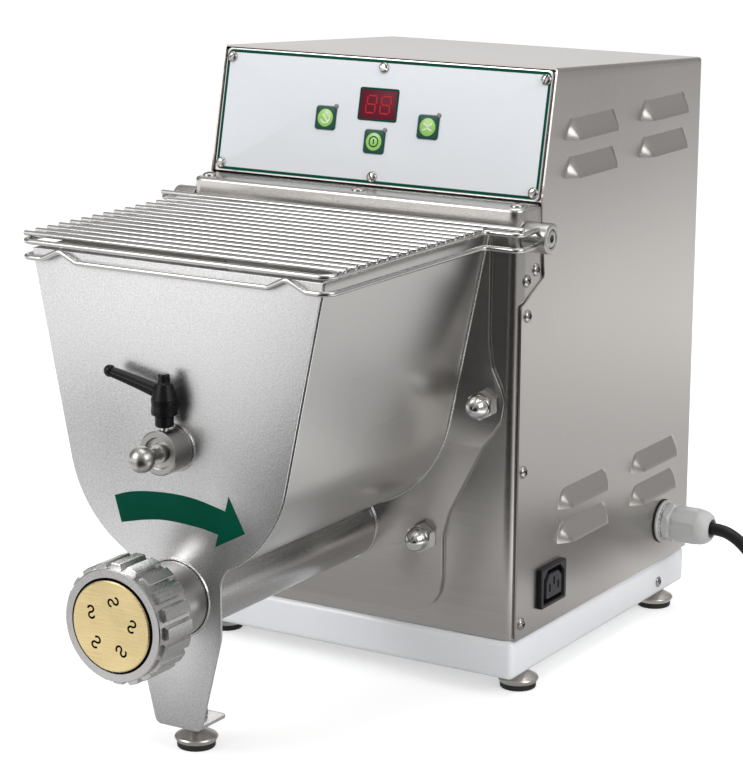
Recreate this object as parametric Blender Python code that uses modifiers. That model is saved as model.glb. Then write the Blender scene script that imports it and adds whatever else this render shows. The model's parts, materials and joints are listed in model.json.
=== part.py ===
"""Electric pasta maker in metres, +Z up, front towards -Y: a steel casing on a white base slab, a mixing
hopper with a wire lid, and an extrusion barrel whose bronze die is held by a ring nut."""

import math

import bmesh
import bpy
import numpy as np
from mathutils import Matrix, Vector

# Clearances, and how far joined shapes and cutters run into and past each other
GAP = 0.0003
SINK = 0.0005
OVERRUN = 0.003
SHAFT_PLAY = 0.0005
WELD = 0.00001

# Base slab and levelling feet
BASE_SIDE_STEP = 0.0007
BASE_FRONT = -0.002
BASE_BACK = 0.2667
BASE_BOTTOM = 0.0127
BASE_TOP = 0.0396
BASE_BACK_STEP = 0.0002
BASE_EDGE = 0.004
FOOT_SIDE_INSET = 0.0099
FOOT_FRONT = 0.0256
FOOT_BACK_INSET = 0.0298
PAD_RADIUS = 0.0122
PAD_HEIGHT = 0.004
BELL_RADIUS = 0.014
BELL_RIM = 0.0062
BELL_TOP = 0.0118
BELL_NECK = 0.0065
STUD_RADIUS = 0.004
STUD_DEPTH = 0.014
LEG_FOOT_Y = -0.1815
LEG_STUD_TOP = 0.030
LOCK_NUT_RADIUS = 0.0075
LOCK_NUT_HEIGHT = 0.005

# Casing cover, a folded sheet open at the front, back and bottom
COVER_HALF_WIDTH = 0.130
COVER_SHEET = 0.0012
COVER_FOLD = 0.0025
COVER_FRONT = 0.0015
TOP_FALL = 0.013
NOTCH_START_DROP = 0.0642
NOTCH_DEEP_Y = 0.0324
NOTCH_DEEP_DROP = 0.0492
NOTCH_TOP_Y = 0.0281
NOTCH_TOP_DROP = 0.0002
REAR_INSET = 0.0015

# Louvres pressed out of both sides of the cover
LOUVRE_LENGTH = 0.074
LOUVRE_HEIGHT = 0.0135
LOUVRE_BULGE = 0.007
LOUVRE_FRONT = 0.0582
LOUVRE_SECOND = 0.1694
LOUVRE_SILLS = (0.3677, 0.3426, 0.1175, 0.0934)
LOUVRE_LIP = 0.0002

# Front panel with side flanges and a ledge on top
PANEL_FOLD = 0.009
PANEL_SHEET = 0.0012
PANEL_TOP = 0.330
PANEL_REACH = 0.036

# Slanted fascia above the ledge
FASCIA_FOOT_Y = 0.0268
FASCIA_STEP = 0.0001
FASCIA_RISE = 0.0861
FASCIA_HEAD_Y = 0.0452
PLATE_SIDE_INSET = 0.0028
PLATE_MARGIN = 0.0018
PLATE_DEPTH = 0.0015
PLATE_INSET = 0.0002
BACKING_DEPTH = 0.0012
BACKING_WINDOW_HALF_WIDTH = 0.058
BACKING_WINDOW_LOW_SHARE = 0.159
BACKING_WINDOW_HIGH_SHARE = 0.886
DISPLAY_LEFT = -0.0151
DISPLAY_RIGHT = 0.0128
DISPLAY_LOW_SHARE = 0.5145
DISPLAY_HIGH_SHARE = 0.7383
DISPLAY_DEPTH = 0.0035
BUTTON_WIDTH = 0.0158
BUTTON_CORNER = 0.002
BUTTON_PROUD = 0.0008
BUTTON_RIM = 0.0009
BUTTON_RIM_DEPTH = 0.0012
BUTTON_STEM = 0.005
BUTTON_TRAVEL = 0.0008
MIX_BUTTON_X = -0.0412
MIX_BUTTON_SHARE = 0.493
POWER_BUTTON_X = -0.0011
POWER_BUTTON_SHARE = 0.343
EXTRUDE_BUTTON_X = 0.0390
EXTRUDE_BUTTON_SHARE = 0.4884
BOARD_HALF_WIDTH = 0.062
BOARD_LOW_SHARE = 0.1136
BOARD_HIGH_SHARE = 0.9314
BOARD_FRONT = 0.0118
BOARD_DEPTH = 0.0016
BOARD_POST = 0.003
BOARD_POST_INSET = 0.0035
SWITCH_BLOCK = 0.0062
SWITCH_FRONT = 0.0067

# Hopper section, shared by its plates and its trough
MIXER_Z = 0.1995
HOPPER_SIDE_INSET = 0.0485
HOPPER_LEAN = math.radians(11.9)
HOPPER_TOP_DROP = 0.017
HOPPER_WALL = 0.0015
TROUGH_BRIDGE = 0.0034
FRONT_PLATE_FACE = -0.201
FRONT_PLATE_DEPTH = 0.002
LEG_HALF_WIDTH = 0.033
LEG_FLARE = 0.017
LEG_TAPER_TOP = 0.082
LEG_FOOT_HALF_WIDTH = 0.017
LEG_BOTTOM = 0.018
LEG_FLANGE_HALF_WIDTH = 0.015
LEG_FLANGE_END = -0.168
LEG_CORNER = 0.004
BACK_PLATE_DEPTH = 0.003
BACK_PLATE_SIDE_INSET = 0.0095
BACK_PLATE_BOTTOM = 0.0485
BACK_PLATE_OUTLINE_SHARES = (
    (0.415, 0.0), (0.470, 0.010), (0.565, 0.031), (0.612, 0.062), (0.625, 0.100), (0.625, 0.215),
    (0.664, 0.279), (0.866, 0.461), (0.932, 0.498), (0.984, 0.536), (1.0, 0.583), (0.974, 0.620),
    (0.923, 0.666), (0.901, 0.734), (0.901, 1.0),
)
CAP_NUT_INSET = 0.0135
CAP_NUT_RISE = 0.001
LOWER_NUT_SHARE = 0.51452
NUT_ACROSS_FLATS = 0.017
NUT_HEIGHT = 0.008
NUT_DOME_RADIUS = 0.0082
NUT_DOME_HEIGHT = 0.011
NUT_STUD_RADIUS = 0.005

# Barrel, collar, die and ring nut
BARREL_BELOW = 0.0145
BARREL_RADIUS = 0.024
BARREL_BORE = 0.0205
BARREL_END = -0.246
COLLAR_RADIUS = 0.033
COLLAR_BACK = -0.238
COLLAR_FRONT = -0.258
COLLAR_MOUTH = 0.027
DIE_FLANGE_RADIUS = 0.031
DIE_FLANGE_DEPTH = 0.005
DIE_RADIUS = 0.0287
DIE_FACE = -0.269
SLOT_COUNT = 5
SLOT_CIRCLE = 0.016
SLOT_START = math.radians(10)
SLOT_HEIGHT = 0.0076
SLOT_WIDTH = 0.0012
SLOT_CURL = 0.0019
SLOT_SKIN = 0.0035
FEED_RADIUS = 0.0052
NUT_RING_RADIUS = 0.038
NUT_RING_ROOT = 0.0352
NUT_RING_BACK = -0.236
NUT_RING_FRONT = -0.2675
NUT_RING_RIM = 0.0045
NUT_RING_RIBS = 20
RIB_FOOT_SHARE = 0.36
RIB_TIP_SHARE = 0.20
NUT_LIP_RADIUS = 0.0292

# Shaft hub on the hopper front, its locking pin and clamp
HUB_RADIUS = 0.014
HUB_FRONT = -0.219
HUB_RECESS = 0.0097
HUB_RECESS_DEPTH = 0.003
PIN_RADIUS = 0.006
PIN_TIP = -0.190
PIN_NECK = 0.0025
PIN_SHOULDER = -0.2185
BALL_RADIUS = 0.0082
BALL_Y = -0.2352
CLAMP_Y = -0.2115
CLAMP_STUD = 0.003
CLAMP_COLLAR = 0.0056
CLAMP_COLLAR_LOW = 0.2167
CLAMP_COLLAR_HIGH = 0.2224
CLAMP_CORE = 0.0042
CLAMP_CORE_TOP = 0.232
LEVER_RADIUS = 0.0082
LEVER_SHOULDER = 0.2325
LEVER_TOP = 0.2423
LEVER_TOP_RADIUS = 0.0053
LEVER_CAP = 0.248
LEVER_CAP_RADIUS = 0.0035
LEVER_ARM_ROOT_Z = 0.2368
LEVER_ARM_TIP_Z = 0.2451
LEVER_ARM_LENGTH = 0.0419
LEVER_ARM_ROOT = 0.0043
LEVER_ARM_TIP = 0.0037

# Wire lid and its pivots
WIRE_RADIUS = 0.00175
LID_UPPER_RISE = 0.0042
LID_LOWER_DROP = 0.0058
LID_FRONT = -0.204
LID_SIDE_INSET = 0.01665
LID_CORNER = 0.008
ARM_SIDE_GAP = 0.0095
ARM_BEND_Y = -0.020
ARM_BEND = 0.006
ROD_PAST = 0.00595
ROD_FIRST = -0.1939
ROD_PITCH = 0.0117
ROD_COUNT = 15
LONG_ROD_Y = -0.017
LONG_ROD_PAST = 0.0018
HUMP_SIDE_INSET = 0.02955
HUMP_HALF_SPREAD = 0.0132
HUMP_BEND = 0.004
PIVOT_Y = 0.011
PIVOT_DROP = 0.0018
BOSS_RADIUS = 0.0101
BOSS_PAST = 0.0064
BOSS_EDGE = 0.0007
BOSS_RECESS = 0.0063
BOSS_RECESS_DEPTH = 0.004
PIVOT_SHANK = 0.004
PIVOT_HEAD = 0.006
PIVOT_SOCKET = 0.0029
PIVOT_SOCKET_DEPTH = 0.0022
PIVOT_NUT = 0.006
PIVOT_NUT_HEIGHT = 0.0045
PIVOT_SPACER = 0.0015
WIRE_SEAT = 0.0025

# Drive: chassis plate, gears, bearings, gearbox cover and motor
CHASSIS_SIDE_INSET = 0.012
CHASSIS_FRONT = 0.008
CHASSIS_DEPTH = 0.008
CHASSIS_TOP_DROP = 0.024
CHASSIS_FOOT = 0.046
CHASSIS_FOOT_HEIGHT = 0.004
MIXER_TEETH = 36
AUGER_TEETH = 28
PINION_TEETH = 12
GEAR_FRONT = 0.0222
GEAR_WIDTH = 0.015
TOOTH_TIP_SHARE = 0.80
TOOTH_ROOT_SHARE = 1.25
TOOTH_TIP_WIDTH_SHARE = 0.20
TOOTH_FOOT_WIDTH_SHARE = 0.52
MIXER_SHAFT = 0.010
AUGER_SHAFT = 0.008
SHAFT_TAIL = 0.008
PINION_SHAFT = 0.007
BEARING_WALL = 0.008
BEARING_FLANGE = 0.005
BEARING_FRONT = 0.0018
BEARING_BACK = 0.0205
BOX_HALF_WIDTH = 0.062
BOX_WALL = 0.003
BOX_MARGIN = 0.008
BOX_BACK = 0.052
BOX_CORNER = 0.012
BOX_BOSS = 0.013
BOX_BOSS_FRONT = 0.0405
MOTOR_RADIUS = 0.050
GEARHEAD_RADIUS = 0.045
GEARHEAD_END = 0.112
MOTOR_END = 0.222
FAN_COVER_RADIUS = 0.048
FAN_COVER_END = 0.248
FAN_COVER_WALL = 0.002
PINION_BORE_DEPTH = 0.016
FAN_SHAFT = 0.006
FAN_SHAFT_DEPTH = 0.020
FAN_RADIUS = 0.042
FAN_HUB = 0.012
FAN_FRONT = 0.228
FAN_BACK = 0.242
FAN_BLADES = 6
FAN_BLADE_DEPTH = 0.002
FAN_DISC_DEPTH = 0.003
SADDLE_HALF_WIDTH = 0.036
SADDLE_DEPTH = 0.006
SADDLE_WEB = 0.004
SADDLE_FOOT_HALF_WIDTH = 0.045
SADDLE_FRONT = 0.138
SADDLE_BACK = 0.192

# Mixing paddle and auger
PADDLE_SHAFT = 0.009
PADDLE_BACK = -0.0125
PADDLE_FRONT = -0.1965
PADDLE_SOCKET = 0.010
TIP_RADIUS = 0.006
PIN_BORE_DEPTH = 0.009
ARM_RADIUS = 0.0042
ARM_CLEARANCE = 0.0195
BLADE_CLEARANCE = 0.0085
BLADE_DEPTH = 0.020
BLADE_LENGTH = 0.026
BLADE_THICKNESS = 0.004
BLADE_PITCH = math.radians(30)
ARM_FIRST = -0.036
ARM_LAST = -0.178
ARM_COUNT = 5
ARM_START = math.radians(36)
AUGER_RADIUS = 0.020
AUGER_CORE = 0.009
AUGER_BACK = -0.0045
AUGER_NOSE = -0.243
AUGER_TIP = -0.252
AUGER_NOSE_RADIUS = 0.004
FLIGHT_PITCH = 0.034
FLIGHT_START = -0.009
FLIGHT_THICKNESS = 0.003
AUGER_TIP_RADIUS = 0.005
AUGER_SOCKET = 0.012
FLIGHT_STEPS = 8

# Electrical pieces
OUTLET_Y = 0.04885
OUTLET_Z = 0.06825
OUTLET_LENGTH = 0.0353
OUTLET_HEIGHT = 0.0276
OUTLET_PROUD = 0.003
OUTLET_BODY_LENGTH = 0.0245
OUTLET_BODY_HEIGHT = 0.020
OUTLET_BODY_DEPTH = 0.025
OUTLET_MOAT_LENGTH = 0.0215
OUTLET_MOAT_HEIGHT = 0.0165
OUTLET_MOAT_WIDTH = 0.002
OUTLET_MOAT_DEPTH = 0.014
OUTLET_SLOT_WIDTH = 0.0020
OUTLET_SLOT_HEIGHT = 0.0045
OUTLET_SLOT_SPREAD = 0.0068
OUTLET_SLOT_RISE = 0.002
OUTLET_SLOT_DEPTH = 0.008
GLAND_Y = 0.225
GLAND_Z = 0.069
GLAND_WASHER = 0.0155
GLAND_WASHER_DEPTH = 0.002
GLAND_NUT = 0.0145
GLAND_NUT_OUT = 0.0025
GLAND_NUT_LENGTH = 0.0085
GLAND_NECK = 0.0118
GLAND_CAP = 0.0138
GLAND_CAP_OUT = 0.0135
GLAND_CAP_LENGTH = 0.0165
GLAND_DOME_LENGTH = 0.0097
GLAND_MOUTH = 0.0068
GLAND_THREAD = 0.010
GLAND_LOCK_NUT = 0.013
GLAND_LOCK_DEPTH = 0.006
GLAND_REACH_IN = 0.012
TERMINAL_INNER = 0.044
TERMINAL_OUTER = 0.080
TERMINAL_HALF_DEPTH = 0.018
TERMINAL_TOP = 0.084
TERMINAL_EDGE = 0.002
CAPACITOR_SIDE_INSET = 0.055
CAPACITOR_Y = 0.200
CAPACITOR_RADIUS = 0.018
CAPACITOR_TOP = 0.112
CAPACITOR_EDGE = 0.002
CAPACITOR_TAG = 0.006
CAPACITOR_TAG_HEIGHT = 0.008
SWITCH_BOX_DEPTH = 0.014
SWITCH_BOX_FRONT = 0.0215
SWITCH_BOX_BACK = 0.034
SWITCH_BOX_TOP_DROP = 0.008
SWITCH_BOX_HEIGHT = 0.022

# Supply lead: its route's points, each out from the cover's side, then the coil, the tie and the plug
LEAD_RADIUS = 0.0045
LEAD_ROUTE = (
    (0.0445, 0.2250, 0.0690), (0.0515, 0.2250, 0.0678), (0.0595, 0.2250, 0.0640),
    (0.0680, 0.2248, 0.0573), (0.0755, 0.2243, 0.0480), (0.0825, 0.2237, 0.0375),
    (0.0895, 0.2230, 0.0275), (0.0985, 0.2222, 0.0180), (0.1090, 0.2216, 0.0110),
    (0.1180, 0.2213, 0.0075), (0.1272, 0.2212, 0.0062),
)
LEAD_STRAIGHT = 0.0045
LEAD_STEP = 0.013
COIL_OUT = 0.141
COIL_Y = 0.282
COIL_FLOOR = 0.0017
COIL_STEP = 0.0097
COIL_OUTER = 0.0608
COIL_HALF_TURNS = 2.25
COIL_POINTS = 20
COIL_CLIMB_TURNS = 0.5
COIL_LIFT_TURNS = 0.25
TAIL_LENGTH = 0.020
PLUG_RADIUS = 0.0172
PLUG_AXIS_Z = 0.0176
PLUG_RELIEF_LENGTH = 0.020
PLUG_RELIEF_RADIUS = 0.006
PLUG_RELIEF_END_RADIUS = 0.009
PLUG_BODY_LENGTH = 0.034
PLUG_EDGE = 0.003
PLUG_PIN_RADIUS = 0.0024
PLUG_PIN_LENGTH = 0.019
PLUG_PIN_SPREAD = 0.0095
TIE_WIDTH = 0.008
TIE_THICKNESS = 0.0009
TIE_CORNER = 0.004
TIE_INNER_CORNER = 0.002

# Places that follow from the sizes above
HOPPER_RADIUS = COVER_HALF_WIDTH - HOPPER_SIDE_INSET
BARREL_DROP = HOPPER_RADIUS + BARREL_BELOW
BARREL_Z = MIXER_Z - BARREL_DROP
GEAR_MODULE = 2 * BARREL_DROP / (MIXER_TEETH + AUGER_TEETH)
ARM_REACH = HOPPER_RADIUS - ARM_CLEARANCE
BLADE_REACH = HOPPER_RADIUS - BLADE_CLEARANCE
BASE_HALF_WIDTH = COVER_HALF_WIDTH - BASE_SIDE_STEP
FOOT_SIDE = BASE_HALF_WIDTH - FOOT_SIDE_INSET
FOOT_BACK = BASE_BACK - FOOT_BACK_INSET
COVER_BACK = BASE_BACK - BASE_BACK_STEP
FASCIA_FOOT_Z = PANEL_TOP + FASCIA_STEP
COVER_FRONT_TOP = FASCIA_FOOT_Z + FASCIA_RISE
COVER_BACK_TOP = COVER_FRONT_TOP - TOP_FALL
NOTCH_START = PANEL_TOP - NOTCH_START_DROP
NOTCH_DEEP_Z = PANEL_TOP - NOTCH_DEEP_DROP
NOTCH_TOP_Z = PANEL_TOP - NOTCH_TOP_DROP
HOPPER_TOP = PANEL_TOP - HOPPER_TOP_DROP
LID_UPPER_Z = HOPPER_TOP + LID_UPPER_RISE
LID_LOWER_Z = HOPPER_TOP - LID_LOWER_DROP
PIVOT_Z = HOPPER_TOP - PIVOT_DROP
LID_HALF_WIDTH = COVER_HALF_WIDTH - LID_SIDE_INSET
ARM_HALF_WIDTH = COVER_HALF_WIDTH + ARM_SIDE_GAP
HUMP_PEAK = LID_HALF_WIDTH - HUMP_SIDE_INSET
ROD_HALF_LENGTH = LID_HALF_WIDTH + ROD_PAST
LONG_ROD_HALF_LENGTH = ARM_HALF_WIDTH + LONG_ROD_PAST
BOSS_FACE = ARM_HALF_WIDTH + BOSS_PAST
BACK_PLATE_HALF_WIDTH = COVER_HALF_WIDTH - BACK_PLATE_SIDE_INSET
CAP_NUT_SIDE = BACK_PLATE_HALF_WIDTH - CAP_NUT_INSET
LOWER_NUT_SIDE = BACK_PLATE_HALF_WIDTH * LOWER_NUT_SHARE
CAP_NUT_Z = MIXER_Z + CAP_NUT_RISE
CHASSIS_HALF_WIDTH = COVER_HALF_WIDTH - CHASSIS_SIDE_INSET
CHASSIS_TOP = PANEL_TOP - CHASSIS_TOP_DROP
PLATE_HALF_WIDTH = COVER_HALF_WIDTH - PLATE_SIDE_INSET
SWITCH_BOX_HIGH = PANEL_TOP - SWITCH_BOX_TOP_DROP
COIL_X = COVER_HALF_WIDTH + COIL_OUT
CAPACITOR_X = CAPACITOR_SIDE_INSET - COVER_HALF_WIDTH
MOTOR_Z = MIXER_Z + GEAR_MODULE * (MIXER_TEETH + PINION_TEETH) / 2
COVER_INNER = COVER_HALF_WIDTH - COVER_SHEET
PANEL_HALF_WIDTH = COVER_INNER - GAP
FLANGE_INNER = PANEL_HALF_WIDTH - PANEL_SHEET
FASCIA_TILT = math.atan2(FASCIA_HEAD_Y - FASCIA_FOOT_Y, COVER_FRONT_TOP - FASCIA_FOOT_Z)
FASCIA_LENGTH = math.hypot(FASCIA_HEAD_Y - FASCIA_FOOT_Y, COVER_FRONT_TOP - FASCIA_FOOT_Z)
DISPLAY_LOW = FASCIA_LENGTH * DISPLAY_LOW_SHARE
DISPLAY_HIGH = FASCIA_LENGTH * DISPLAY_HIGH_SHARE
BOARD_LOW = FASCIA_LENGTH * BOARD_LOW_SHARE
BOARD_HIGH = FASCIA_LENGTH * BOARD_HIGH_SHARE
BUTTON_PLACES = {
    "button_mix": (MIX_BUTTON_X, FASCIA_LENGTH * MIX_BUTTON_SHARE),
    "button_power": (POWER_BUTTON_X, FASCIA_LENGTH * POWER_BUTTON_SHARE),
    "button_extrude": (EXTRUDE_BUTTON_X, FASCIA_LENGTH * EXTRUDE_BUTTON_SHARE),
}
TOP_SLOPE = math.atan2(COVER_FRONT_TOP - COVER_BACK_TOP, COVER_BACK - FASCIA_HEAD_Y)
FRONT_PLATE_BACK = FRONT_PLATE_FACE + FRONT_PLATE_DEPTH
BACK_PLATE_BACK = -GAP
BACK_PLATE_FACE = BACK_PLATE_BACK - BACK_PLATE_DEPTH
TROUGH_FRONT = FRONT_PLATE_BACK + GAP
TROUGH_BACK = BACK_PLATE_FACE - GAP
CHASSIS_BACK = CHASSIS_FRONT + CHASSIS_DEPTH
GEAR_BACK = GEAR_FRONT + GEAR_WIDTH
BOX_FRONT = CHASSIS_BACK + GAP
BACKING_FRONT = PLATE_INSET + PLATE_DEPTH + GAP
BACKING_BACK = BACKING_FRONT + BACKING_DEPTH
PLUG_START = COIL_X - TAIL_LENGTH - GAP
MACHINE_Y = -(DIE_FACE + BASE_BACK) / 2

FINISHES = {
    "casing_steel": ((0.56, 0.54, 0.51, 1.0), 0.34, 1.0),
    "hopper_steel": ((0.66, 0.65, 0.63, 1.0), 0.38, 1.0),
    "polished_steel": ((0.74, 0.73, 0.71, 1.0), 0.14, 1.0),
    "cast_aluminium": ((0.60, 0.60, 0.59, 1.0), 0.46, 1.0),
    "die_bronze": ((0.80, 0.58, 0.27, 1.0), 0.33, 1.0),
    "base_plastic": ((0.86, 0.88, 0.90, 1.0), 0.22, 0.0),
    "plate_print": ((0.74, 0.77, 0.78, 1.0), 0.34, 0.0),
    "button_green": ((0.02, 0.11, 0.08, 1.0), 0.30, 0.0),
    "display_red": ((0.12, 0.02, 0.03, 1.0), 0.10, 0.0),
    "lever_black": ((0.02, 0.02, 0.02, 1.0), 0.48, 0.0),
    "gland_grey": ((0.58, 0.58, 0.56, 1.0), 0.42, 0.0),
    "outlet_black": ((0.02, 0.02, 0.02, 1.0), 0.36, 0.0),
    "lead_rubber": ((0.015, 0.015, 0.015, 1.0), 0.55, 0.0),
    "foot_steel": ((0.60, 0.59, 0.57, 1.0), 0.24, 1.0),
    "gear_steel": ((0.46, 0.46, 0.46, 1.0), 0.36, 1.0),
    "motor_enamel": ((0.12, 0.16, 0.20, 1.0), 0.45, 0.0),
    "bearing_brass": ((0.72, 0.55, 0.26, 1.0), 0.34, 1.0),
    "board_green": ((0.03, 0.20, 0.10, 1.0), 0.50, 0.0),
    "paddle_steel": ((0.64, 0.63, 0.61, 1.0), 0.28, 1.0),
}

AIMS = {
    "up": (0.0, 0.0, 0.0),
    "right": (0.0, math.pi / 2, 0.0),
    "left": (0.0, -math.pi / 2, 0.0),
    "front": (math.pi / 2, 0.0, 0.0),
    "back": (-math.pi / 2, 0.0, 0.0),
}
PLANES = {
    "XY": (0.0, 0.0, 0.0),
    "XZ": (math.pi / 2, 0.0, 0.0),
    "YZ": (math.pi / 2, 0.0, math.pi / 2),
}


# Scene, collections, materials and frames

def clear_scene():
    """Removes every object, so the script gives the same model each run."""
    for obj in list(bpy.data.objects):
        bpy.data.objects.remove(obj, do_unlink=True)


def new_collection(name):
    """A collection linked to the scene."""
    collection = bpy.data.collections.new(name)
    bpy.context.scene.collection.children.link(collection)
    return collection


def new_material(name, colour, roughness, metallic):
    """A Principled material with the finish's colour, roughness and metallic value."""
    material = bpy.data.materials.new(name)
    material.use_nodes = True
    shader = material.node_tree.nodes["Principled BSDF"]
    shader.inputs["Base Color"].default_value = colour
    shader.inputs["Roughness"].default_value = roughness
    shader.inputs["Metallic"].default_value = metallic
    material.diffuse_color = colour
    return material


clear_scene()
PARTS = new_collection("electric_pasta_maker")
FORMS = new_collection("forms")
FORMS.hide_render = True
MATERIALS = {name: new_material(name, *finish) for name, finish in FINISHES.items()}


def new_frame(name, place, parent=None, turn=(0.0, 0.0, 0.0)):
    """An empty that carries pieces, such as the one on a joint's axis."""
    empty = bpy.data.objects.new(name, None)
    empty.location = place
    empty.rotation_euler = turn
    empty.parent = parent
    PARTS.objects.link(empty)
    return empty


MACHINE = new_frame("machine", (0.0, MACHINE_Y, 0.0))
FASCIA = new_frame("fascia", (0.0, FASCIA_FOOT_Y, FASCIA_FOOT_Z), MACHINE, (-FASCIA_TILT, 0.0, 0.0))


def new_form(mesh, place=(0.0, 0.0, 0.0), turn=(0.0, 0.0, 0.0), parent=None):
    """A shape to cut or join with, left out of the model until it becomes a part."""
    form = bpy.data.objects.new("form", mesh)
    form.location = place
    form.rotation_euler = turn
    form.parent = parent or MACHINE
    form.hide_render = True
    form.display_type = "WIRE"
    FORMS.objects.link(form)
    return form


def as_part(form, name, finish, axis=None):
    """Makes a form the part of this name, carried by the empty on its joint's axis if it moves."""
    form.name = name
    form.data.name = name
    form.data.materials.append(MATERIALS[finish])
    if len(form.data.polygons):
        form.data.shade_smooth()
        form.data.set_sharp_from_angle(angle=math.radians(32))
    form.hide_render = False
    form.display_type = "TEXTURED"
    FORMS.objects.unlink(form)
    PARTS.objects.link(form)
    if axis is not None:
        form.parent = axis
        form.matrix_parent_inverse = Matrix.Translation(-axis.location)
    return form


# Shapes

def box(low, high, edge=0.0, segments=2, turn=(0.0, 0.0, 0.0), parent=None):
    """A box between two corners, its edges rounded if asked; a turn is about its own middle."""
    low, high = Vector(low), Vector(high)
    shell = bmesh.new()
    bmesh.ops.create_cube(shell, size=1.0)
    bmesh.ops.scale(shell, vec=high - low, verts=shell.verts)
    if edge:
        bmesh.ops.bevel(shell, geom=shell.edges, offset=edge, segments=segments, profile=0.5, affect="EDGES")
    mesh = bpy.data.meshes.new("box")
    shell.to_mesh(mesh)
    shell.free()
    return new_form(mesh, (low + high) / 2, turn, parent)


def rod(start, end, radius, sides=16, end_radius=None, parent=None, roll=0.0):
    """A cylinder or cone between two points."""
    start, end = Vector(start), Vector(end)
    way = end - start
    shell = bmesh.new()
    far_radius = radius if end_radius is None else end_radius
    bmesh.ops.create_cone(shell, cap_ends=True, segments=sides, radius1=radius, radius2=far_radius,
                          depth=way.length)
    mesh = bpy.data.meshes.new("rod")
    shell.to_mesh(mesh)
    shell.free()
    turn = way.to_track_quat("Z", "Y").to_matrix() @ Matrix.Rotation(roll, 3, "Z")
    return new_form(mesh, (start + end) / 2, turn.to_euler(), parent)


def ball(centre, radius, sides=20, rings=12):
    """A sphere with its poles up and down."""
    shell = bmesh.new()
    bmesh.ops.create_uvsphere(shell, u_segments=sides, v_segments=rings, radius=radius)
    mesh = bpy.data.meshes.new("ball")
    shell.to_mesh(mesh)
    shell.free()
    return new_form(mesh, centre)


def turned(profile, place, aim, sides=32, ring=False):
    """A turned piece: (radius, height) points down its outer side, turned about the axis it is aimed along."""
    mesh = bpy.data.meshes.new("turned")
    edges = [(i, i + 1) for i in range(len(profile) - 1)]
    if ring:
        edges.append((len(profile) - 1, 0))
    mesh.from_pydata([(radius, 0.0, height) for radius, height in profile], edges, [])
    form = new_form(mesh, place, AIMS[aim])
    screw = form.modifiers.new("turn", "SCREW")
    screw.axis = "Z"
    screw.angle = math.tau
    screw.steps = sides
    screw.render_steps = sides
    screw.use_merge_vertices = True
    screw.merge_threshold = WELD
    screw.use_smooth_shade = True
    return form


def mesh_of_curve(curve):
    """The closed mesh of a curve, with its loose caps welded on."""
    carrier = bpy.data.objects.new("curve", curve)
    FORMS.objects.link(carrier)
    shaped = carrier.evaluated_get(bpy.context.evaluated_depsgraph_get())
    mesh = bpy.data.meshes.new_from_object(shaped)
    bpy.data.objects.remove(carrier, do_unlink=True)
    shell = bmesh.new()
    shell.from_mesh(mesh)
    bmesh.ops.remove_doubles(shell, verts=shell.verts, dist=WELD)
    bmesh.ops.recalc_face_normals(shell, faces=shell.faces)
    shell.to_mesh(mesh)
    shell.free()
    return mesh


def plate(outlines, low, high, plane, parent=None):
    """A flat piece: outlines in a plane, the first round the piece and the rest its holes, given a thickness."""
    curve = bpy.data.curves.new("plate", "CURVE")
    curve.dimensions = "2D"
    curve.fill_mode = "BOTH"
    curve.extrude = (high - low) / 2
    for outline in outlines:
        spline = curve.splines.new("POLY")
        spline.points.add(len(outline) - 1)
        for point, place in zip(spline.points, outline):
            point.co = (place[0], place[1], 0.0, 1.0)
        spline.use_cyclic_u = True
    middle = (low + high) / 2
    place = {"XY": (0.0, 0.0, middle), "XZ": (0.0, middle, 0.0), "YZ": (middle, 0.0, 0.0)}[plane]
    return new_form(mesh_of_curve(curve), place, PLANES[plane], parent)


def tube(points, radius, resolution=2, end_radius=None):
    """A round tube along points, thinning evenly to another radius if asked."""
    curve = bpy.data.curves.new("tube", "CURVE")
    curve.dimensions = "3D"
    curve.bevel_depth = radius
    curve.bevel_resolution = resolution
    curve.use_fill_caps = True
    spline = curve.splines.new("POLY")
    spline.points.add(len(points) - 1)
    for i, (point, place) in enumerate(zip(spline.points, points)):
        point.co = (*place, 1.0)
        if end_radius is not None:
            share = i / (len(points) - 1)
            point.radius = 1.0 + share * (end_radius / radius - 1.0)
    return new_form(mesh_of_curve(curve))


def filleted(points, radii, steps=4, closed=True):
    """Points with each corner rounded to its own radius; zero keeps a corner sharp."""
    corners = [Vector(point) for point in points]
    rounded = []
    for i, corner in enumerate(corners):
        if radii[i] == 0 or (not closed and i in (0, len(corners) - 1)):
            rounded.append(corner)
            continue
        back = (corners[i - 1] - corner).normalized()
        ahead = (corners[(i + 1) % len(corners)] - corner).normalized()
        half = back.angle(ahead) / 2
        centre = corner + (back + ahead).normalized() * (radii[i] / math.sin(half))
        first = corner + back * (radii[i] / math.tan(half)) - centre
        last = corner + ahead * (radii[i] / math.tan(half)) - centre
        sweep = first.angle(last)
        for step in range(steps + 1):
            share = step / steps
            way = first * math.sin((1 - share) * sweep) + last * math.sin(share * sweep)
            rounded.append(centre + way / math.sin(sweep))
    return rounded


def arc(centre, radius, start, end, steps):
    """Points of an arc in a plane, both ends included."""
    angles = [start + (end - start) * step / steps for step in range(steps + 1)]
    return [(centre[0] + radius * math.cos(a), centre[1] + radius * math.sin(a)) for a in angles]


def circle(centre, radius, sides):
    """Points of a whole circle in a plane."""
    return arc(centre, radius, 0.0, math.tau, sides)[:-1]


def both_sides(half):
    """A closed outline from its right half, listed from the bottom up."""
    return list(half) + [(-x, z) for x, z in reversed(half) if x > 0]


def combine(form, other, operation):
    """Adds a boolean with another form."""
    boolean = form.modifiers.new(operation.lower(), "BOOLEAN")
    boolean.operation = operation
    boolean.object = other


def join(form, *others):
    """Unites forms with this one."""
    for other in others:
        combine(form, other, "UNION")
    return form


def cut(form, *others):
    """Cuts forms out of this one."""
    for other in others:
        combine(form, other, "DIFFERENCE")
    return form


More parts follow.
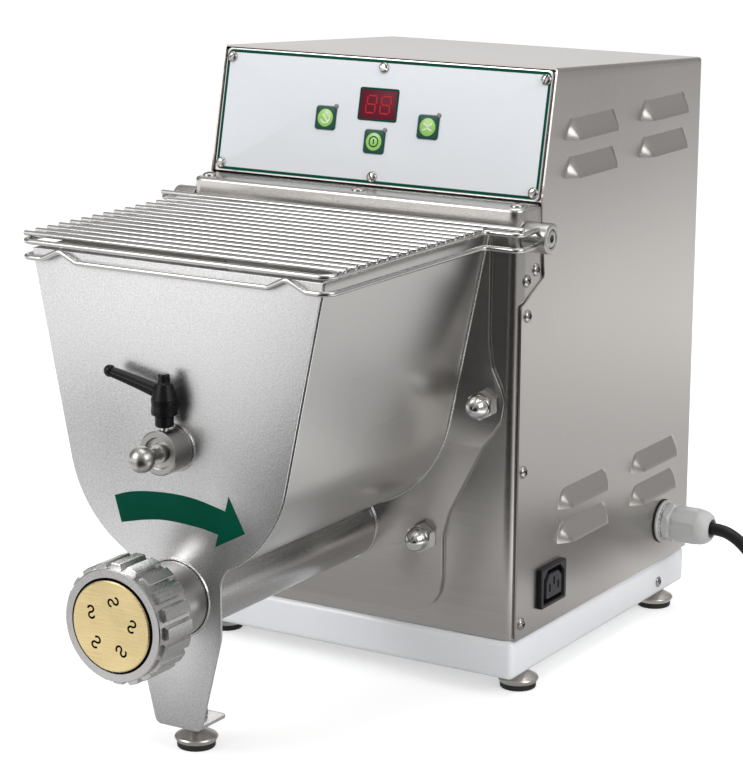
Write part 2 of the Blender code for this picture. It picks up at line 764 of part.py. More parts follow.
def merged(forms):
    """One form that holds the unmodified shapes of several, to cut or join with them all at once."""
    shell = bmesh.new()
    for form in forms:
        mesh = form.data.copy()
        mesh.transform(Matrix.LocRotScale(form.location, form.rotation_euler, None))
        shell.from_mesh(mesh)
        bpy.data.meshes.remove(mesh)
    parent = forms[0].parent
    for form in forms:
        bpy.data.objects.remove(form, do_unlink=True)
    mesh = bpy.data.meshes.new("merged")
    shell.to_mesh(mesh)
    shell.free()
    return new_form(mesh, parent=parent)


# Base slab and feet

def foot_places():
    """Name, place and stud height of each levelling foot."""
    stud_top = BASE_BOTTOM + STUD_DEPTH
    return {
        "foot_front_left": (-FOOT_SIDE, FOOT_FRONT, stud_top),
        "foot_front_right": (FOOT_SIDE, FOOT_FRONT, stud_top),
        "foot_back_left": (-FOOT_SIDE, FOOT_BACK, stud_top),
        "foot_back_right": (FOOT_SIDE, FOOT_BACK, stud_top),
        "foot_hopper_leg": (0.0, LEG_FOOT_Y, LEG_STUD_TOP),
    }


def make_base():
    """The moulded slab, with a blind hole for each foot's stud."""
    slab = box((-BASE_HALF_WIDTH, BASE_FRONT, BASE_BOTTOM), (BASE_HALF_WIDTH, BASE_BACK, BASE_TOP), BASE_EDGE)
    for x, y, stud_top in foot_places().values():
        if stud_top < BASE_TOP and y > BASE_FRONT:
            cut(slab, rod((x, y, BASE_BOTTOM - OVERRUN), (x, y, stud_top + GAP), STUD_RADIUS + GAP, 10))
    as_part(slab, "base_slab", "base_plastic")


def make_feet():
    """Five feet, each a rubber pad in a steel bell on a threaded stud."""
    for name, (x, y, stud_top) in foot_places().items():
        axis = new_frame(name + "_axis", (x, y, 0.0), MACHINE)
        profile = [
            (0.0, stud_top), (STUD_RADIUS, stud_top), (STUD_RADIUS, BELL_TOP), (BELL_NECK, BELL_TOP),
            (BELL_RADIUS, BELL_RIM), (BELL_RADIUS, PAD_HEIGHT), (PAD_RADIUS, PAD_HEIGHT), (PAD_RADIUS, 0.0),
            (0.0, 0.0),
        ]
        foot = turned(profile, (x, y, 0.0), "up", 14)
        if name == "foot_hopper_leg":
            seat = LEG_BOTTOM + FRONT_PLATE_DEPTH + GAP
            join(foot, rod((x, y, seat), (x, y, seat + LOCK_NUT_HEIGHT), LOCK_NUT_RADIUS, 6))
        as_part(foot, name, "foot_steel", axis)


# Casing

def louvre(side, front, sill, bulge, height, inner, low):
    """A stretched quarter ball with its lip down, the form of a louvre or of the space behind it."""
    shell = bmesh.new()
    bmesh.ops.create_uvsphere(shell, u_segments=8, v_segments=5, radius=1.0)
    bmesh.ops.rotate(shell, verts=shell.verts, matrix=Matrix.Rotation(math.pi / 2, 3, "X"))
    reach = LOUVRE_LENGTH / 2 - LOUVRE_HEIGHT
    for vert in shell.verts:
        stretch = math.copysign(reach, vert.co.y)
        vert.co = Vector((vert.co.x * bulge, vert.co.y * height + stretch, vert.co.z * height))
    bmesh.ops.bisect_plane(shell, geom=shell.verts[:] + shell.edges[:] + shell.faces[:],
                           plane_co=(0.0, 0.0, low), plane_no=(0.0, 0.0, -1.0), clear_outer=True)
    bmesh.ops.holes_fill(shell, edges=[edge for edge in shell.edges if edge.is_boundary])
    bmesh.ops.bisect_plane(shell, geom=shell.verts[:] + shell.edges[:] + shell.faces[:],
                           plane_co=(side * inner, 0.0, 0.0), plane_no=(-side, 0.0, 0.0), clear_outer=True)
    bmesh.ops.holes_fill(shell, edges=[edge for edge in shell.edges if edge.is_boundary])
    bmesh.ops.recalc_face_normals(shell, faces=shell.faces)
    mesh = bpy.data.meshes.new("louvre")
    shell.to_mesh(mesh)
    shell.free()
    return new_form(mesh, (side * COVER_HALF_WIDTH, front + LOUVRE_LENGTH / 2, sill))


def cover_solid(inset, front_past, back_past, low_past):
    """The cover's block, drawn in by a wall at the sides and top and run past its open faces."""
    drop = inset / math.cos(TOP_SLOPE)
    fall = math.tan(TOP_SLOPE)
    lean = math.tan(FASCIA_TILT)
    outline = [
        (COVER_FRONT - front_past, BASE_TOP + GAP - low_past), (COVER_FRONT - front_past, NOTCH_START),
        (NOTCH_DEEP_Y - front_past, NOTCH_DEEP_Z), (NOTCH_TOP_Y - front_past, NOTCH_TOP_Z),
        (FASCIA_FOOT_Y - front_past, NOTCH_TOP_Z + GAP),
        (FASCIA_HEAD_Y - front_past - drop * lean, COVER_FRONT_TOP - drop + front_past * fall),
        (COVER_BACK + back_past, COVER_BACK_TOP - drop - back_past * fall),
        (COVER_BACK + back_past, BASE_TOP + GAP - low_past),
    ]
    half = COVER_HALF_WIDTH - inset
    return plate([outline], -half, half, "YZ")


def fold_top_edges(cover):
    """Rounds the two long top edges as the sheet's folds do."""
    shell = bmesh.new()
    shell.from_mesh(cover.data)
    folds = []
    for edge in shell.edges:
        tops = [vert.co.y >= COVER_BACK_TOP - SINK for vert in edge.verts]
        if all(tops) and abs(edge.verts[0].co.z - edge.verts[1].co.z) < SINK:
            folds.append(edge)
    bmesh.ops.bevel(shell, geom=folds, offset=COVER_FOLD, segments=3, profile=0.5, affect="EDGES")
    shell.to_mesh(cover.data)
    shell.free()


def make_cover():
    """The folded cover with its louvres and the holes for the outlet and the gland."""
    cover = cover_solid(0.0, 0.0, 0.0, 0.0)
    fold_top_edges(cover)
    hollow = cover_solid(COVER_SHEET, OVERRUN, OVERRUN, OVERRUN)
    spots = [(side, front, sill) for side in (-1, 1) for front in (LOUVRE_FRONT, LOUVRE_SECOND)
             for sill in LOUVRE_SILLS]
    skins = [louvre(side, front, sill, LOUVRE_BULGE, LOUVRE_HEIGHT, -COVER_SHEET / 2, 0.0)
             for side, front, sill in spots]
    throats = [louvre(side, front, sill, LOUVRE_BULGE - COVER_SHEET, LOUVRE_HEIGHT - COVER_SHEET,
                      -COVER_SHEET - SINK, -LOUVRE_LIP) for side, front, sill in spots]
    outlet_hole = box((COVER_INNER - OVERRUN, OUTLET_Y - OUTLET_BODY_LENGTH / 2 - GAP,
                       OUTLET_Z - OUTLET_BODY_HEIGHT / 2 - GAP),
                      (COVER_HALF_WIDTH + OVERRUN, OUTLET_Y + OUTLET_BODY_LENGTH / 2 + GAP,
                       OUTLET_Z + OUTLET_BODY_HEIGHT / 2 + GAP))
    gland_hole = rod((COVER_INNER - OVERRUN, GLAND_Y, GLAND_Z), (COVER_HALF_WIDTH + OVERRUN, GLAND_Y, GLAND_Z),
                     GLAND_THREAD + GAP)
    cut(cover, hollow)
    join(cover, merged(skins))
    cut(cover, merged(throats), outlet_hole, gland_hole)
    as_part(cover, "casing_cover", "casing_steel")


def make_rear_panel():
    """The flat sheet that closes the casing behind."""
    fall = math.tan(TOP_SLOPE) * REAR_INSET
    top = COVER_BACK_TOP + fall - COVER_SHEET / math.cos(TOP_SLOPE) - GAP
    back = COVER_BACK - REAR_INSET
    panel = box((-PANEL_HALF_WIDTH, back - COVER_SHEET, BASE_TOP + GAP), (PANEL_HALF_WIDTH, back, top))
    as_part(panel, "rear_panel", "casing_steel")


def panel_outline(inset, reach):
    """The front panel's plan, drawn in by a wall and run on to a reach."""
    half = PANEL_HALF_WIDTH - inset
    corners = [(-half, reach), (-half, inset), (half, inset), (half, reach)]
    return filleted(corners, (0, PANEL_FOLD - inset, PANEL_FOLD - inset, 0), 4)


def make_front_panel():
    """The folded front panel: its face, its two flanges and the ledge under the fascia."""
    panel = plate([panel_outline(0.0, PANEL_REACH)], BASE_TOP + GAP, PANEL_TOP, "XY")
    hollow = plate([panel_outline(PANEL_SHEET, PANEL_REACH + OVERRUN)], BASE_TOP - OVERRUN,
                   PANEL_TOP - PANEL_SHEET, "XY")
    holes = [rod((0.0, -OVERRUN, z), (0.0, PANEL_SHEET + OVERRUN, z), radius + SHAFT_PLAY)
             for z, radius in ((MIXER_Z, MIXER_SHAFT), (BARREL_Z, AUGER_SHAFT))]
    holes += [rod((x, -OVERRUN, z), (x, PANEL_SHEET + OVERRUN, z), NUT_STUD_RADIUS + GAP, 10)
              for x, z in nut_places().values()]
    pivot = rod((-PANEL_HALF_WIDTH - OVERRUN, PIVOT_Y, PIVOT_Z), (PANEL_HALF_WIDTH + OVERRUN, PIVOT_Y, PIVOT_Z),
                PIVOT_SHANK + GAP, 12)
    cut(panel, hollow, merged(holes), pivot)
    as_part(panel, "front_panel", "casing_steel")


# Fascia, in its own slanted frame: x to the right, y into the casing, z up the slope

def fascia_frame_box(left, right, front, back, low, high, edge=0.0):
    """A box in the fascia's frame."""
    return box((left, front, low), (right, back, high), edge, 2, (0.0, 0.0, 0.0), FASCIA)


def make_fascia():
    """The slanted backing sheet and the printed control plate in front of it."""
    top_inner = FASCIA_LENGTH - (COVER_SHEET + GAP) / math.cos(TOP_SLOPE)
    margin = BACKING_BACK * math.tan(FASCIA_TILT + TOP_SLOPE) + GAP
    backing = fascia_frame_box(-PANEL_HALF_WIDTH, PANEL_HALF_WIDTH, BACKING_FRONT, BACKING_BACK, PANEL_SHEET,
                               top_inner - margin)
    window = fascia_frame_box(-BACKING_WINDOW_HALF_WIDTH, BACKING_WINDOW_HALF_WIDTH, BACKING_FRONT - OVERRUN,
                              BACKING_BACK + OVERRUN, FASCIA_LENGTH * BACKING_WINDOW_LOW_SHARE,
                              FASCIA_LENGTH * BACKING_WINDOW_HIGH_SHARE)
    as_part(cut(backing, window), "fascia_backing", "casing_steel")

    outline = [(-PLATE_HALF_WIDTH, PANEL_SHEET), (PLATE_HALF_WIDTH, PANEL_SHEET),
               (PLATE_HALF_WIDTH, FASCIA_LENGTH - PLATE_MARGIN), (-PLATE_HALF_WIDTH, FASCIA_LENGTH - PLATE_MARGIN)]
    display = [(DISPLAY_LEFT - GAP, DISPLAY_LOW - GAP), (DISPLAY_RIGHT + GAP, DISPLAY_LOW - GAP),
               (DISPLAY_RIGHT + GAP, DISPLAY_HIGH + GAP), (DISPLAY_LEFT - GAP, DISPLAY_HIGH + GAP)]
    openings = [button_outline(x, z, GAP) for x, z in BUTTON_PLACES.values()]
    control = plate([outline, display] + openings, PLATE_INSET, PLATE_INSET + PLATE_DEPTH, "XZ", FASCIA)
    as_part(control, "control_plate", "plate_print")

    window_pane = fascia_frame_box(DISPLAY_LEFT, DISPLAY_RIGHT, PLATE_INSET, PLATE_INSET + DISPLAY_DEPTH,
                                   DISPLAY_LOW, DISPLAY_HIGH)
    as_part(window_pane, "display_window", "display_red")


def button_outline(x, z, grow):
    """The rounded square of a button, or of the hole it moves in."""
    half = BUTTON_WIDTH / 2 + grow
    corners = [(x - half, z - half), (x + half, z - half), (x + half, z + half), (x - half, z + half)]
    return filleted(corners, [BUTTON_CORNER + grow] * 4, 2)


def make_buttons():
    """Three push buttons, each with a rim behind the plate and a stem towards its switch."""
    rim_front = PLATE_INSET + PLATE_DEPTH + GAP
    stem_back = SWITCH_FRONT - BUTTON_TRAVEL - GAP
    for name, (x, z) in BUTTON_PLACES.items():
        axis = new_frame(name + "_axis", (x, 0.0, z), FASCIA)
        key = plate([button_outline(x, z, 0.0)], -BUTTON_PROUD, rim_front + SINK, "XZ", FASCIA)
        rim = plate([button_outline(x, z, BUTTON_RIM)], rim_front, rim_front + BUTTON_RIM_DEPTH, "XZ", FASCIA)
        half = BUTTON_STEM / 2
        stem = fascia_frame_box(x - half, x + half, rim_front + SINK, stem_back, z - half, z + half)
        as_part(join(key, rim, stem), name, "button_green", axis)


def make_board():
    """The control board on four posts, with the display's block and a switch behind each button."""
    board = fascia_frame_box(-BOARD_HALF_WIDTH, BOARD_HALF_WIDTH, BOARD_FRONT, BOARD_FRONT + BOARD_DEPTH,
                             BOARD_LOW, BOARD_HIGH)
    digits = fascia_frame_box(DISPLAY_LEFT + SINK, DISPLAY_RIGHT - SINK, PLATE_INSET + DISPLAY_DEPTH + GAP,
                              BOARD_FRONT + SINK, DISPLAY_LOW + SINK, DISPLAY_HIGH - SINK)
    blocks = [digits]
    half = SWITCH_BLOCK / 2
    for x, z in BUTTON_PLACES.values():
        blocks.append(fascia_frame_box(x - half, x + half, SWITCH_FRONT, BOARD_FRONT + SINK, z - half, z + half))
    for x in (-BOARD_HALF_WIDTH + BOARD_POST_INSET, BOARD_HALF_WIDTH - BOARD_POST_INSET):
        for z in (BOARD_LOW + BOARD_POST_INSET, BOARD_HIGH - BOARD_POST_INSET):
            blocks.append(rod((x, BACKING_BACK + GAP, z), (x, BOARD_FRONT + SINK, z), BOARD_POST, 12,
                              parent=FASCIA))
    as_part(join(board, *blocks), "control_board", "board_green")


# Hopper

def hopper_half(inset, top):
    """The right half of the hopper's section, from under the axis up to a height, drawn in by a wall."""
    radius = HOPPER_RADIUS - inset
    side = (radius + (top - MIXER_Z) * math.sin(HOPPER_LEAN)) / math.cos(HOPPER_LEAN)
    return arc((0.0, MIXER_Z), radius, -math.pi / 2, -HOPPER_LEAN, 12) + [(side, top)]


def make_trough():
    """The bent trough, open above, with a slot over the barrel that stops short of the back plate."""
    outer = hopper_half(0.0, HOPPER_TOP)
    inner = hopper_half(HOPPER_WALL, HOPPER_TOP)
    left = [(-x, z) for x, z in outer[1:]]
    left_inner = [(-x, z) for x, z in inner[1:]]
    outline = left[::-1] + outer + inner[::-1] + left_inner
    trough = plate([outline], TROUGH_FRONT, TROUGH_BACK, "XZ")
    slot = rod((0.0, TROUGH_FRONT - OVERRUN, BARREL_Z), (0.0, TROUGH_BACK - TROUGH_BRIDGE, BARREL_Z),
               BARREL_RADIUS + GAP, 28)
    as_part(cut(trough, slot), "hopper_trough", "hopper_steel")


def front_plate_half():
    """The right half of the hopper's front plate, from the leg's foot up."""
    flare_x = LEG_HALF_WIDTH + LEG_FLARE
    span = HOPPER_RADIUS + LEG_FLARE
    flare_z = MIXER_Z - math.sqrt(span ** 2 - flare_x ** 2)
    join_angle = math.atan2(MIXER_Z - flare_z, -flare_x)
    lean_x = (HOPPER_RADIUS + (HOPPER_TOP - MIXER_Z) * math.sin(HOPPER_LEAN)) / math.cos(HOPPER_LEAN)
    flare = arc((flare_x, flare_z), LEG_FLARE, math.pi, join_angle, 5)
    bowl = arc((0.0, MIXER_Z), HOPPER_RADIUS, join_angle - math.pi, -HOPPER_LEAN, 8)
    foot = filleted([(0.0, LEG_BOTTOM), (LEG_FOOT_HALF_WIDTH, LEG_BOTTOM), (LEG_HALF_WIDTH, LEG_TAPER_TOP)],
                    (0, LEG_CORNER, 0), 3, closed=False)
    return [tuple(point) for point in foot[1:]] + flare + bowl[1:] + [(lean_x, HOPPER_TOP)]


def make_front_plate():
    """The front plate of the hopper, which runs down as the leg and folds back over the leg's foot."""
    face = plate([both_sides(front_plate_half())], FRONT_PLATE_FACE, FRONT_PLATE_BACK, "XZ")
    flange = box((-LEG_FLANGE_HALF_WIDTH, FRONT_PLATE_FACE + SINK, LEG_BOTTOM),
                 (LEG_FLANGE_HALF_WIDTH, LEG_FLANGE_END, LEG_BOTTOM + FRONT_PLATE_DEPTH))
    barrel_hole = rod((0.0, FRONT_PLATE_FACE - OVERRUN, BARREL_Z), (0.0, FRONT_PLATE_BACK + OVERRUN, BARREL_Z),
                      BARREL_RADIUS + GAP, 28)
    pin_hole = rod((0.0, FRONT_PLATE_FACE - OVERRUN, MIXER_Z), (0.0, FRONT_PLATE_BACK + OVERRUN, MIXER_Z),
                   PIN_RADIUS + GAP)
    stud_hole = rod((0.0, LEG_FOOT_Y, LEG_BOTTOM - OVERRUN),
                    (0.0, LEG_FOOT_Y, LEG_BOTTOM + FRONT_PLATE_DEPTH + OVERRUN), STUD_RADIUS + GAP, 16)
    join(face, flange)
    cut(face, barrel_hole, pin_hole, stud_hole)
    as_part(face, "hopper_front_plate", "hopper_steel")


def nut_places():
    """Name and place of each cap nut that holds the hopper."""
    return {
        "cap_nut_upper_left": (-CAP_NUT_SIDE, CAP_NUT_Z),
        "cap_nut_upper_right": (CAP_NUT_SIDE, CAP_NUT_Z),
        "cap_nut_lower_left": (-LOWER_NUT_SIDE, BARREL_Z),
        "cap_nut_lower_right": (LOWER_NUT_SIDE, BARREL_Z),
    }


def make_back_plate():
    """The back plate of the hopper, with ears for the cap nuts and holes for the two shafts."""
    height = HOPPER_TOP - BACK_PLATE_BOTTOM
    half = [(x * BACK_PLATE_HALF_WIDTH, BACK_PLATE_BOTTOM + z * height) for x, z in BACK_PLATE_OUTLINE_SHARES]
    holes = [circle((x, z), NUT_STUD_RADIUS + GAP, 10) for x, z in nut_places().values()]
    holes.append(circle((0.0, MIXER_Z), MIXER_SHAFT + SHAFT_PLAY, 16))
    holes.append(circle((0.0, BARREL_Z), AUGER_SHAFT + SHAFT_PLAY, 16))
    back = plate([both_sides(half)] + holes, BACK_PLATE_FACE, BACK_PLATE_BACK, "XZ")
    as_part(back, "hopper_back_plate", "hopper_steel")


def make_cap_nuts():
    """Four domed nuts on studs that reach through the plates into the chassis plate."""
    seat = -(BACK_PLATE_FACE - GAP)
    for name, (x, z) in nut_places().items():
        rise = [(NUT_DOME_RADIUS * math.cos(a), seat + NUT_HEIGHT + NUT_DOME_HEIGHT * math.sin(a))
                for a in (math.pi / 2 * step / 4 for step in range(4, -1, -1))]
        rise[0] = (0.0, seat + NUT_HEIGHT + NUT_DOME_HEIGHT)
        profile = rise + [(NUT_DOME_RADIUS, seat), (NUT_STUD_RADIUS, seat),
                          (NUT_STUD_RADIUS, GAP - CHASSIS_BACK), (0.0, GAP - CHASSIS_BACK)]
        nut = turned(profile, (x, 0.0, z), "front", 12)
        across_corners = NUT_ACROSS_FLATS / 2 / math.cos(math.pi / 6)
        hexagon = rod((x, -seat, z), (x, -seat - NUT_HEIGHT, z), across_corners, 6)
        as_part(join(nut, hexagon), name, "polished_steel")


# Barrel, die and ring nut

def make_barrel():
    """The auger's tube, opened above where the trough stands over it, and the collar on its end."""
    place = (0.0, 0.0, BARREL_Z)
    back, front = -TROUGH_BACK, -BARREL_END
    ring = [(BARREL_RADIUS, front), (BARREL_RADIUS, back), (BARREL_BORE, back), (BARREL_BORE, front)]
    barrel = turned(ring, place, "front", 28, ring=True)
    trough = rod((0.0, FRONT_PLATE_BACK, MIXER_Z), (0.0, TROUGH_BACK + OVERRUN, MIXER_Z), HOPPER_RADIUS + GAP, 48)
    as_part(cut(barrel, trough), "extrusion_barrel", "hopper_steel")

    face, heel, step = -COLLAR_FRONT, -COLLAR_BACK, -BARREL_END + GAP
    ring = [(COLLAR_RADIUS, face), (COLLAR_RADIUS, heel), (BARREL_RADIUS + GAP, heel),
            (BARREL_RADIUS + GAP, step), (BARREL_BORE, step), (COLLAR_MOUTH, face)]
    as_part(turned(ring, place, "front", 28, ring=True), "outlet_collar", "cast_aluminium")


def slot_outline():
    """One S-shaped slot standing upright: a centre line of two curls, given its width."""
    half = SLOT_HEIGHT / 2
    curl = SLOT_CURL
    line = [Vector((-curl, -half + curl / 2)), Vector((0.0, -half)), Vector((curl, -half / 2)),
            Vector((0.0, 0.0)), Vector((-curl, half / 2)), Vector((0.0, half)), Vector((curl, half - curl / 2))]
    sides = []
    for i, point in enumerate(line):
        way = (line[min(i + 1, len(line) - 1)] - line[max(i - 1, 0)]).normalized()
        sides.append((point, Vector((-way.y, way.x)) * SLOT_WIDTH / 2))
    return [point + out for point, out in sides] + [point - out for point, out in reversed(sides)]


def make_die():
    """The bronze die with its S-shaped slots and a feed hole behind each."""
    axis = new_frame("die_axis", (0.0, DIE_FACE, BARREL_Z), MACHINE)
    back = -(COLLAR_FRONT - GAP)
    step = back + DIE_FLANGE_DEPTH
    profile = [(0.0, -DIE_FACE), (DIE_RADIUS, -DIE_FACE), (DIE_RADIUS, step), (DIE_FLANGE_RADIUS, step),
               (DIE_FLANGE_RADIUS, back), (0.0, back)]
    die = turned(profile, (0.0, 0.0, BARREL_Z), "front", 32)
    slots, feeds = [], []
    for i in range(SLOT_COUNT):
        angle = SLOT_START + math.tau * i / SLOT_COUNT
        x, z = SLOT_CIRCLE * math.cos(angle), BARREL_Z + SLOT_CIRCLE * math.sin(angle)
        outline = [(x + point.x, z + point.y) for point in slot_outline()]
        slots.append(plate([outline], DIE_FACE - OVERRUN, DIE_FACE + SLOT_SKIN + SINK, "XZ"))
        feeds.append(rod((x, DIE_FACE + SLOT_SKIN, z), (x, COLLAR_FRONT + OVERRUN, z), FEED_RADIUS, 8))
    cut(die, merged(feeds), merged(slots))
    as_part(die, "extrusion_die", "die_bronze", axis)
    return axis


def ribbed_outline(tip, root, ribs):
    """The ring nut's outline of broad ribs."""
    points = []
    pitch = math.tau / ribs
    for i in range(ribs):
        for radius, share in ((root, -RIB_FOOT_SHARE), (tip, -RIB_TIP_SHARE), (tip, RIB_TIP_SHARE),
                              (root, RIB_FOOT_SHARE)):
            angle = (i + share) * pitch
            points.append((radius * math.sin(angle), BARREL_Z + radius * math.cos(angle)))
    return points


def make_ring_nut():
    """The ribbed ring nut, whose lip holds the die's flange against the collar."""
    axis = new_frame("ring_nut_axis", (0.0, NUT_RING_FRONT, BARREL_Z), MACHINE)
    ribs_front = NUT_RING_FRONT + NUT_RING_RIM
    nut = plate([ribbed_outline(NUT_RING_RADIUS, NUT_RING_ROOT, NUT_RING_RIBS)], ribs_front, NUT_RING_BACK, "XZ")
    rim = rod((0.0, NUT_RING_FRONT, BARREL_Z), (0.0, ribs_front + SINK, BARREL_Z), NUT_RING_ROOT + SINK, 28)
    lip_back = COLLAR_FRONT - GAP - DIE_FLANGE_DEPTH - GAP
    bore = rod((0.0, NUT_RING_BACK + OVERRUN, BARREL_Z), (0.0, lip_back, BARREL_Z), COLLAR_RADIUS + GAP, 28)
    mouth = rod((0.0, lip_back + OVERRUN, BARREL_Z), (0.0, NUT_RING_FRONT - OVERRUN, BARREL_Z), NUT_LIP_RADIUS, 28)
    join(nut, rim)
    cut(nut, bore, mouth)
    as_part(nut, "ring_nut", "cast_aluminium", axis)


# Hub, locking pin and clamp lever

def make_hub():
    """The hub on the hopper's front, bored for the pin and drilled from above for the clamp's stud."""
    seat, face = -(FRONT_PLATE_FACE - GAP), -HUB_FRONT
    bore = PIN_RADIUS + GAP
    ring = [(HUB_RADIUS, face), (HUB_RADIUS, seat), (bore, seat), (bore, face - HUB_RECESS_DEPTH),
            (HUB_RECESS, face - HUB_RECESS_DEPTH), (HUB_RECESS, face)]
    hub = turned(ring, (0.0, 0.0, MIXER_Z), "front", 24, ring=True)
    stud_hole = rod((0.0, CLAMP_Y, MIXER_Z), (0.0, CLAMP_Y, MIXER_Z + HUB_RADIUS + OVERRUN), CLAMP_STUD + GAP, 10)
    as_part(cut(hub, stud_hole), "shaft_hub", "polished_steel")


def make_pin():
    """The locking pin with its ball grip, which the mixing shaft's front end turns on."""
    axis = new_frame("ball_pin_axis", (0.0, BALL_Y, MIXER_Z), MACHINE)
    neck_angle = math.asin(PIN_NECK / BALL_RADIUS)
    angles = [neck_angle + (math.pi - neck_angle) * step / 7 for step in range(8)]
    grip = [(BALL_RADIUS * math.sin(a), -BALL_Y - BALL_RADIUS * math.cos(a)) for a in reversed(angles)]
    grip[0] = (0.0, -BALL_Y + BALL_RADIUS)
    profile = grip + [(PIN_NECK, -PIN_SHOULDER), (PIN_RADIUS, -PIN_SHOULDER), (PIN_RADIUS, -PIN_TIP),
                      (0.0, -PIN_TIP)]
    as_part(turned(profile, (0.0, 0.0, MIXER_Z), "front", 16), "ball_pin", "polished_steel", axis)


def make_clamp():
    """The clamp's stud and collar, and the black lever that lifts on the stud's core to be set anew."""
    axis = new_frame("clamp_axis", (0.0, CLAMP_Y, CLAMP_COLLAR_LOW), MACHINE)
    stud_low = MIXER_Z + PIN_RADIUS + GAP
    profile = [(0.0, CLAMP_CORE_TOP), (CLAMP_CORE, CLAMP_CORE_TOP), (CLAMP_CORE, CLAMP_COLLAR_HIGH),
               (CLAMP_COLLAR, CLAMP_COLLAR_HIGH), (CLAMP_COLLAR, CLAMP_COLLAR_LOW),
               (CLAMP_STUD, CLAMP_COLLAR_LOW), (CLAMP_STUD, stud_low), (0.0, stud_low)]
    as_part(turned(profile, (0.0, CLAMP_Y, 0.0), "up", 16), "clamp_stud", "polished_steel", axis)

    low = CLAMP_COLLAR_HIGH + GAP
    bore, bore_top = CLAMP_CORE + GAP, CLAMP_CORE_TOP + GAP
    profile = [(0.0, LEVER_CAP), (LEVER_CAP_RADIUS, LEVER_CAP), (LEVER_CAP_RADIUS, LEVER_TOP),
               (LEVER_TOP_RADIUS, LEVER_TOP), (LEVER_RADIUS, LEVER_SHOULDER), (LEVER_RADIUS, low), (bore, low),
               (bore, bore_top), (0.0, bore_top)]
    lever = turned(profile, (0.0, CLAMP_Y, 0.0), "up", 16)
    start = Vector((-LEVER_CAP_RADIUS, CLAMP_Y, LEVER_ARM_ROOT_Z))
    end = Vector((-LEVER_ARM_LENGTH, CLAMP_Y, LEVER_ARM_TIP_Z))
    arm = tube([start, end], LEVER_ARM_ROOT, 2, LEVER_ARM_TIP)
    tip = ball(end, LEVER_ARM_TIP, 10, 6)
    as_part(join(lever, arm, tip), "clamp_lever", "lever_black", axis)


# Wire lid

def boss_seat_y(wire_z):
    """Where a lid wire ends, a little way inside its boss."""
    return PIVOT_Y - math.sqrt(BOSS_RADIUS ** 2 - (wire_z - PIVOT_Z) ** 2) + WIRE_SEAT


def lid_path(z, front_points):
    """A lid wire from boss to boss: arms, outward bends, sides and its own front run."""
    end = boss_seat_y(z)
    right = [(ARM_HALF_WIDTH, end), (ARM_HALF_WIDTH, ARM_BEND_Y), (LID_HALF_WIDTH, ARM_BEND_Y),
             (LID_HALF_WIDTH, LID_FRONT)]
    corners = [(x, y, z) for x, y in right] + front_points + [(-x, y, z) for x, y in reversed(right)]
    radii = [0, ARM_BEND, ARM_BEND, LID_CORNER] + [HUMP_BEND] * len(front_points)
    radii += [LID_CORNER, ARM_BEND, ARM_BEND, 0]
    return filleted(corners, radii, 2, closed=False)


def make_lid():
    """The lid: an upper frame under its cross rods, a lower frame with two humps, and two pivot bosses."""
    axis = new_frame("lid_axis", (0.0, PIVOT_Y, PIVOT_Z), MACHINE)
    frame = tube(lid_path(LID_UPPER_Z, []), WIRE_RADIUS)
    rod_z = LID_UPPER_Z + 2 * WIRE_RADIUS - SINK
    rods = [rod((-ROD_HALF_LENGTH, ROD_FIRST + ROD_PITCH * i, rod_z),
                (ROD_HALF_LENGTH, ROD_FIRST + ROD_PITCH * i, rod_z), WIRE_RADIUS, 6) for i in range(ROD_COUNT)]
    rods.append(rod((-LONG_ROD_HALF_LENGTH, LONG_ROD_Y, rod_z), (LONG_ROD_HALF_LENGTH, LONG_ROD_Y, rod_z),
                    WIRE_RADIUS, 6))
    as_part(join(frame, merged(rods)), "lid_grille", "polished_steel", axis)

    hump_top = LID_UPPER_Z - 2 * WIRE_RADIUS - GAP
    humps = []
    for peak in (HUMP_PEAK, -HUMP_PEAK):
        humps += [(peak + HUMP_HALF_SPREAD, LID_FRONT, LID_LOWER_Z), (peak, LID_FRONT, hump_top),
                  (peak - HUMP_HALF_SPREAD, LID_FRONT, LID_LOWER_Z)]
    as_part(tube(lid_path(LID_LOWER_Z, humps), WIRE_RADIUS), "lid_lower_frame", "polished_steel", axis)
    for name, side, aim in (("left", -1, "left"), ("right", 1, "right")):
        make_boss(name, side, aim, axis)


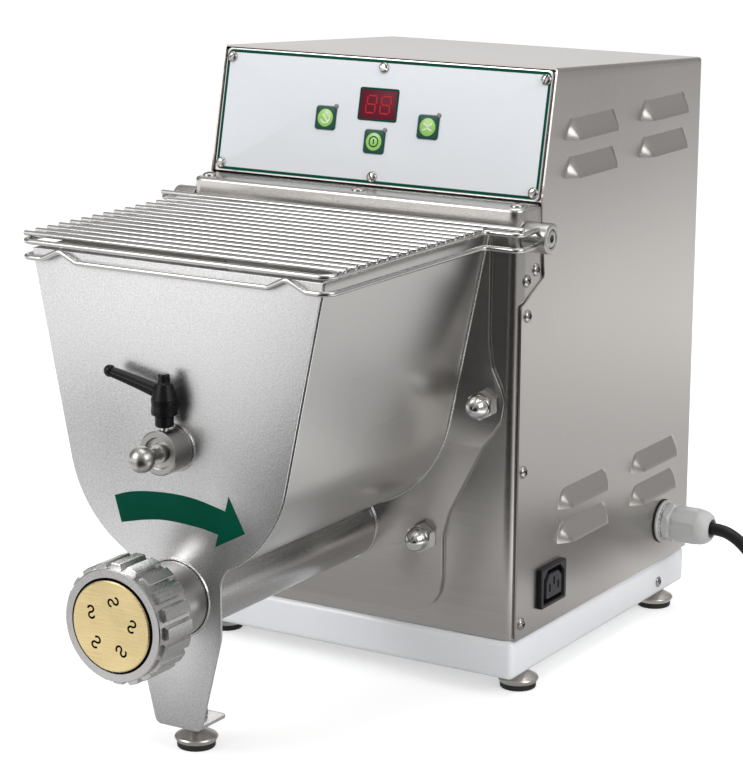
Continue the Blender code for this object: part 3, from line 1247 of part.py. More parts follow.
def make_boss(name, side, aim, axis):
    """A pivot boss with seats for the two lid wires, and the shoulder screw it turns on."""
    place = (0.0, PIVOT_Y, PIVOT_Z)
    inner = PANEL_HALF_WIDTH + GAP
    floor = BOSS_FACE - BOSS_RECESS_DEPTH
    bore = PIVOT_SHANK + GAP
    ring = [(BOSS_RADIUS - BOSS_EDGE, BOSS_FACE), (BOSS_RADIUS, BOSS_FACE - BOSS_EDGE), (BOSS_RADIUS, inner),
            (bore, inner), (bore, floor), (BOSS_RECESS, floor), (BOSS_RECESS, BOSS_FACE)]
    boss = turned(ring, place, aim, 18, ring=True)
    seats = [rod((side * ARM_HALF_WIDTH, boss_seat_y(z) + GAP, z),
                 (side * ARM_HALF_WIDTH, PIVOT_Y - BOSS_RADIUS - OVERRUN, z), WIRE_RADIUS + GAP, 8)
             for z in (LID_UPPER_Z, LID_LOWER_Z)]
    as_part(cut(boss, merged(seats)), "lid_boss_" + name, "polished_steel", axis)

    head_low, head_high = floor + GAP, BOSS_FACE - GAP
    nut_high = FLANGE_INNER - GAP - PIVOT_SPACER
    nut_low = nut_high - PIVOT_NUT_HEIGHT
    profile = [(0.0, head_high), (PIVOT_HEAD, head_high), (PIVOT_HEAD, head_low), (PIVOT_SHANK, head_low),
               (PIVOT_SHANK, nut_high), (PIVOT_NUT, nut_high), (PIVOT_NUT, nut_low), (0.0, nut_low)]
    screw = turned(profile, place, aim, 14)
    socket = rod((side * (head_high - PIVOT_SOCKET_DEPTH), PIVOT_Y, PIVOT_Z),
                 (side * (head_high + OVERRUN), PIVOT_Y, PIVOT_Z), PIVOT_SOCKET, 6)
    as_part(cut(screw, socket), "lid_pivot_screw_" + name, "polished_steel")


# Drive

def gear_outline(teeth, centre_z, gap_up):
    """A gear's outline of straight-flanked teeth, with a tooth or, if asked, a gap at its top."""
    pitch_radius = GEAR_MODULE * teeth / 2
    tip = pitch_radius + GEAR_MODULE * TOOTH_TIP_SHARE
    root = pitch_radius - GEAR_MODULE * TOOTH_ROOT_SHARE
    pitch = math.tau / teeth
    points = []
    for i in range(teeth):
        for radius, share in ((root, -TOOTH_FOOT_WIDTH_SHARE), (tip, -TOOTH_TIP_WIDTH_SHARE),
                              (tip, TOOTH_TIP_WIDTH_SHARE), (root, TOOTH_FOOT_WIDTH_SHARE)):
            angle = (i + (0.5 if gap_up else 0.0) + share / 2) * pitch
            points.append((radius * math.sin(angle), centre_z + radius * math.cos(angle)))
    return points


def make_gears():
    """The pinion, the mixer's gear and the auger's gear, each on its shaft."""
    pieces = {}
    tail = BOX_BACK - BOX_WALL - GAP
    mixer_axis = new_frame("mixer_axis", (0.0, GEAR_FRONT, MIXER_Z), MACHINE)
    auger_axis = new_frame("auger_axis", (0.0, GEAR_FRONT, BARREL_Z), MACHINE)
    pinion_axis = new_frame("pinion_axis", (0.0, GEAR_FRONT, MOTOR_Z), MACHINE)

    gear = plate([gear_outline(MIXER_TEETH, MIXER_Z, False)], GEAR_FRONT, GEAR_BACK, "XZ")
    shaft_end = PADDLE_BACK + GAP
    join(gear, rod((0.0, shaft_end, MIXER_Z), (0.0, GEAR_FRONT + SINK, MIXER_Z), MIXER_SHAFT),
         rod((0.0, GEAR_BACK - SINK, MIXER_Z), (0.0, tail, MIXER_Z), SHAFT_TAIL),
         rod((0.0, PADDLE_BACK - PADDLE_SOCKET + GAP, MIXER_Z), (0.0, shaft_end + SINK, MIXER_Z), TIP_RADIUS, 16))
    as_part(gear, "mixer_drive_gear", "gear_steel", mixer_axis)

    gear = plate([gear_outline(AUGER_TEETH, BARREL_Z, True)], GEAR_FRONT, GEAR_BACK, "XZ")
    shaft_end = AUGER_BACK + GAP
    join(gear, rod((0.0, shaft_end, BARREL_Z), (0.0, GEAR_FRONT + SINK, BARREL_Z), AUGER_SHAFT),
         rod((0.0, GEAR_BACK - SINK, BARREL_Z), (0.0, tail, BARREL_Z), SHAFT_TAIL),
         rod((0.0, AUGER_BACK - AUGER_SOCKET + GAP, BARREL_Z), (0.0, shaft_end + SINK, BARREL_Z),
             AUGER_TIP_RADIUS, 16))
    as_part(gear, "auger_drive_gear", "gear_steel", auger_axis)

    gear = plate([gear_outline(PINION_TEETH, MOTOR_Z, True)], GEAR_FRONT, GEAR_BACK, "XZ")
    join(gear, rod((0.0, GEAR_BACK - SINK, MOTOR_Z), (0.0, BOX_BACK + PINION_BORE_DEPTH, MOTOR_Z), PINION_SHAFT))
    as_part(gear, "drive_pinion", "gear_steel", pinion_axis)
    return mixer_axis, auger_axis


def make_chassis():
    """The chassis plate that carries the hopper and the shafts, and the two bearings in it."""
    bearings = (("mixer_bearing", MIXER_Z, MIXER_SHAFT), ("auger_bearing", BARREL_Z, AUGER_SHAFT))
    low = BASE_TOP + GAP
    chassis = box((-CHASSIS_HALF_WIDTH, CHASSIS_FRONT, low), (CHASSIS_HALF_WIDTH, CHASSIS_BACK, CHASSIS_TOP))
    foot = box((-CHASSIS_HALF_WIDTH, CHASSIS_BACK - SINK, low),
               (CHASSIS_HALF_WIDTH, CHASSIS_FOOT, low + CHASSIS_FOOT_HEIGHT))
    holes = [rod((0.0, CHASSIS_FRONT - OVERRUN, z), (0.0, CHASSIS_BACK + OVERRUN, z),
                 shaft + SHAFT_PLAY + BEARING_WALL + GAP) for name, z, shaft in bearings]
    holes += [rod((x, CHASSIS_FRONT - OVERRUN, z), (x, CHASSIS_BACK + OVERRUN, z), NUT_STUD_RADIUS + GAP, 10)
              for x, z in nut_places().values()]
    join(chassis, foot)
    cut(chassis, merged(holes))
    as_part(chassis, "chassis_plate", "gear_steel")
    for name, z, shaft in bearings:
        bore = shaft + GAP
        body = shaft + SHAFT_PLAY + BEARING_WALL
        ring = [(body, BEARING_BACK), (body, CHASSIS_FRONT - GAP), (body + BEARING_FLANGE, CHASSIS_FRONT - GAP),
                (body + BEARING_FLANGE, BEARING_FRONT), (bore, BEARING_FRONT), (bore, BEARING_BACK)]
        as_part(turned(ring, (0.0, 0.0, z), "back", 16, ring=True), name, "bearing_brass")


def make_gearbox_cover():
    """The gearbox cover, open towards the chassis plate, with a blind bush for each output shaft."""
    def outline(inset):
        half = BOX_HALF_WIDTH - inset
        low = BARREL_Z - GEAR_MODULE * AUGER_TEETH / 2 - BOX_MARGIN - GEAR_MODULE + inset
        high = MOTOR_Z + GEAR_MODULE * PINION_TEETH / 2 + BOX_MARGIN + GEAR_MODULE - inset
        corners = [(-half, low), (half, low), (half, high), (-half, high)]
        return filleted(corners, [BOX_CORNER - inset] * 4, 3)
    cover = plate([outline(0.0)], BOX_FRONT, BOX_BACK, "XZ")
    hollow = plate([outline(BOX_WALL)], BOX_FRONT - OVERRUN, BOX_BACK - BOX_WALL, "XZ")
    cut(cover, hollow)
    bosses = [rod((0.0, BOX_BOSS_FRONT, z), (0.0, BOX_BACK - SINK, z), BOX_BOSS) for z in (MIXER_Z, BARREL_Z)]
    bores = [rod((0.0, BOX_BOSS_FRONT - OVERRUN, z), (0.0, BOX_BACK - BOX_WALL, z), SHAFT_TAIL + GAP)
             for z in (MIXER_Z, BARREL_Z)]
    bores.append(rod((0.0, BOX_BACK - BOX_WALL - OVERRUN, MOTOR_Z), (0.0, BOX_BACK + OVERRUN, MOTOR_Z),
                     PINION_SHAFT + GAP))
    join(cover, merged(bosses))
    cut(cover, merged(bores))
    as_part(cover, "gearbox_cover", "cast_aluminium")


def make_motor():
    """The geared motor with its fan cover, the fan on its rear shaft and the saddle that it rests on."""
    front = BOX_BACK + GAP
    place = (0.0, 0.0, MOTOR_Z)
    profile = [(0.0, MOTOR_END), (FAN_COVER_RADIUS - FAN_COVER_WALL, MOTOR_END),
               (FAN_COVER_RADIUS - FAN_COVER_WALL, FAN_COVER_END), (FAN_COVER_RADIUS, FAN_COVER_END),
               (FAN_COVER_RADIUS, MOTOR_END), (MOTOR_RADIUS, MOTOR_END), (MOTOR_RADIUS, GEARHEAD_END),
               (GEARHEAD_RADIUS, GEARHEAD_END), (GEARHEAD_RADIUS, front), (0.0, front)]
    motor = turned(profile, place, "back", 18)
    pinion_bore = rod((0.0, front - OVERRUN, MOTOR_Z), (0.0, BOX_BACK + PINION_BORE_DEPTH + GAP, MOTOR_Z),
                      PINION_SHAFT + GAP)
    fan_bore = rod((0.0, MOTOR_END - FAN_SHAFT_DEPTH - GAP, MOTOR_Z), (0.0, MOTOR_END + OVERRUN, MOTOR_Z),
                   FAN_SHAFT + GAP)
    as_part(cut(motor, pinion_bore, fan_bore), "motor_body", "motor_enamel")

    axis = new_frame("fan_axis", (0.0, MOTOR_END, MOTOR_Z), MACHINE)
    profile = [(0.0, FAN_BACK), (FAN_HUB, FAN_BACK), (FAN_HUB, FAN_FRONT + FAN_DISC_DEPTH),
               (FAN_RADIUS, FAN_FRONT + FAN_DISC_DEPTH), (FAN_RADIUS, FAN_FRONT), (FAN_SHAFT, FAN_FRONT),
               (FAN_SHAFT, MOTOR_END - FAN_SHAFT_DEPTH), (0.0, MOTOR_END - FAN_SHAFT_DEPTH)]
    fan = turned(profile, place, "back", 16)
    blades = []
    for i in range(FAN_BLADES):
        angle = math.tau * i / FAN_BLADES
        way = Vector((math.sin(angle), 0.0, math.cos(angle)))
        middle = Vector((0.0, (FAN_FRONT + FAN_BACK) / 2, MOTOR_Z)) + way * (FAN_HUB + FAN_RADIUS - SINK) / 2
        half = Vector((FAN_BLADE_DEPTH, FAN_BACK - FAN_FRONT - FAN_DISC_DEPTH, FAN_RADIUS - FAN_HUB)) / 2
        blades.append(box(middle - half, middle + half, turn=(0.0, angle, 0.0)))
    as_part(join(fan, merged(blades)), "motor_fan", "lever_black", axis)

    low, high = BASE_TOP + GAP, MOTOR_Z - MOTOR_RADIUS - GAP
    half = [(SADDLE_FOOT_HALF_WIDTH, low), (SADDLE_FOOT_HALF_WIDTH, low + SADDLE_DEPTH),
            (SADDLE_WEB, low + SADDLE_DEPTH), (SADDLE_WEB, high - SADDLE_DEPTH),
            (SADDLE_HALF_WIDTH, high - SADDLE_DEPTH), (SADDLE_HALF_WIDTH, high)]
    as_part(plate([both_sides(half)], SADDLE_FRONT, SADDLE_BACK, "XZ"), "motor_saddle", "gear_steel")


# Mixing paddle and auger

def make_paddle(axis):
    """The mixing shaft with five arms and pitched blades, socketed for the drive and bored for the pin."""
    place = (0.0, 0.0, MIXER_Z)
    back, front = -PADDLE_BACK, -PADDLE_FRONT
    shaft = turned([(0.0, front), (PADDLE_SHAFT, front), (PADDLE_SHAFT, back), (0.0, back)], place, "front", 18)
    arms, blades = [], []
    for i in range(ARM_COUNT):
        angle = ARM_START + math.tau * 2 * i / ARM_COUNT
        y = ARM_FIRST + (ARM_LAST - ARM_FIRST) * i / (ARM_COUNT - 1)
        way = Vector((math.sin(angle), 0.0, math.cos(angle)))
        middle = Vector((0.0, y, MIXER_Z))
        arms.append(rod(middle + way * SINK, middle + way * ARM_REACH, ARM_RADIUS, 8))
        centre = middle + way * (BLADE_REACH - BLADE_DEPTH / 2)
        half = Vector((BLADE_THICKNESS, BLADE_LENGTH, BLADE_DEPTH)) / 2
        turn = Matrix.Rotation(angle, 3, "Y") @ Matrix.Rotation(BLADE_PITCH, 3, "Z")
        blades.append(box(centre - half, centre + half, turn=turn.to_euler()))
    socket = rod((0.0, PADDLE_BACK + OVERRUN, MIXER_Z), (0.0, PADDLE_BACK - PADDLE_SOCKET, MIXER_Z),
                 TIP_RADIUS + GAP, 16)
    pin_bore = rod((0.0, PADDLE_FRONT - OVERRUN, MIXER_Z), (0.0, PADDLE_FRONT + PIN_BORE_DEPTH, MIXER_Z),
                   PIN_RADIUS + GAP)
    join(shaft, merged(arms), merged(blades))
    cut(shaft, socket, pin_bore)
    as_part(shaft, "mixing_paddle", "paddle_steel", axis)


def flight_form():
    """The auger's screw flight: a bar's section carried along a helix and closed at both ends."""
    turns = (FLIGHT_START - AUGER_NOSE - FLIGHT_THICKNESS) / FLIGHT_PITCH
    steps = round(turns * FLIGHT_STEPS)
    shares = np.linspace(0.0, 1.0, steps + 1)
    angles = shares * turns * math.tau
    along = FLIGHT_START - shares * turns * FLIGHT_PITCH
    inner = AUGER_CORE - SINK * 2
    corners = ((inner, 0.0), (AUGER_RADIUS, 0.0), (AUGER_RADIUS, FLIGHT_THICKNESS), (inner, FLIGHT_THICKNESS))
    rows = [np.stack([radius * np.sin(angles), along - shift, radius * np.cos(angles)], axis=1)
            for radius, shift in corners]
    points = np.stack(rows, axis=1).reshape(-1, 3)
    faces = [(0, 1, 2, 3), tuple(4 * steps + k for k in (3, 2, 1, 0))]
    for i in range(steps):
        for k in range(4):
            after = (k + 1) % 4
            faces.append((4 * i + k, 4 * (i + 1) + k, 4 * (i + 1) + after, 4 * i + after))
    shell = bmesh.new()
    mesh = bpy.data.meshes.new("flight")
    mesh.from_pydata(points.tolist(), [], faces)
    shell.from_mesh(mesh)
    bmesh.ops.recalc_face_normals(shell, faces=shell.faces)
    shell.to_mesh(mesh)
    shell.free()
    return new_form(mesh, (0.0, 0.0, BARREL_Z))


def make_auger(axis):
    """The auger: a core with a tapered nose, a screw flight and a socket for the drive."""
    profile = [(0.0, -AUGER_TIP), (AUGER_NOSE_RADIUS, -AUGER_TIP), (AUGER_CORE, -AUGER_NOSE),
               (AUGER_CORE, -AUGER_BACK), (0.0, -AUGER_BACK)]
    core = turned(profile, (0.0, 0.0, BARREL_Z), "front", 12)
    socket = rod((0.0, AUGER_BACK + OVERRUN, BARREL_Z), (0.0, AUGER_BACK - AUGER_SOCKET, BARREL_Z),
                 AUGER_TIP_RADIUS + GAP, 16)
    join(core, flight_form())
    cut(core, socket)
    as_part(core, "auger", "paddle_steel", axis)


# Electrical pieces

def make_outlet():
    """The appliance outlet: a flange on the cover, a body through it, a moat round its insert and three slots."""
    y, z = OUTLET_Y, OUTLET_Z
    seat = COVER_HALF_WIDTH + GAP
    face = seat + OUTLET_PROUD

    def block(start, end, length, height):
        return box((start, y - length / 2, z - height / 2), (end, y + length / 2, z + height / 2))
    outlet = block(seat, face, OUTLET_LENGTH, OUTLET_HEIGHT)
    body = block(face - OUTLET_PROUD - OUTLET_BODY_DEPTH, seat + SINK, OUTLET_BODY_LENGTH, OUTLET_BODY_HEIGHT)
    moat = block(face - OUTLET_MOAT_DEPTH, face + OVERRUN, OUTLET_MOAT_LENGTH, OUTLET_MOAT_HEIGHT)
    insert = block(face - OUTLET_MOAT_DEPTH - SINK, face, OUTLET_MOAT_LENGTH - 2 * OUTLET_MOAT_WIDTH,
                   OUTLET_MOAT_HEIGHT - 2 * OUTLET_MOAT_WIDTH)
    slots = []
    for shift, rise in ((-OUTLET_SLOT_SPREAD, -OUTLET_SLOT_RISE / 2), (0.0, OUTLET_SLOT_RISE),
                        (OUTLET_SLOT_SPREAD, -OUTLET_SLOT_RISE / 2)):
        half_y, half_z = OUTLET_SLOT_WIDTH / 2, OUTLET_SLOT_HEIGHT / 2
        slots.append(box((face - OUTLET_SLOT_DEPTH, y + shift - half_y, z + rise - half_z),
                         (face + OVERRUN, y + shift + half_y, z + rise + half_z)))
    join(outlet, body)
    cut(outlet, moat)
    join(outlet, insert)
    cut(outlet, merged(slots))
    as_part(outlet, "power_outlet", "outlet_black")


def gland_inner_end():
    """Where the gland's thread ends inside the casing."""
    return COVER_HALF_WIDTH - GLAND_REACH_IN


def make_gland():
    """The cable gland: washer, hexagon body, neck, domed cap, and the thread and lock nut inside."""
    y, z = GLAND_Y, GLAND_Z
    seat = COVER_HALF_WIDTH + GAP
    lock = COVER_INNER - GAP
    nut_start = COVER_HALF_WIDTH + GLAND_NUT_OUT
    cap_start = COVER_HALF_WIDTH + GLAND_CAP_OUT
    cap_end = cap_start + GLAND_CAP_LENGTH
    dome_end = cap_end + GLAND_DOME_LENGTH
    profile = [(0.0, dome_end), (GLAND_MOUTH, dome_end), (GLAND_NECK, cap_end),
               (GLAND_NECK, seat + GLAND_WASHER_DEPTH), (GLAND_WASHER, seat + GLAND_WASHER_DEPTH),
               (GLAND_WASHER, seat), (GLAND_THREAD, seat), (GLAND_THREAD, gland_inner_end()),
               (0.0, gland_inner_end())]
    gland = turned(profile, (0.0, y, z), "right", 16)
    body = rod((nut_start, y, z), (nut_start + GLAND_NUT_LENGTH, y, z), GLAND_NUT, 6)
    cap = rod((cap_start, y, z), (cap_end, y, z), GLAND_CAP, 12)
    nut = rod((lock - GLAND_LOCK_DEPTH, y, z), (lock, y, z), GLAND_LOCK_NUT, 6)
    as_part(join(gland, body, cap, nut), "cable_gland", "gland_grey")


def make_inner_pieces():
    """What the casing holds beside the drive: terminal box and its lead, capacitor and lid switch."""
    floor = BASE_TOP + GAP
    terminal = box((TERMINAL_INNER, GLAND_Y - TERMINAL_HALF_DEPTH, floor),
                   (TERMINAL_OUTER, GLAND_Y + TERMINAL_HALF_DEPTH, TERMINAL_TOP), TERMINAL_EDGE, 1)
    as_part(terminal, "terminal_box", "lever_black")
    inner_lead = rod((gland_inner_end() - GAP, GLAND_Y, GLAND_Z), (TERMINAL_OUTER + GAP, GLAND_Y, GLAND_Z),
                     LEAD_RADIUS, 12)
    as_part(inner_lead, "inner_lead", "lead_rubber")
    profile = [(0.0, CAPACITOR_TOP + CAPACITOR_TAG_HEIGHT), (CAPACITOR_TAG, CAPACITOR_TOP + CAPACITOR_TAG_HEIGHT),
               (CAPACITOR_TAG, CAPACITOR_TOP), (CAPACITOR_RADIUS - CAPACITOR_EDGE, CAPACITOR_TOP),
               (CAPACITOR_RADIUS, CAPACITOR_TOP - CAPACITOR_EDGE), (CAPACITOR_RADIUS, floor), (0.0, floor)]
    as_part(turned(profile, (CAPACITOR_X, CAPACITOR_Y, 0.0), "up", 18), "run_capacitor", "cast_aluminium")
    wall = FLANGE_INNER - GAP
    switch = box((wall - SWITCH_BOX_DEPTH, SWITCH_BOX_FRONT, SWITCH_BOX_HIGH - SWITCH_BOX_HEIGHT),
                 (wall, SWITCH_BOX_BACK, SWITCH_BOX_HIGH))
    as_part(switch, "lid_switch", "lever_black")


# Supply lead

def smooth_route(points, step):
    """Evenly spaced points of a smooth curve through the route's own points."""
    route = np.array(points)
    ends = np.vstack([2 * route[0] - route[1], route, 2 * route[-1] - route[-2]])
    shares = np.linspace(0.0, 1.0, 16, endpoint=False)[:, None]
    fine = []
    for before, start, end, after in zip(ends, ends[1:], ends[2:], ends[3:]):
        curve = 2 * start + (end - before) * shares
        curve = curve + (2 * before - 5 * start + 4 * end - after) * shares ** 2
        curve = curve + (3 * start - before - 3 * end + after) * shares ** 3
        fine.append(curve / 2)
    line = np.vstack(fine + [route[-1:]])
    along = np.concatenate([[0.0], np.cumsum(np.linalg.norm(np.diff(line, axis=0), axis=1))])
    count = max(2, round(along[-1] / step))
    marks = np.linspace(0.0, along[-1], count + 1)
    return np.stack([np.interp(marks, along, line[:, k]) for k in range(3)], axis=1), along[-1]


def coil_line():
    """The coil: it winds in on the floor, climbs as the spiral reverses, winds out, and rises to the plug."""
    low = COIL_FLOOR + LEAD_RADIUS
    count = round(2 * COIL_HALF_TURNS * COIL_POINTS)
    turns = np.linspace(-COIL_HALF_TURNS, COIL_HALF_TURNS, count + 1)
    radius = COIL_OUTER - COIL_STEP * (COIL_HALF_TURNS - np.abs(turns))
    angle = -math.pi / 2 + math.tau * (turns + COIL_HALF_TURNS)
    climb = np.clip(turns / COIL_CLIMB_TURNS + 0.5, 0.0, 1.0)
    lift = np.clip((turns - COIL_HALF_TURNS) / COIL_LIFT_TURNS + 1.0, 0.0, 1.0)
    lift = lift * lift * (3.0 - 2.0 * lift)
    height = low + COIL_STEP * climb + (PLUG_AXIS_Z - low - COIL_STEP) * lift
    loops = np.stack([COIL_X + radius * np.cos(angle), COIL_Y + radius * np.sin(angle), height], axis=1)
    lead_in = loops[0] - (2 * LEAD_RADIUS, 0.0, 0.0)
    tail = loops[-1] - (TAIL_LENGTH, 0.0, 0.0)
    return np.vstack([lead_in, loops, tail])


def least_gap(line, radius):
    """The least gap between stretches of a wound tube that lie at least half a turn apart."""
    near = COIL_POINTS // 2
    gaps = [np.linalg.norm(line[i + near:] - line[i], axis=1).min() for i in range(len(line) - near)]
    return min(gaps) - 2 * radius


def make_lead():
    """The lead from the gland to the floor, the coil of its spare length, its plug and its tie."""
    route = [(COVER_HALF_WIDTH + out, y, z) for out, y, z in LEAD_ROUTE]
    points, length = smooth_route(route, LEAD_STEP)
    straight = np.array((LEAD_STRAIGHT, 0.0, 0.0))
    points = np.vstack([points[0] - straight, points, points[-1] + straight])
    as_part(tube(points, LEAD_RADIUS, 2), "cord_run", "lead_rubber")
    line = coil_line()
    wound = float(np.linalg.norm(np.diff(line, axis=0), axis=1).sum())
    print("lead length in metres:", round(length + 2 * LEAD_STRAIGHT + wound, 3))
    print("least gap of the coil to itself in metres:", round(float(least_gap(line, LEAD_RADIUS)), 5))
    as_part(tube(line, LEAD_RADIUS, 1), "cord_coil", "lead_rubber")

    relief_end = PLUG_RELIEF_LENGTH
    body_end = relief_end + PLUG_BODY_LENGTH
    profile = [(0.0, body_end), (PLUG_RADIUS - PLUG_EDGE, body_end), (PLUG_RADIUS, body_end - PLUG_EDGE),
               (PLUG_RADIUS, relief_end + PLUG_EDGE * 2), (PLUG_RELIEF_END_RADIUS, relief_end),
               (PLUG_RELIEF_RADIUS, 0.0), (0.0, 0.0)]
    plug_y = float(line[-1][1])
    plug = turned(profile, (PLUG_START, plug_y, PLUG_AXIS_Z), "left", 18)
    pins = [rod((PLUG_START - body_end + SINK, plug_y + shift, PLUG_AXIS_Z),
                (PLUG_START - body_end - PLUG_PIN_LENGTH, plug_y + shift, PLUG_AXIS_Z), PLUG_PIN_RADIUS, 8)
            for shift in (-PLUG_PIN_SPREAD, PLUG_PIN_SPREAD)]
    as_part(join(plug, merged(pins)), "plug", "lead_rubber")

    inner = COIL_OUTER - COIL_STEP * COIL_HALF_TURNS - LEAD_RADIUS - SHAFT_PLAY
    outer = COIL_OUTER - COIL_STEP * (COIL_HALF_TURNS % 1) + LEAD_RADIUS + SHAFT_PLAY
    low = COIL_FLOOR - SHAFT_PLAY
    high = COIL_FLOOR + COIL_STEP + 2 * LEAD_RADIUS + SHAFT_PLAY

    def band(grow):
        corners = [(COIL_X + inner - grow, low - grow), (COIL_X + outer + grow, low - grow),
                   (COIL_X + outer + grow, high + grow), (COIL_X + inner - grow, high + grow)]
        return filleted(corners, [TIE_CORNER if grow else TIE_INNER_CORNER] * 4, 2)
    tie = plate([band(TIE_THICKNESS), band(0.0)], COIL_Y - TIE_WIDTH / 2, COIL_Y + TIE_WIDTH / 2, "XZ")
    as_part(tie, "coil_tie", "lever_black")


def main():
    """Builds every piece of the machine."""
    make_base()
    make_feet()
    make_cover()
    make_rear_panel()
    make_front_panel()
    make_fascia()
    make_buttons()
    make_board()
    make_trough()
    make_front_plate()
    make_back_plate()
    make_cap_nuts()
    make_barrel()
    make_die()
    make_ring_nut()
    make_hub()
    make_pin()
    make_clamp()
    make_lid()
    mixer_axis, auger_axis = make_gears()
    make_chassis()
    make_gearbox_cover()
    make_motor()
    make_paddle(mixer_axis)
    make_auger(auger_axis)
    make_outlet()
    make_gland()
    make_inner_pieces()
    make_lead()


main()
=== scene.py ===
"""Visual model of an electric pasta maker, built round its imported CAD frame.

Lengths are metres. The machine is drawn with the front panel's face at y = 0, the object's front towards -Y,
and every mesh is moved by MACHINE_Y into the frame's place when it is made.
"""

from __future__ import annotations

import json
import logging
import math
from dataclasses import dataclass
from enum import Enum
from typing import Sequence

import bmesh
import bpy
import numpy as np
from mathutils import Matrix, Vector

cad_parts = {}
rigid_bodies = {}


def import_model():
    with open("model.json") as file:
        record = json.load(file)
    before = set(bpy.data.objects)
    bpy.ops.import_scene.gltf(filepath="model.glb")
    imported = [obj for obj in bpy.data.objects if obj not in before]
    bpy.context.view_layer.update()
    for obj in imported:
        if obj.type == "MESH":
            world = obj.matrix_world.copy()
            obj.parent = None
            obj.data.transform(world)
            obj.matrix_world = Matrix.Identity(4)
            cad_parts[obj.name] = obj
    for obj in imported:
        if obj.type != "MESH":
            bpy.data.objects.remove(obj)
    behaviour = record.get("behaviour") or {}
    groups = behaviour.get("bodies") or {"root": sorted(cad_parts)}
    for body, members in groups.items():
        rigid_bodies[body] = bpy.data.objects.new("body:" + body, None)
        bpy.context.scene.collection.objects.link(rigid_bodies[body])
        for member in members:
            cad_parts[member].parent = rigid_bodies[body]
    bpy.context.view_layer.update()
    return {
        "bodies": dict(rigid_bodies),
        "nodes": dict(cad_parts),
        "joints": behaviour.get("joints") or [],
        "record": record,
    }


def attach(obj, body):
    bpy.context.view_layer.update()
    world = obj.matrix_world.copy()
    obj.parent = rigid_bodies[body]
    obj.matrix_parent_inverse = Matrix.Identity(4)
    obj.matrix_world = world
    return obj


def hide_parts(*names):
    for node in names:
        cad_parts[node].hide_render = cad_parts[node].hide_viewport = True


log = logging.getLogger("pasta_maker")

MACHINE_Y = 0.00115
WELD = 1e-6
TAU = math.tau
Points = np.ndarray
Spot = tuple[float, float, float]
Profile = tuple[tuple[float, float], ...]


class Body(Enum):
    """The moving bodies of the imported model."""

    ROOT = "root"
    LID = "lid"
    DIE = "die"
    RING_NUT = "ring_nut"
    CLAMP_STUD = "clamp_stud"
    CLAMP_LEVER = "clamp_lever"
    BALL_PIN = "ball_pin"
    MIXER = "mixer"
    AUGER = "auger"
    FOOT_FRONT_LEFT = "foot_front_left"
    FOOT_FRONT_RIGHT = "foot_front_right"
    FOOT_BACK_LEFT = "foot_back_left"
    FOOT_BACK_RIGHT = "foot_back_right"
    FOOT_HOPPER_LEG = "foot_hopper_leg"
    BUTTON_MIX = "button_mix"
    BUTTON_POWER = "button_power"
    BUTTON_EXTRUDE = "button_extrude"


class Slot(Enum):
    """The record's material slots."""

    CASING = "casing_steel"
    HOPPER = "hopper_steel"
    POLISHED = "polished_steel"
    CAST = "cast_aluminium"
    BRONZE = "die_bronze"
    BASE = "base_plastic"
    PRINT = "plate_print"
    BUTTON = "button_green"
    DISPLAY = "display_red"
    LEVER = "lever_black"
    GLAND = "gland_grey"
    OUTLET = "outlet_black"
    LEAD = "lead_rubber"
    FOOT = "foot_steel"
    GEAR = "gear_steel"
    MOTOR = "motor_enamel"
    BEARING = "bearing_brass"
    BOARD = "board_green"
    PADDLE = "paddle_steel"


class Drive(Enum):
    """The recess in a screw's head."""

    SLOTTED = "slotted"
    CROSS = "cross"
    HEX = "hex"


# Places and surfaces


@dataclass(frozen=True)
class Place:
    """An origin with three unit directions, into which a shape's own x, y and z are turned."""

    origin: Spot
    x: Spot = (1.0, 0.0, 0.0)
    y: Spot = (0.0, 1.0, 0.0)
    z: Spot = (0.0, 0.0, 1.0)

    def put(self, points: Points) -> Points:
        """Moves points: the origin plus each coordinate times its direction."""
        return np.asarray(self.origin) + points @ np.array([self.x, self.y, self.z])


def upright(x: float, y: float, z: float) -> Place:
    """A place whose axis points up."""
    return Place((x, y, z))


def frontward(x: float, y: float, z: float) -> Place:
    """A place whose axis points to the front, with its y upwards."""
    return Place((x, y, z), (1.0, 0.0, 0.0), (0.0, 0.0, 1.0), (0.0, -1.0, 0.0))


def backward(x: float, y: float, z: float) -> Place:
    """A place whose axis points to the back, with its y upwards."""
    return Place((x, y, z), (-1.0, 0.0, 0.0), (0.0, 0.0, 1.0), (0.0, 1.0, 0.0))


def sideways(side: int, x: float, y: float, z: float) -> Place:
    """A place whose axis points to the right for side 1 and to the left for side -1, with its y upwards."""
    return Place((x, y, z), (0.0, float(side), 0.0), (0.0, 0.0, 1.0), (float(side), 0.0, 0.0))


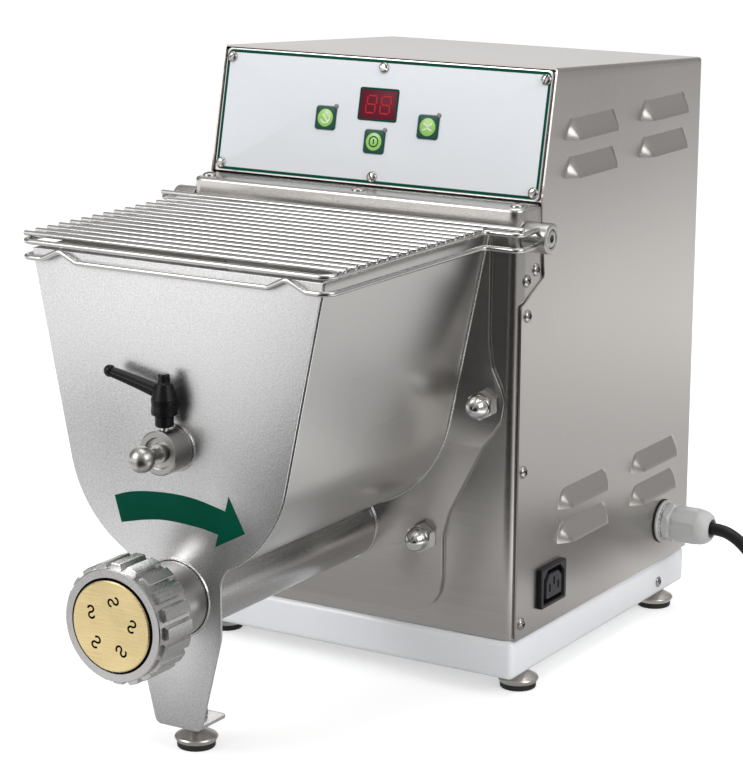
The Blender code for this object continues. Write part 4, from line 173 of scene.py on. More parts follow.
class Surface:
    """Gathers grids of points and flat caps, and makes them one mesh."""

    def __init__(self) -> None:
        """Starts with nothing in it."""
        self._points: list[Points] = []
        self._faces: list[list[int]] = []
        self._count = 0

    def grid(self, points: Points, wrap_rows: bool = False, wrap_cols: bool = False,
             keep: Points | None = None) -> Surface:
        """Adds a quad between each point of a grid, its neighbour in the row, and the two under them.

        Args:
            points: Rows by columns of points.
            wrap_rows: Whether the last row meets the first.
            wrap_cols: Whether the last column meets the first.
            keep: True for each row gap of quads that stays, or None for all.

        Returns:
            This surface, so that calls can follow one another.
        """
        rows, cols = points.shape[:2]
        r = np.arange(rows if wrap_rows else rows - 1)[:, None]
        c = np.arange(cols if wrap_cols else cols - 1)[None, :]
        below, beside = (r + 1) % rows, (c + 1) % cols
        corners = (r * cols + c, r * cols + beside, below * cols + beside, below * cols + c)
        quads = np.stack(np.broadcast_arrays(*corners), axis=-1)
        if keep is not None:
            quads = quads[keep]
        self._faces += (quads.reshape(-1, 4) + self._count).tolist()
        self._points.append(points.reshape(-1, 3))
        self._count += rows * cols
        return self

    def cap(self, ring: Points) -> Surface:
        """Adds one flat face over a ring of points."""
        self._faces.append(list(range(self._count, self._count + len(ring))))
        self._points.append(ring)
        self._count += len(ring)
        return self

    def tube(self, rows: Points) -> Surface:
        """Adds a grid closed round its columns, with a cap on its first and last row."""
        return self.grid(rows, wrap_cols=True).cap(rows[0]).cap(rows[-1])

    def loop(self, rows: Points) -> Surface:
        """Adds a grid closed round its columns and round its rows."""
        return self.grid(rows, wrap_rows=True, wrap_cols=True)

    def turn(self, place: Place, profile: Sequence[Sequence[float]], sides: int = 64) -> Surface:
        """Adds a turned solid, from a profile that starts and ends on the axis."""
        return self.grid(lathe(place, profile, sides), wrap_cols=True)

    def mirrored(self) -> Surface:
        """Adds the mirror image of what is there so far, with x taken as -x."""
        flip = np.array((-1.0, 1.0, 1.0))
        self._faces += [[i + self._count for i in face] for face in self._faces]
        self._points += [points * flip for points in self._points]
        self._count *= 2
        return self

    def mesh(self, name: str, crease: float = 32.0) -> bpy.types.Mesh:
        """Makes the mesh: doubles merged, faces outwards, smooth but for edges sharper than the crease.

        Args:
            name: The mesh's name.
            crease: Angle above which an edge stays sharp, in degrees.

        Returns:
            The new mesh.
        """
        points = np.concatenate(self._points) + (0.0, MACHINE_Y, 0.0)
        mesh = bpy.data.meshes.new(name)
        mesh.from_pydata(points.tolist(), [], self._faces)
        shell = bmesh.new()
        shell.from_mesh(mesh)
        bmesh.ops.remove_doubles(shell, verts=shell.verts, dist=WELD)
        bmesh.ops.dissolve_degenerate(shell, edges=shell.edges, dist=WELD)
        bmesh.ops.recalc_face_normals(shell, faces=shell.faces)
        shell.to_mesh(mesh)
        shell.free()
        smooth_by_angle(mesh, crease)
        return mesh


def smooth_by_angle(mesh: bpy.types.Mesh, crease: float) -> None:
    """Shades a mesh smooth, but for open edges and sharp ones.

    Args:
        mesh: The mesh.
        crease: Angle above which an edge stays sharp, in degrees.
    """
    mesh.polygons.foreach_set("use_smooth", np.ones(len(mesh.polygons), dtype=bool))
    mesh.set_sharp_from_angle(angle=math.radians(crease))
    sides = np.empty(len(mesh.loops), dtype=np.int32)
    mesh.loops.foreach_get("edge_index", sides)
    sharp = np.empty(len(mesh.edges), dtype=bool)
    mesh.edges.foreach_get("use_edge_sharp", sharp)
    mesh.edges.foreach_set("use_edge_sharp", sharp | (np.bincount(sides, minlength=len(mesh.edges)) == 1))
    mesh.update()


# Lines and outlines


def rounded_line(points: Sequence[Sequence[float]], radii: float | Sequence[float], steps: int = 6,
                 closed: bool = False) -> Points:
    """A line of straight runs whose corners are arcs.

    Each corner's arc starts and ends at its radius times the tangent of half the turn, and its points are
    the two end spokes from the arc's centre, weighed by sines so that they sweep evenly.

    Args:
        points: The corners, in two or three dimensions.
        radii: One radius, or one for each corner; none at the ends of an open line.
        steps: Spans in each arc.
        closed: Whether the line returns to its start.

    Returns:
        The line's points.
    """
    corners = np.asarray(points, float)
    count = len(corners)
    sizes = np.broadcast_to(np.asarray(radii, float), count)
    share = np.linspace(0.0, 1.0, steps + 1)[:, None]
    out = [] if closed else [corners[:1]]
    for i in range(0 if closed else 1, count if closed else count - 1):
        before, corner, after = corners[i - 1], corners[i], corners[(i + 1) % count]
        back = (before - corner) / np.linalg.norm(before - corner)
        ahead = (after - corner) / np.linalg.norm(after - corner)
        turn = math.pi - math.acos(float(np.clip(back @ ahead, -1.0, 1.0)))
        if sizes[i] <= 0.0 or turn < 1e-3:
            out.append(corner[None])
            continue
        middle = (back + ahead) / np.linalg.norm(back + ahead)
        centre = corner + middle * sizes[i] / math.cos(turn / 2)
        reach = sizes[i] * math.tan(turn / 2)
        start, end = corner + back * reach - centre, corner + ahead * reach - centre
        spokes = start * np.sin((1.0 - share) * turn) + end * np.sin(share * turn)
        out.append(centre + spokes / math.sin(turn))
    if not closed:
        out.append(corners[-1:])
    return np.concatenate(out)


def smooth_line(points: Sequence[Sequence[float]], steps: int = 8) -> Points:
    """A smooth curve through points: between each two, a cubic that leaves them along their neighbours' line.

    Args:
        points: What the curve goes through.
        steps: Spans between each two.

    Returns:
        The curve's points.
    """
    route = np.asarray(points, float)
    ends = np.vstack([2 * route[0] - route[1], route, 2 * route[-1] - route[-2]])
    s = np.linspace(0.0, 1.0, steps, endpoint=False)[None, :, None]
    p0, p1, p2, p3 = (ends[k:len(ends) - 3 + k, None] for k in range(4))
    square, cube = 2 * p0 - 5 * p1 + 4 * p2 - p3, 3 * p1 - p0 - 3 * p2 + p3
    curve = 2 * p1 + (p2 - p0) * s + square * s**2 + cube * s**3
    return np.vstack([(curve / 2).reshape(-1, route.shape[1]), route[-1:]])


def arc(centre: tuple[float, float], radius: float, start: float, end: float, steps: int = 16) -> Points:
    """Points of a circle from one angle to another: the centre plus the radius along each.

    Args:
        centre: The circle's centre.
        radius: The circle's radius.
        start: The first angle, in degrees.
        end: The last angle, in degrees.
        steps: Spans between them.

    Returns:
        The points.
    """
    angle = np.radians(np.linspace(start, end, steps + 1))
    return np.stack([centre[0] + radius * np.cos(angle), centre[1] + radius * np.sin(angle)], axis=1)


def circle(radius: float, sides: int = 16) -> Points:
    """A closed ring of points about the origin, each the radius along its angle."""
    return arc((0.0, 0.0), radius, 0.0, 360.0, sides)[:-1]


def rounded_rectangle(half_x: float, half_y: float, radius: float, steps: int = 5) -> Points:
    """A rectangle about the origin with its corners rounded."""
    corners = [(half_x, -half_y), (half_x, half_y), (-half_x, half_y), (-half_x, -half_y)]
    return rounded_line(corners, radius, steps, closed=True)


def both_sides(half: Points) -> Points:
    """A half outline, from its foot up, followed by its mirror image from its head down."""
    return np.vstack([half, (half * (-1.0, 1.0))[::-1]])


def drawn_in(outline: Points, depth: float) -> Points:
    """An outline moved inwards: each point goes along the mean of its two edges' normals.

    It goes by the depth over that mean's share along one edge's own normal, so sharp corners go further.

    Args:
        outline: A closed outline.
        depth: How far its edges move.

    Returns:
        As many points.
    """
    ahead = np.roll(outline, -1, axis=0) - outline
    ahead /= np.maximum(np.linalg.norm(ahead, axis=1, keepdims=True), 1e-12)
    back = np.roll(ahead, 1, axis=0)
    inward = np.stack([-(ahead + back)[:, 1], (ahead + back)[:, 0]], axis=1)
    inward /= np.maximum(np.linalg.norm(inward, axis=1, keepdims=True), 1e-12)
    square = np.stack([-ahead[:, 1], ahead[:, 0]], axis=1)
    reach = np.clip(np.sum(inward * square, axis=1, keepdims=True), 0.35, 1.0)
    nxt = np.roll(outline, -1, axis=0)
    turning = np.sum(outline[:, 0] * nxt[:, 1] - nxt[:, 0] * outline[:, 1])
    return outline + inward * (math.copysign(depth, turning) / reach)


def mm(points: Sequence[Sequence[float]]) -> Points:
    """Sizes given in millimetres, in metres."""
    return np.asarray(points, float) / 1000.0


def layered(*levels: tuple[Points, float]) -> Points:
    """Flat outlines, each at its own height: one row of points for each."""
    return np.stack([np.column_stack([line, np.full(len(line), height)]) for line, height in levels])


def standing(line: Points, *distances: float) -> Points:
    """An outline of x and z stood at each distance y: one row of points for each."""
    return np.stack([np.column_stack([line[:, 0], np.full(len(line), y), line[:, 1]]) for y in distances])


def rings(angle: Points, *levels: tuple[Points | float, Points | float]) -> Points:
    """Rings about the axis: at each angle a radius and a height, each one number or one for every angle."""
    whole = [np.broadcast_arrays(r * np.cos(angle), r * np.sin(angle), height) for r, height in levels]
    return np.stack([np.stack(ring, axis=-1) for ring in whole])


# Shapes


def lathe(place: Place, profile: Sequence[Sequence[float]], sides: int = 64) -> Points:
    """A profile turned about the place's axis: each point goes round a whole circle.

    Args:
        place: Where the axis stands.
        profile: Points of radius and height.
        sides: Points in each circle.

    Returns:
        One row of points for each point of the profile.
    """
    return place.put(rings(np.linspace(0.0, TAU, sides, endpoint=False), *np.asarray(profile, float)))


def turned(place: Place, profile: Sequence[Sequence[float]], sides: int = 64) -> Surface:
    """A turned solid, from a profile that starts and ends on the axis."""
    return Surface().turn(place, profile, sides)


def turned_ring(place: Place, profile: Sequence[Sequence[float]], sides: int = 64) -> Surface:
    """A turned ring, from a profile that closes on itself."""
    return Surface().loop(lathe(place, profile, sides))


def carried(path: Points, section: Points, scale: Points | None = None,
            up: tuple[float, float, float] = (0.0, 0.0, 1.0), closed: bool = False) -> Points:
    """A section stood square on a path at each of its points.

    The section's x lies along the path's direction crossed with up, and its y along that crossed with the
    direction.

    Args:
        path: The points that the section's origin follows.
        section: A closed outline of x and y.
        scale: A factor for x and y at each point of the path, or None.
        up: The direction that the section's y leans towards.
        closed: Whether the path returns to its start.

    Returns:
        One row of points for each point of the path.
    """
    if closed:
        way = np.roll(path, -1, axis=0) - np.roll(path, 1, axis=0)
    else:
        way = np.gradient(path, axis=0)
    way = way / np.linalg.norm(way, axis=1, keepdims=True)
    side = np.cross(way, np.asarray(up, float))
    side /= np.linalg.norm(side, axis=1, keepdims=True)
    top = np.cross(side, way)
    grow = np.ones((len(path), 2)) if scale is None else np.broadcast_to(scale, (len(path), 2))
    across = section[None, :, 0, None] * grow[:, None, 0, None] * side[:, None]
    rise = section[None, :, 1, None] * grow[:, None, 1, None] * top[:, None]
    return path[:, None] + across + rise


def wire(surface: Surface, path: Points, radius: float, sides: int = 14, tip: float = 1.0) -> Surface:
    """Adds a round wire whose ends are domes: their rings shrink with the sine and go out with the cosine.

    Args:
        surface: What it is added to.
        path: The wire's line.
        radius: The wire's radius.
        sides: Points round it.
        tip: How far the domes reach out, in radii.

    Returns:
        The same surface.
    """
    turn = np.radians([0.0, 30.0, 60.0, 80.0])
    first, last = path[0] - path[1], path[-1] - path[-2]
    out = (np.cos(turn) * radius * tip)[:, None]
    head = path[0] + out * first / np.linalg.norm(first)
    tail = path[-1] + out[::-1] * last / np.linalg.norm(last)
    size = np.concatenate([np.sin(turn), np.ones(len(path)), np.sin(turn)[::-1]])
    size = np.maximum(size, 0.02)[:, None]
    rows = carried(np.vstack([head, path, tail]), circle(radius, sides), np.hstack([size, size]))
    return surface.tube(rows)


def plate(place: Place, outline: Points, low: float, high: float, edge: float = 0.0003) -> Surface:
    """A flat plate: its outline at two heights, drawn in by a small rounding at each face.

    Args:
        place: Where it lies.
        outline: Its closed outline.
        low: Height of its foot.
        high: Height of its face.
        edge: The rounding's radius.

    Returns:
        The surface.
    """
    inner = drawn_in(outline, edge)
    middle = drawn_in(outline, edge * 0.3)
    rows = layered((inner, low), (middle, low + edge * 0.3), (outline, low + edge), (outline, high - edge),
                   (middle, high - edge * 0.3), (inner, high))
    return Surface().tube(place.put(rows))


def rounded_box(place: Place, low: Sequence[float], high: Sequence[float], edge: float,
                steps: int = 4) -> Surface:
    """A box with round edges: a ball of the edge's radius whose eighths are moved out to the box's corners.

    Args:
        place: Where it stands.
        low: Its least x, y and z.
        high: Its greatest x, y and z.
        edge: The edges' radius.
        steps: Spans in each rounded edge.

    Returns:
        The surface.
    """
    quarter = np.linspace(0.0, math.pi / 2, steps + 1)
    around = (np.arange(4)[:, None] * math.pi / 2 + quarter).ravel()
    rise = np.concatenate([quarter - math.pi / 2, quarter])
    sign_x = np.repeat((1.0, -1.0, -1.0, 1.0), steps + 1)
    sign_y = np.repeat((1.0, 1.0, -1.0, -1.0), steps + 1)
    sign_z = np.repeat((-1.0, 1.0), steps + 1)
    flat = np.cos(rise)[:, None]
    ball = np.broadcast_arrays(flat * np.cos(around), flat * np.sin(around), np.sin(rise)[:, None])
    corner = np.stack(np.broadcast_arrays(sign_x, sign_y, sign_z[:, None]), axis=-1)
    low, high = np.asarray(low, float), np.asarray(high, float)
    rows = (low + high) / 2 + corner * ((high - low) / 2 - edge) + np.stack(ball, axis=-1) * edge
    rows = place.put(rows)
    return Surface().grid(rows, wrap_cols=True).cap(rows[0, :: steps + 1]).cap(rows[-1, :: steps + 1])


def faceted(place: Place, sides: int, flats: float, low: float, high: float, slope: float = 0.6) -> Surface:
    """A nut's body: a prism whose corners are cut by a cone at each face.

    At each angle the wall stands half the flats over the cosine of the angle from the nearest flat, and it
    ends short of both faces by the slope times what it stands outside the flats.

    Args:
        place: Where its axis stands.
        sides: Number of flats.
        flats: Width across flats.
        low: Height of its foot.
        high: Height of its face.
        slope: Fall of the cones.

    Returns:
        The surface.
    """
    count = sides * 12
    angle = np.arange(count) * TAU / count
    pitch = TAU / sides
    wall = flats / 2 / np.cos((angle + pitch / 2) % pitch - pitch / 2)
    fall = (wall - flats / 2) * slope
    face = flats / 2 * 0.985
    rows = rings(angle, (face, low), (wall, low + fall), (wall, high - fall), (face, high))
    return Surface().tube(place.put(rows))


def screw_head(place: Place, radius: float, height: float, drive: Drive, roll: float = 0.0,
               square: float = 2.0) -> Surface:
    """A domed head with a recess.

    Its height at a radius is that of a rounded curve that is full in the middle and falls to nothing at the
    rim. The recess has its own radius at each angle, from which a wall goes down to a flat floor.

    Args:
        place: The head's seat.
        radius: Radius of its rim.
        height: Height of its dome.
        drive: Kind of recess.
        roll: Turn of the recess, in degrees.
        square: How full the dome's shoulder is, 2 for an ellipse.

    Returns:
        The surface.
    """
    angle = np.linspace(0.0, TAU, 96, endpoint=False)
    turn = angle - math.radians(roll)
    narrow = radius * 0.15
    if drive is Drive.SLOTTED:
        mouth = np.minimum(radius * 0.93, narrow / np.maximum(np.abs(np.sin(turn)), 1e-6))
    elif drive is Drive.CROSS:
        least = np.maximum(np.minimum(np.abs(np.sin(turn)), np.abs(np.cos(turn))), 1e-6)
        mouth = np.minimum(radius * 0.55, narrow / least)
    else:
        mouth = radius * 0.42 / np.cos((turn + math.pi / 6) % (math.pi / 3) - math.pi / 6)
    share = np.sin(np.linspace(1.0, 0.0, 9) * math.pi / 2)[:, None]
    spread = mouth + (radius - mouth) * share
    rise = height * (1.0 - np.clip(spread / radius, 0.0, 1.0) ** square) ** (1.0 / square)
    floor = np.full((1, len(angle)), height * (0.15 if drive is Drive.SLOTTED else 0.1))
    spread = np.vstack([spread, mouth * 0.97, np.zeros_like(mouth)])
    rise = np.vstack([rise, floor, floor])
    rows = np.stack([spread * np.cos(angle), spread * np.sin(angle), rise], axis=-1)
    return Surface().grid(place.put(rows), wrap_cols=True).cap(place.put(rows[0]))


# Shader groups


class Sheet:
    """Adds nodes to one tree and links them."""

    def __init__(self, tree: bpy.types.NodeTree) -> None:
        """Works on this tree."""
        self.tree = tree

    def add(self, kind: str, **settings: object) -> bpy.types.Node:
        """A new node with its settings."""
        node = self.tree.nodes.new(kind)
        for key, value in settings.items():
            setattr(node, key, value)
        return node

    def feed(self, socket: bpy.types.NodeSocket, value: object) -> None:
        """Links a socket to another, or gives it a plain value."""
        if isinstance(value, bpy.types.NodeSocket):
            self.tree.links.new(value, socket)
        else:
            socket.default_value = value

    def math(self, operation: str, *values: object) -> bpy.types.NodeSocket:
        """The result of one sum.

        Args:
            operation: The sum's name in Blender.
            values: Plain numbers or sockets.

        Returns:
            The sum's socket.
        """
        node = self.add("ShaderNodeMath", operation=operation)
        for socket, value in zip(node.inputs, values):
            self.feed(socket, value)
        return node.outputs[0]

    def noise(self, place: object, detail: float = 3.0, roughness: float = 0.55) -> bpy.types.NodeSocket:
        """Cloudy noise, spread out to fill 0 to 1.

        Args:
            place: The stretched place that it is taken at.
            detail: How many finer layers are laid over it.
            roughness: How strong each finer layer is.

        Returns:
            The noise's socket.
        """
        node = self.add("ShaderNodeTexNoise")
        self.feed(node.inputs["Vector"], place)
        for name, value in (("Scale", 1.0), ("Detail", detail), ("Roughness", roughness)):
            self.feed(node.inputs[name], value)
        spread = self.add("ShaderNodeMapRange")
        for name, value in (("Value", node.outputs[0]), ("From Min", 0.28), ("From Max", 0.72)):
            self.feed(spread.inputs[name], value)
        return spread.outputs[0]

    def scaled(self, place: object, factor: object) -> bpy.types.NodeSocket:
        """A place times a stretch."""
        node = self.add("ShaderNodeVectorMath", operation="MULTIPLY")
        self.feed(node.inputs[0], place)
        self.feed(node.inputs[1], factor)
        return node.outputs[0]


def shader_group(name: str, inputs: Sequence[tuple[str, str]],
                 outputs: Sequence[str]) -> tuple[Sheet, bpy.types.Node, bpy.types.Node]:
    """A new shader node group.

    Args:
        name: The group's name.
        inputs: Name and kind of each entry socket.
        outputs: Name of each exit socket, all plain numbers.

    Returns:
        Its sheet, its entry node and its exit node.
    """
    tree = bpy.data.node_groups.new(name, "ShaderNodeTree")
    for label, kind in inputs:
        tree.interface.new_socket(name=label, in_out="INPUT", socket_type=kind)
    for label in outputs:
        tree.interface.new_socket(name=label, in_out="OUTPUT", socket_type="NodeSocketFloat")
    sheet = Sheet(tree)
    return sheet, sheet.add("NodeGroupInput"), sheet.add("NodeGroupOutput")


MARKS = ("Streak", "Grain", "Cloud")


def surface_marks() -> bpy.types.NodeTree:
    """The group behind every finish: brush streaks, grain and clouds.

    Each is noise over the place times its own stretch. The tone is 1 plus each mark less a half times its
    share, the roughness is the plain one plus the same sum with other shares, and the height adds them up.
    """
    found = bpy.data.node_groups.get("surface_marks")
    if found:
        return found
    number, vector = "NodeSocketFloat", "NodeSocketVector"
    inputs = [("Place", vector), *((f"{mark} Stretch", vector) for mark in MARKS)]
    inputs += [(f"{mark} {use}", number) for use in ("Tone", "Roughness", "Height") for mark in MARKS]
    inputs.append(("Plain Roughness", number))
    sheet, entry, exit_node = shader_group("surface_marks", inputs, ("Tone", "Roughness", "Height"))
    marks = {}
    for mark, detail in zip(MARKS, (5.0, 2.0, 3.0)):
        place = sheet.scaled(entry.outputs["Place"], entry.outputs[f"{mark} Stretch"])
        marks[mark] = sheet.math("SUBTRACT", sheet.noise(place, detail), 0.5)
    for use, start in (("Tone", 1.0), ("Roughness", entry.outputs["Plain Roughness"]), ("Height", 0.0)):
        total: object = start
        for mark, value in marks.items():
            total = sheet.math("ADD", total, sheet.math("MULTIPLY", value, entry.outputs[f"{mark} {use}"]))
        sheet.feed(exit_node.inputs[use], total)
    return sheet.tree


@dataclass(frozen=True)
class Finish:
    """One finish: its colour and gloss, and how strongly streaks, grain and clouds show in them."""

    name: str
    slot: Slot
    colour: tuple[float, float, float]
    roughness: float
    metallic: float = 0.0
    coat: float = 0.0
    specular: float = 0.5
    streak: tuple[float, float, float] = (8.0, 8.0, 8.0)
    grain: float = 1500.0
    cloud: tuple[float, float, float] = (9.0, 9.0, 9.0)
    tones: tuple[float, float, float] = (0.0, 0.06, 0.06)
    roughs: tuple[float, float, float] = (0.0, 0.04, 0.08)
    heights: tuple[float, float, float] = (0.0, 0.01, 0.0)
    emission: float = 0.0

    def material(self) -> bpy.types.Material:
        """The finish as a material, made once."""
        found = bpy.data.materials.get(self.name)
        if found:
            return found
        material = bpy.data.materials.new(self.name)
        material.use_nodes = True
        sheet = Sheet(material.node_tree)
        shader = material.node_tree.nodes["Principled BSDF"]
        place = sheet.add("ShaderNodeTexCoord").outputs["Object"]
        marks = sheet.add("ShaderNodeGroup", node_tree=surface_marks())
        values = {"Place": place, "Streak Stretch": self.streak, "Grain Stretch": (self.grain,) * 3,
                  "Cloud Stretch": self.cloud, "Plain Roughness": self.roughness}
        for use, shares in (("Tone", self.tones), ("Roughness", self.roughs), ("Height", self.heights)):
            values.update({f"{mark} {use}": share for mark, share in zip(MARKS, shares)})
        for label, value in values.items():
            sheet.feed(marks.inputs[label], value)
        blend = sheet.add("ShaderNodeMix", data_type="RGBA", blend_type="MULTIPLY")
        blend.inputs[0].default_value = 1.0
        blend.inputs[6].default_value = (*self.colour, 1.0)
        sheet.feed(blend.inputs[7], marks.outputs["Tone"])
        bump = sheet.add("ShaderNodeBump")
        bump.inputs["Strength"].default_value = 1.0
        bump.inputs["Distance"].default_value = 0.001
        sheet.feed(bump.inputs["Height"], marks.outputs["Height"])
        sheet.feed(shader.inputs["Base Color"], blend.outputs[2])
        sheet.feed(shader.inputs["Roughness"], marks.outputs["Roughness"])
        sheet.feed(shader.inputs["Normal"], bump.outputs[0])
        shader.inputs["Metallic"].default_value = self.metallic
        shader.inputs["Coat Weight"].default_value = self.coat
        shader.inputs["Coat Roughness"].default_value = 0.06
        shader.inputs["Specular IOR Level"].default_value = self.specular
        if self.emission:
            sheet.feed(shader.inputs["Emission Color"], blend.outputs[2])
            shader.inputs["Emission Strength"].default_value = self.emission
        return material


COVER_STEEL = Finish("cover_brushed_steel", Slot.CASING, (0.555, 0.525, 0.5), 0.29, 1.0,
                     streak=(0.0, 900.0, 6.0),
                     cloud=(6.0, 6.0, 3.0), tones=(0.03, 0.02, 0.06), roughs=(0.02, 0.0, 0.05),
                     heights=(0.0, 0.0, 0.0))
PANEL_STEEL = Finish("panel_brushed_steel", Slot.CASING, (0.6, 0.575, 0.55), 0.24, 1.0,
                     streak=(6.0, 900.0, 900.0),
                     cloud=(6.0, 6.0, 3.0), tones=(0.06, 0.03, 0.06), roughs=(0.06, 0.0, 0.06),
                     heights=(0.004, 0.0, 0.0))
PLATE_EDGE_STEEL = Finish("plate_edge_steel", Slot.CASING, (0.72, 0.71, 0.7), 0.22, 1.0,
                          streak=(9.0, 900.0, 900.0), tones=(0.06, 0.02, 0.04), roughs=(0.06, 0.0, 0.05))
BLASTED_STEEL = Finish("blasted_steel", Slot.HOPPER, (0.71, 0.71, 0.71), 0.35, 1.0, grain=850.0,
                       cloud=(14.0, 14.0, 14.0), tones=(0.0, 0.3, 0.05), roughs=(0.0, 0.1, 0.08),
                       heights=(0.0, 0.035, 0.0))
TROUGH_STEEL = Finish("trough_satin_steel", Slot.HOPPER, (0.66, 0.65, 0.63), 0.3, 1.0,
                      streak=(700.0, 6.0, 700.0),
                      cloud=(7.0, 7.0, 7.0), tones=(0.02, 0.04, 0.05), roughs=(0.03, 0.02, 0.04),
                      heights=(0.0003, 0.001, 0.0))
TUBE_STEEL = Finish("tube_satin_steel", Slot.HOPPER, (0.55, 0.54, 0.53), 0.26, 1.0,
                    streak=(500.0, 10.0, 500.0),
                    tones=(0.05, 0.04, 0.05), roughs=(0.05, 0.02, 0.05), heights=(0.001, 0.001, 0.0))
WELD_STEEL = Finish("weld_bead_steel", Slot.HOPPER, (0.72, 0.71, 0.7), 0.26, 1.0, grain=900.0,
                    tones=(0.0, 0.14, 0.05), roughs=(0.0, 0.1, 0.05), heights=(0.0, 0.05, 0.0))
POLISHED_STEEL = Finish("polished_steel_finish", Slot.POLISHED, (0.74, 0.73, 0.71), 0.12, 1.0,
                        tones=(0.0, 0.03, 0.04), roughs=(0.0, 0.02, 0.06), heights=(0.0, 0.0, 0.0))
WIRE_STEEL = Finish("wire_bright_steel", Slot.POLISHED, (0.61, 0.6, 0.585), 0.18, 1.0, grain=700.0,
                    tones=(0.0, 0.06, 0.05), roughs=(0.0, 0.04, 0.06), heights=(0.0, 0.003, 0.0))
TURNED_STEEL = Finish("turned_satin_steel", Slot.POLISHED, (0.5, 0.49, 0.47), 0.29, 1.0,
                      streak=(40.0, 1500.0, 40.0), tones=(0.06, 0.03, 0.05), roughs=(0.06, 0.02, 0.04),
                      heights=(0.001, 0.0, 0.0))
SCREW_STEEL = Finish("screw_steel", Slot.POLISHED, (0.47, 0.455, 0.435), 0.2, 1.0,
                     tones=(0.0, 0.03, 0.04), roughs=(0.0, 0.02, 0.04), heights=(0.0, 0.0, 0.0))
CAST_ALUMINIUM = Finish("cast_aluminium_finish", Slot.CAST, (0.6, 0.595, 0.585), 0.28, 1.0,
                        streak=(900.0, 12.0, 900.0), grain=1000.0, tones=(0.1, 0.16, 0.06),
                        roughs=(0.06, 0.1, 0.08), heights=(0.004, 0.02, 0.0))
DIE_BRONZE = Finish("die_brushed_bronze", Slot.BRONZE, (0.95, 0.76, 0.4), 0.34, 1.0,
                    streak=(45.0, 1400.0, 1400.0),
                    cloud=(40.0, 40.0, 40.0), tones=(0.26, 0.06, 0.14), roughs=(0.16, 0.02, 0.08),
                    heights=(0.02, 0.0, 0.0))
BASE_PLASTIC = Finish("base_gloss_white", Slot.BASE, (0.9, 0.915, 0.945), 0.24, coat=0.35, grain=400.0,
                      tones=(0.0, 0.01, 0.02), roughs=(0.0, 0.02, 0.05), heights=(0.0, 0.002, 0.0))
FILM_PRINT = Finish("film_pale_print", Slot.PRINT, (0.775, 0.8, 0.835), 0.42, specular=0.22, grain=1800.0,
                    tones=(0.0, 0.05, 0.03), roughs=(0.0, 0.08, 0.04), heights=(0.0, 0.006, 0.0))
GREEN_PRINT = Finish("green_print", Slot.BUTTON, (0.0005, 0.066, 0.038), 0.5, specular=0.04, grain=900.0,
                     tones=(0.0, 0.1, 0.08), roughs=(0.0, 0.06, 0.04), heights=(0.0, 0.004, 0.0))
KEY_GREEN = Finish("key_green", Slot.BUTTON, (0.004, 0.06, 0.045), 0.36, specular=0.25, grain=900.0,
                   tones=(0.0, 0.1, 0.08), heights=(0.0, 0.004, 0.0))
KEY_DISC = Finish("key_light_disc", Slot.BUTTON, (0.29, 0.58, 0.1), 0.32, coat=0.3, grain=600.0,
                  tones=(0.0, 0.12, 0.18), heights=(0.0, 0.004, 0.0))
KEY_RIM = Finish("key_hairline", Slot.PRINT, (0.34, 0.42, 0.42), 0.32)
SIGN_PRINT = Finish("sign_silver_print", Slot.PRINT, (0.76, 0.8, 0.72), 0.35)
DISPLAY_GLASS = Finish("display_dark_red", Slot.DISPLAY, (0.13, 0.01, 0.024), 0.28,
                       specular=0.08, grain=300.0,
                       tones=(0.0, 0.05, 0.1), heights=(0.0, 0.0, 0.0))
DISPLAY_DIGIT = Finish("display_digit_red", Slot.DISPLAY, (0.5, 0.018, 0.035), 0.4, specular=0.1)
# Painted shade: a flat, nearly lightless black that stands in for the shadow in the die's slots, round the
# die's edge and in the outlet's moat.
PAINTED_SHADE_BLACK = Finish("painted_shade_black", Slot.LEVER, (0.003, 0.003, 0.003), 0.8, specular=0.03)
LAMP_GREY = Finish("lamp_grey", Slot.LEVER, (0.16, 0.16, 0.17), 0.3, coat=0.3)
LEVER_BLACK = Finish("lever_satin_black", Slot.LEVER, (0.005, 0.005, 0.006), 0.3, specular=0.22, grain=1300.0,
                     tones=(0.0, 0.2, 0.1), roughs=(0.0, 0.1, 0.06), heights=(0.0, 0.01, 0.0))
GLAND_GREY = Finish("gland_pale_grey", Slot.GLAND, (0.6, 0.61, 0.6), 0.36, grain=900.0,
                    tones=(0.0, 0.04, 0.05), heights=(0.0, 0.006, 0.0))
OUTLET_BLACK = Finish("outlet_satin_black", Slot.OUTLET, (0.008, 0.008, 0.009), 0.34,
                      specular=0.3, grain=1200.0,
                      tones=(0.0, 0.15, 0.08), heights=(0.0, 0.006, 0.0))
OUTLET_FACE = Finish("outlet_dark_grey", Slot.OUTLET, (0.04, 0.037, 0.042), 0.45, specular=0.3, grain=1200.0,
                     tones=(0.0, 0.1, 0.08), heights=(0.0, 0.006, 0.0))
LEAD_RUBBER = Finish("lead_black_rubber", Slot.LEAD, (0.01, 0.01, 0.011), 0.38, specular=0.35, grain=1100.0,
                     tones=(0.0, 0.2, 0.15), roughs=(0.0, 0.1, 0.06), heights=(0.0, 0.008, 0.0))
PAD_RUBBER = Finish("pad_black_rubber", Slot.FOOT, (0.016, 0.016, 0.017), 0.55, grain=700.0)
FOOT_STEEL = Finish("foot_satin_steel", Slot.FOOT, (0.6, 0.57, 0.53), 0.3, 1.0, streak=(60.0, 60.0, 1400.0),
                    tones=(0.06, 0.04, 0.06), roughs=(0.06, 0.02, 0.06), heights=(0.004, 0.0, 0.0))
GEAR_STEEL = Finish("machined_gear_steel", Slot.GEAR, (0.46, 0.46, 0.46), 0.34, 1.0,
                    streak=(500.0, 12.0, 500.0),
                    tones=(0.1, 0.04, 0.05), roughs=(0.08, 0.02, 0.05), heights=(0.006, 0.0, 0.0))
MOTOR_ENAMEL = Finish("motor_dark_enamel", Slot.MOTOR, (0.1, 0.14, 0.18), 0.38, coat=0.4, grain=500.0,
                      tones=(0.0, 0.06, 0.06), heights=(0.0, 0.02, 0.0))
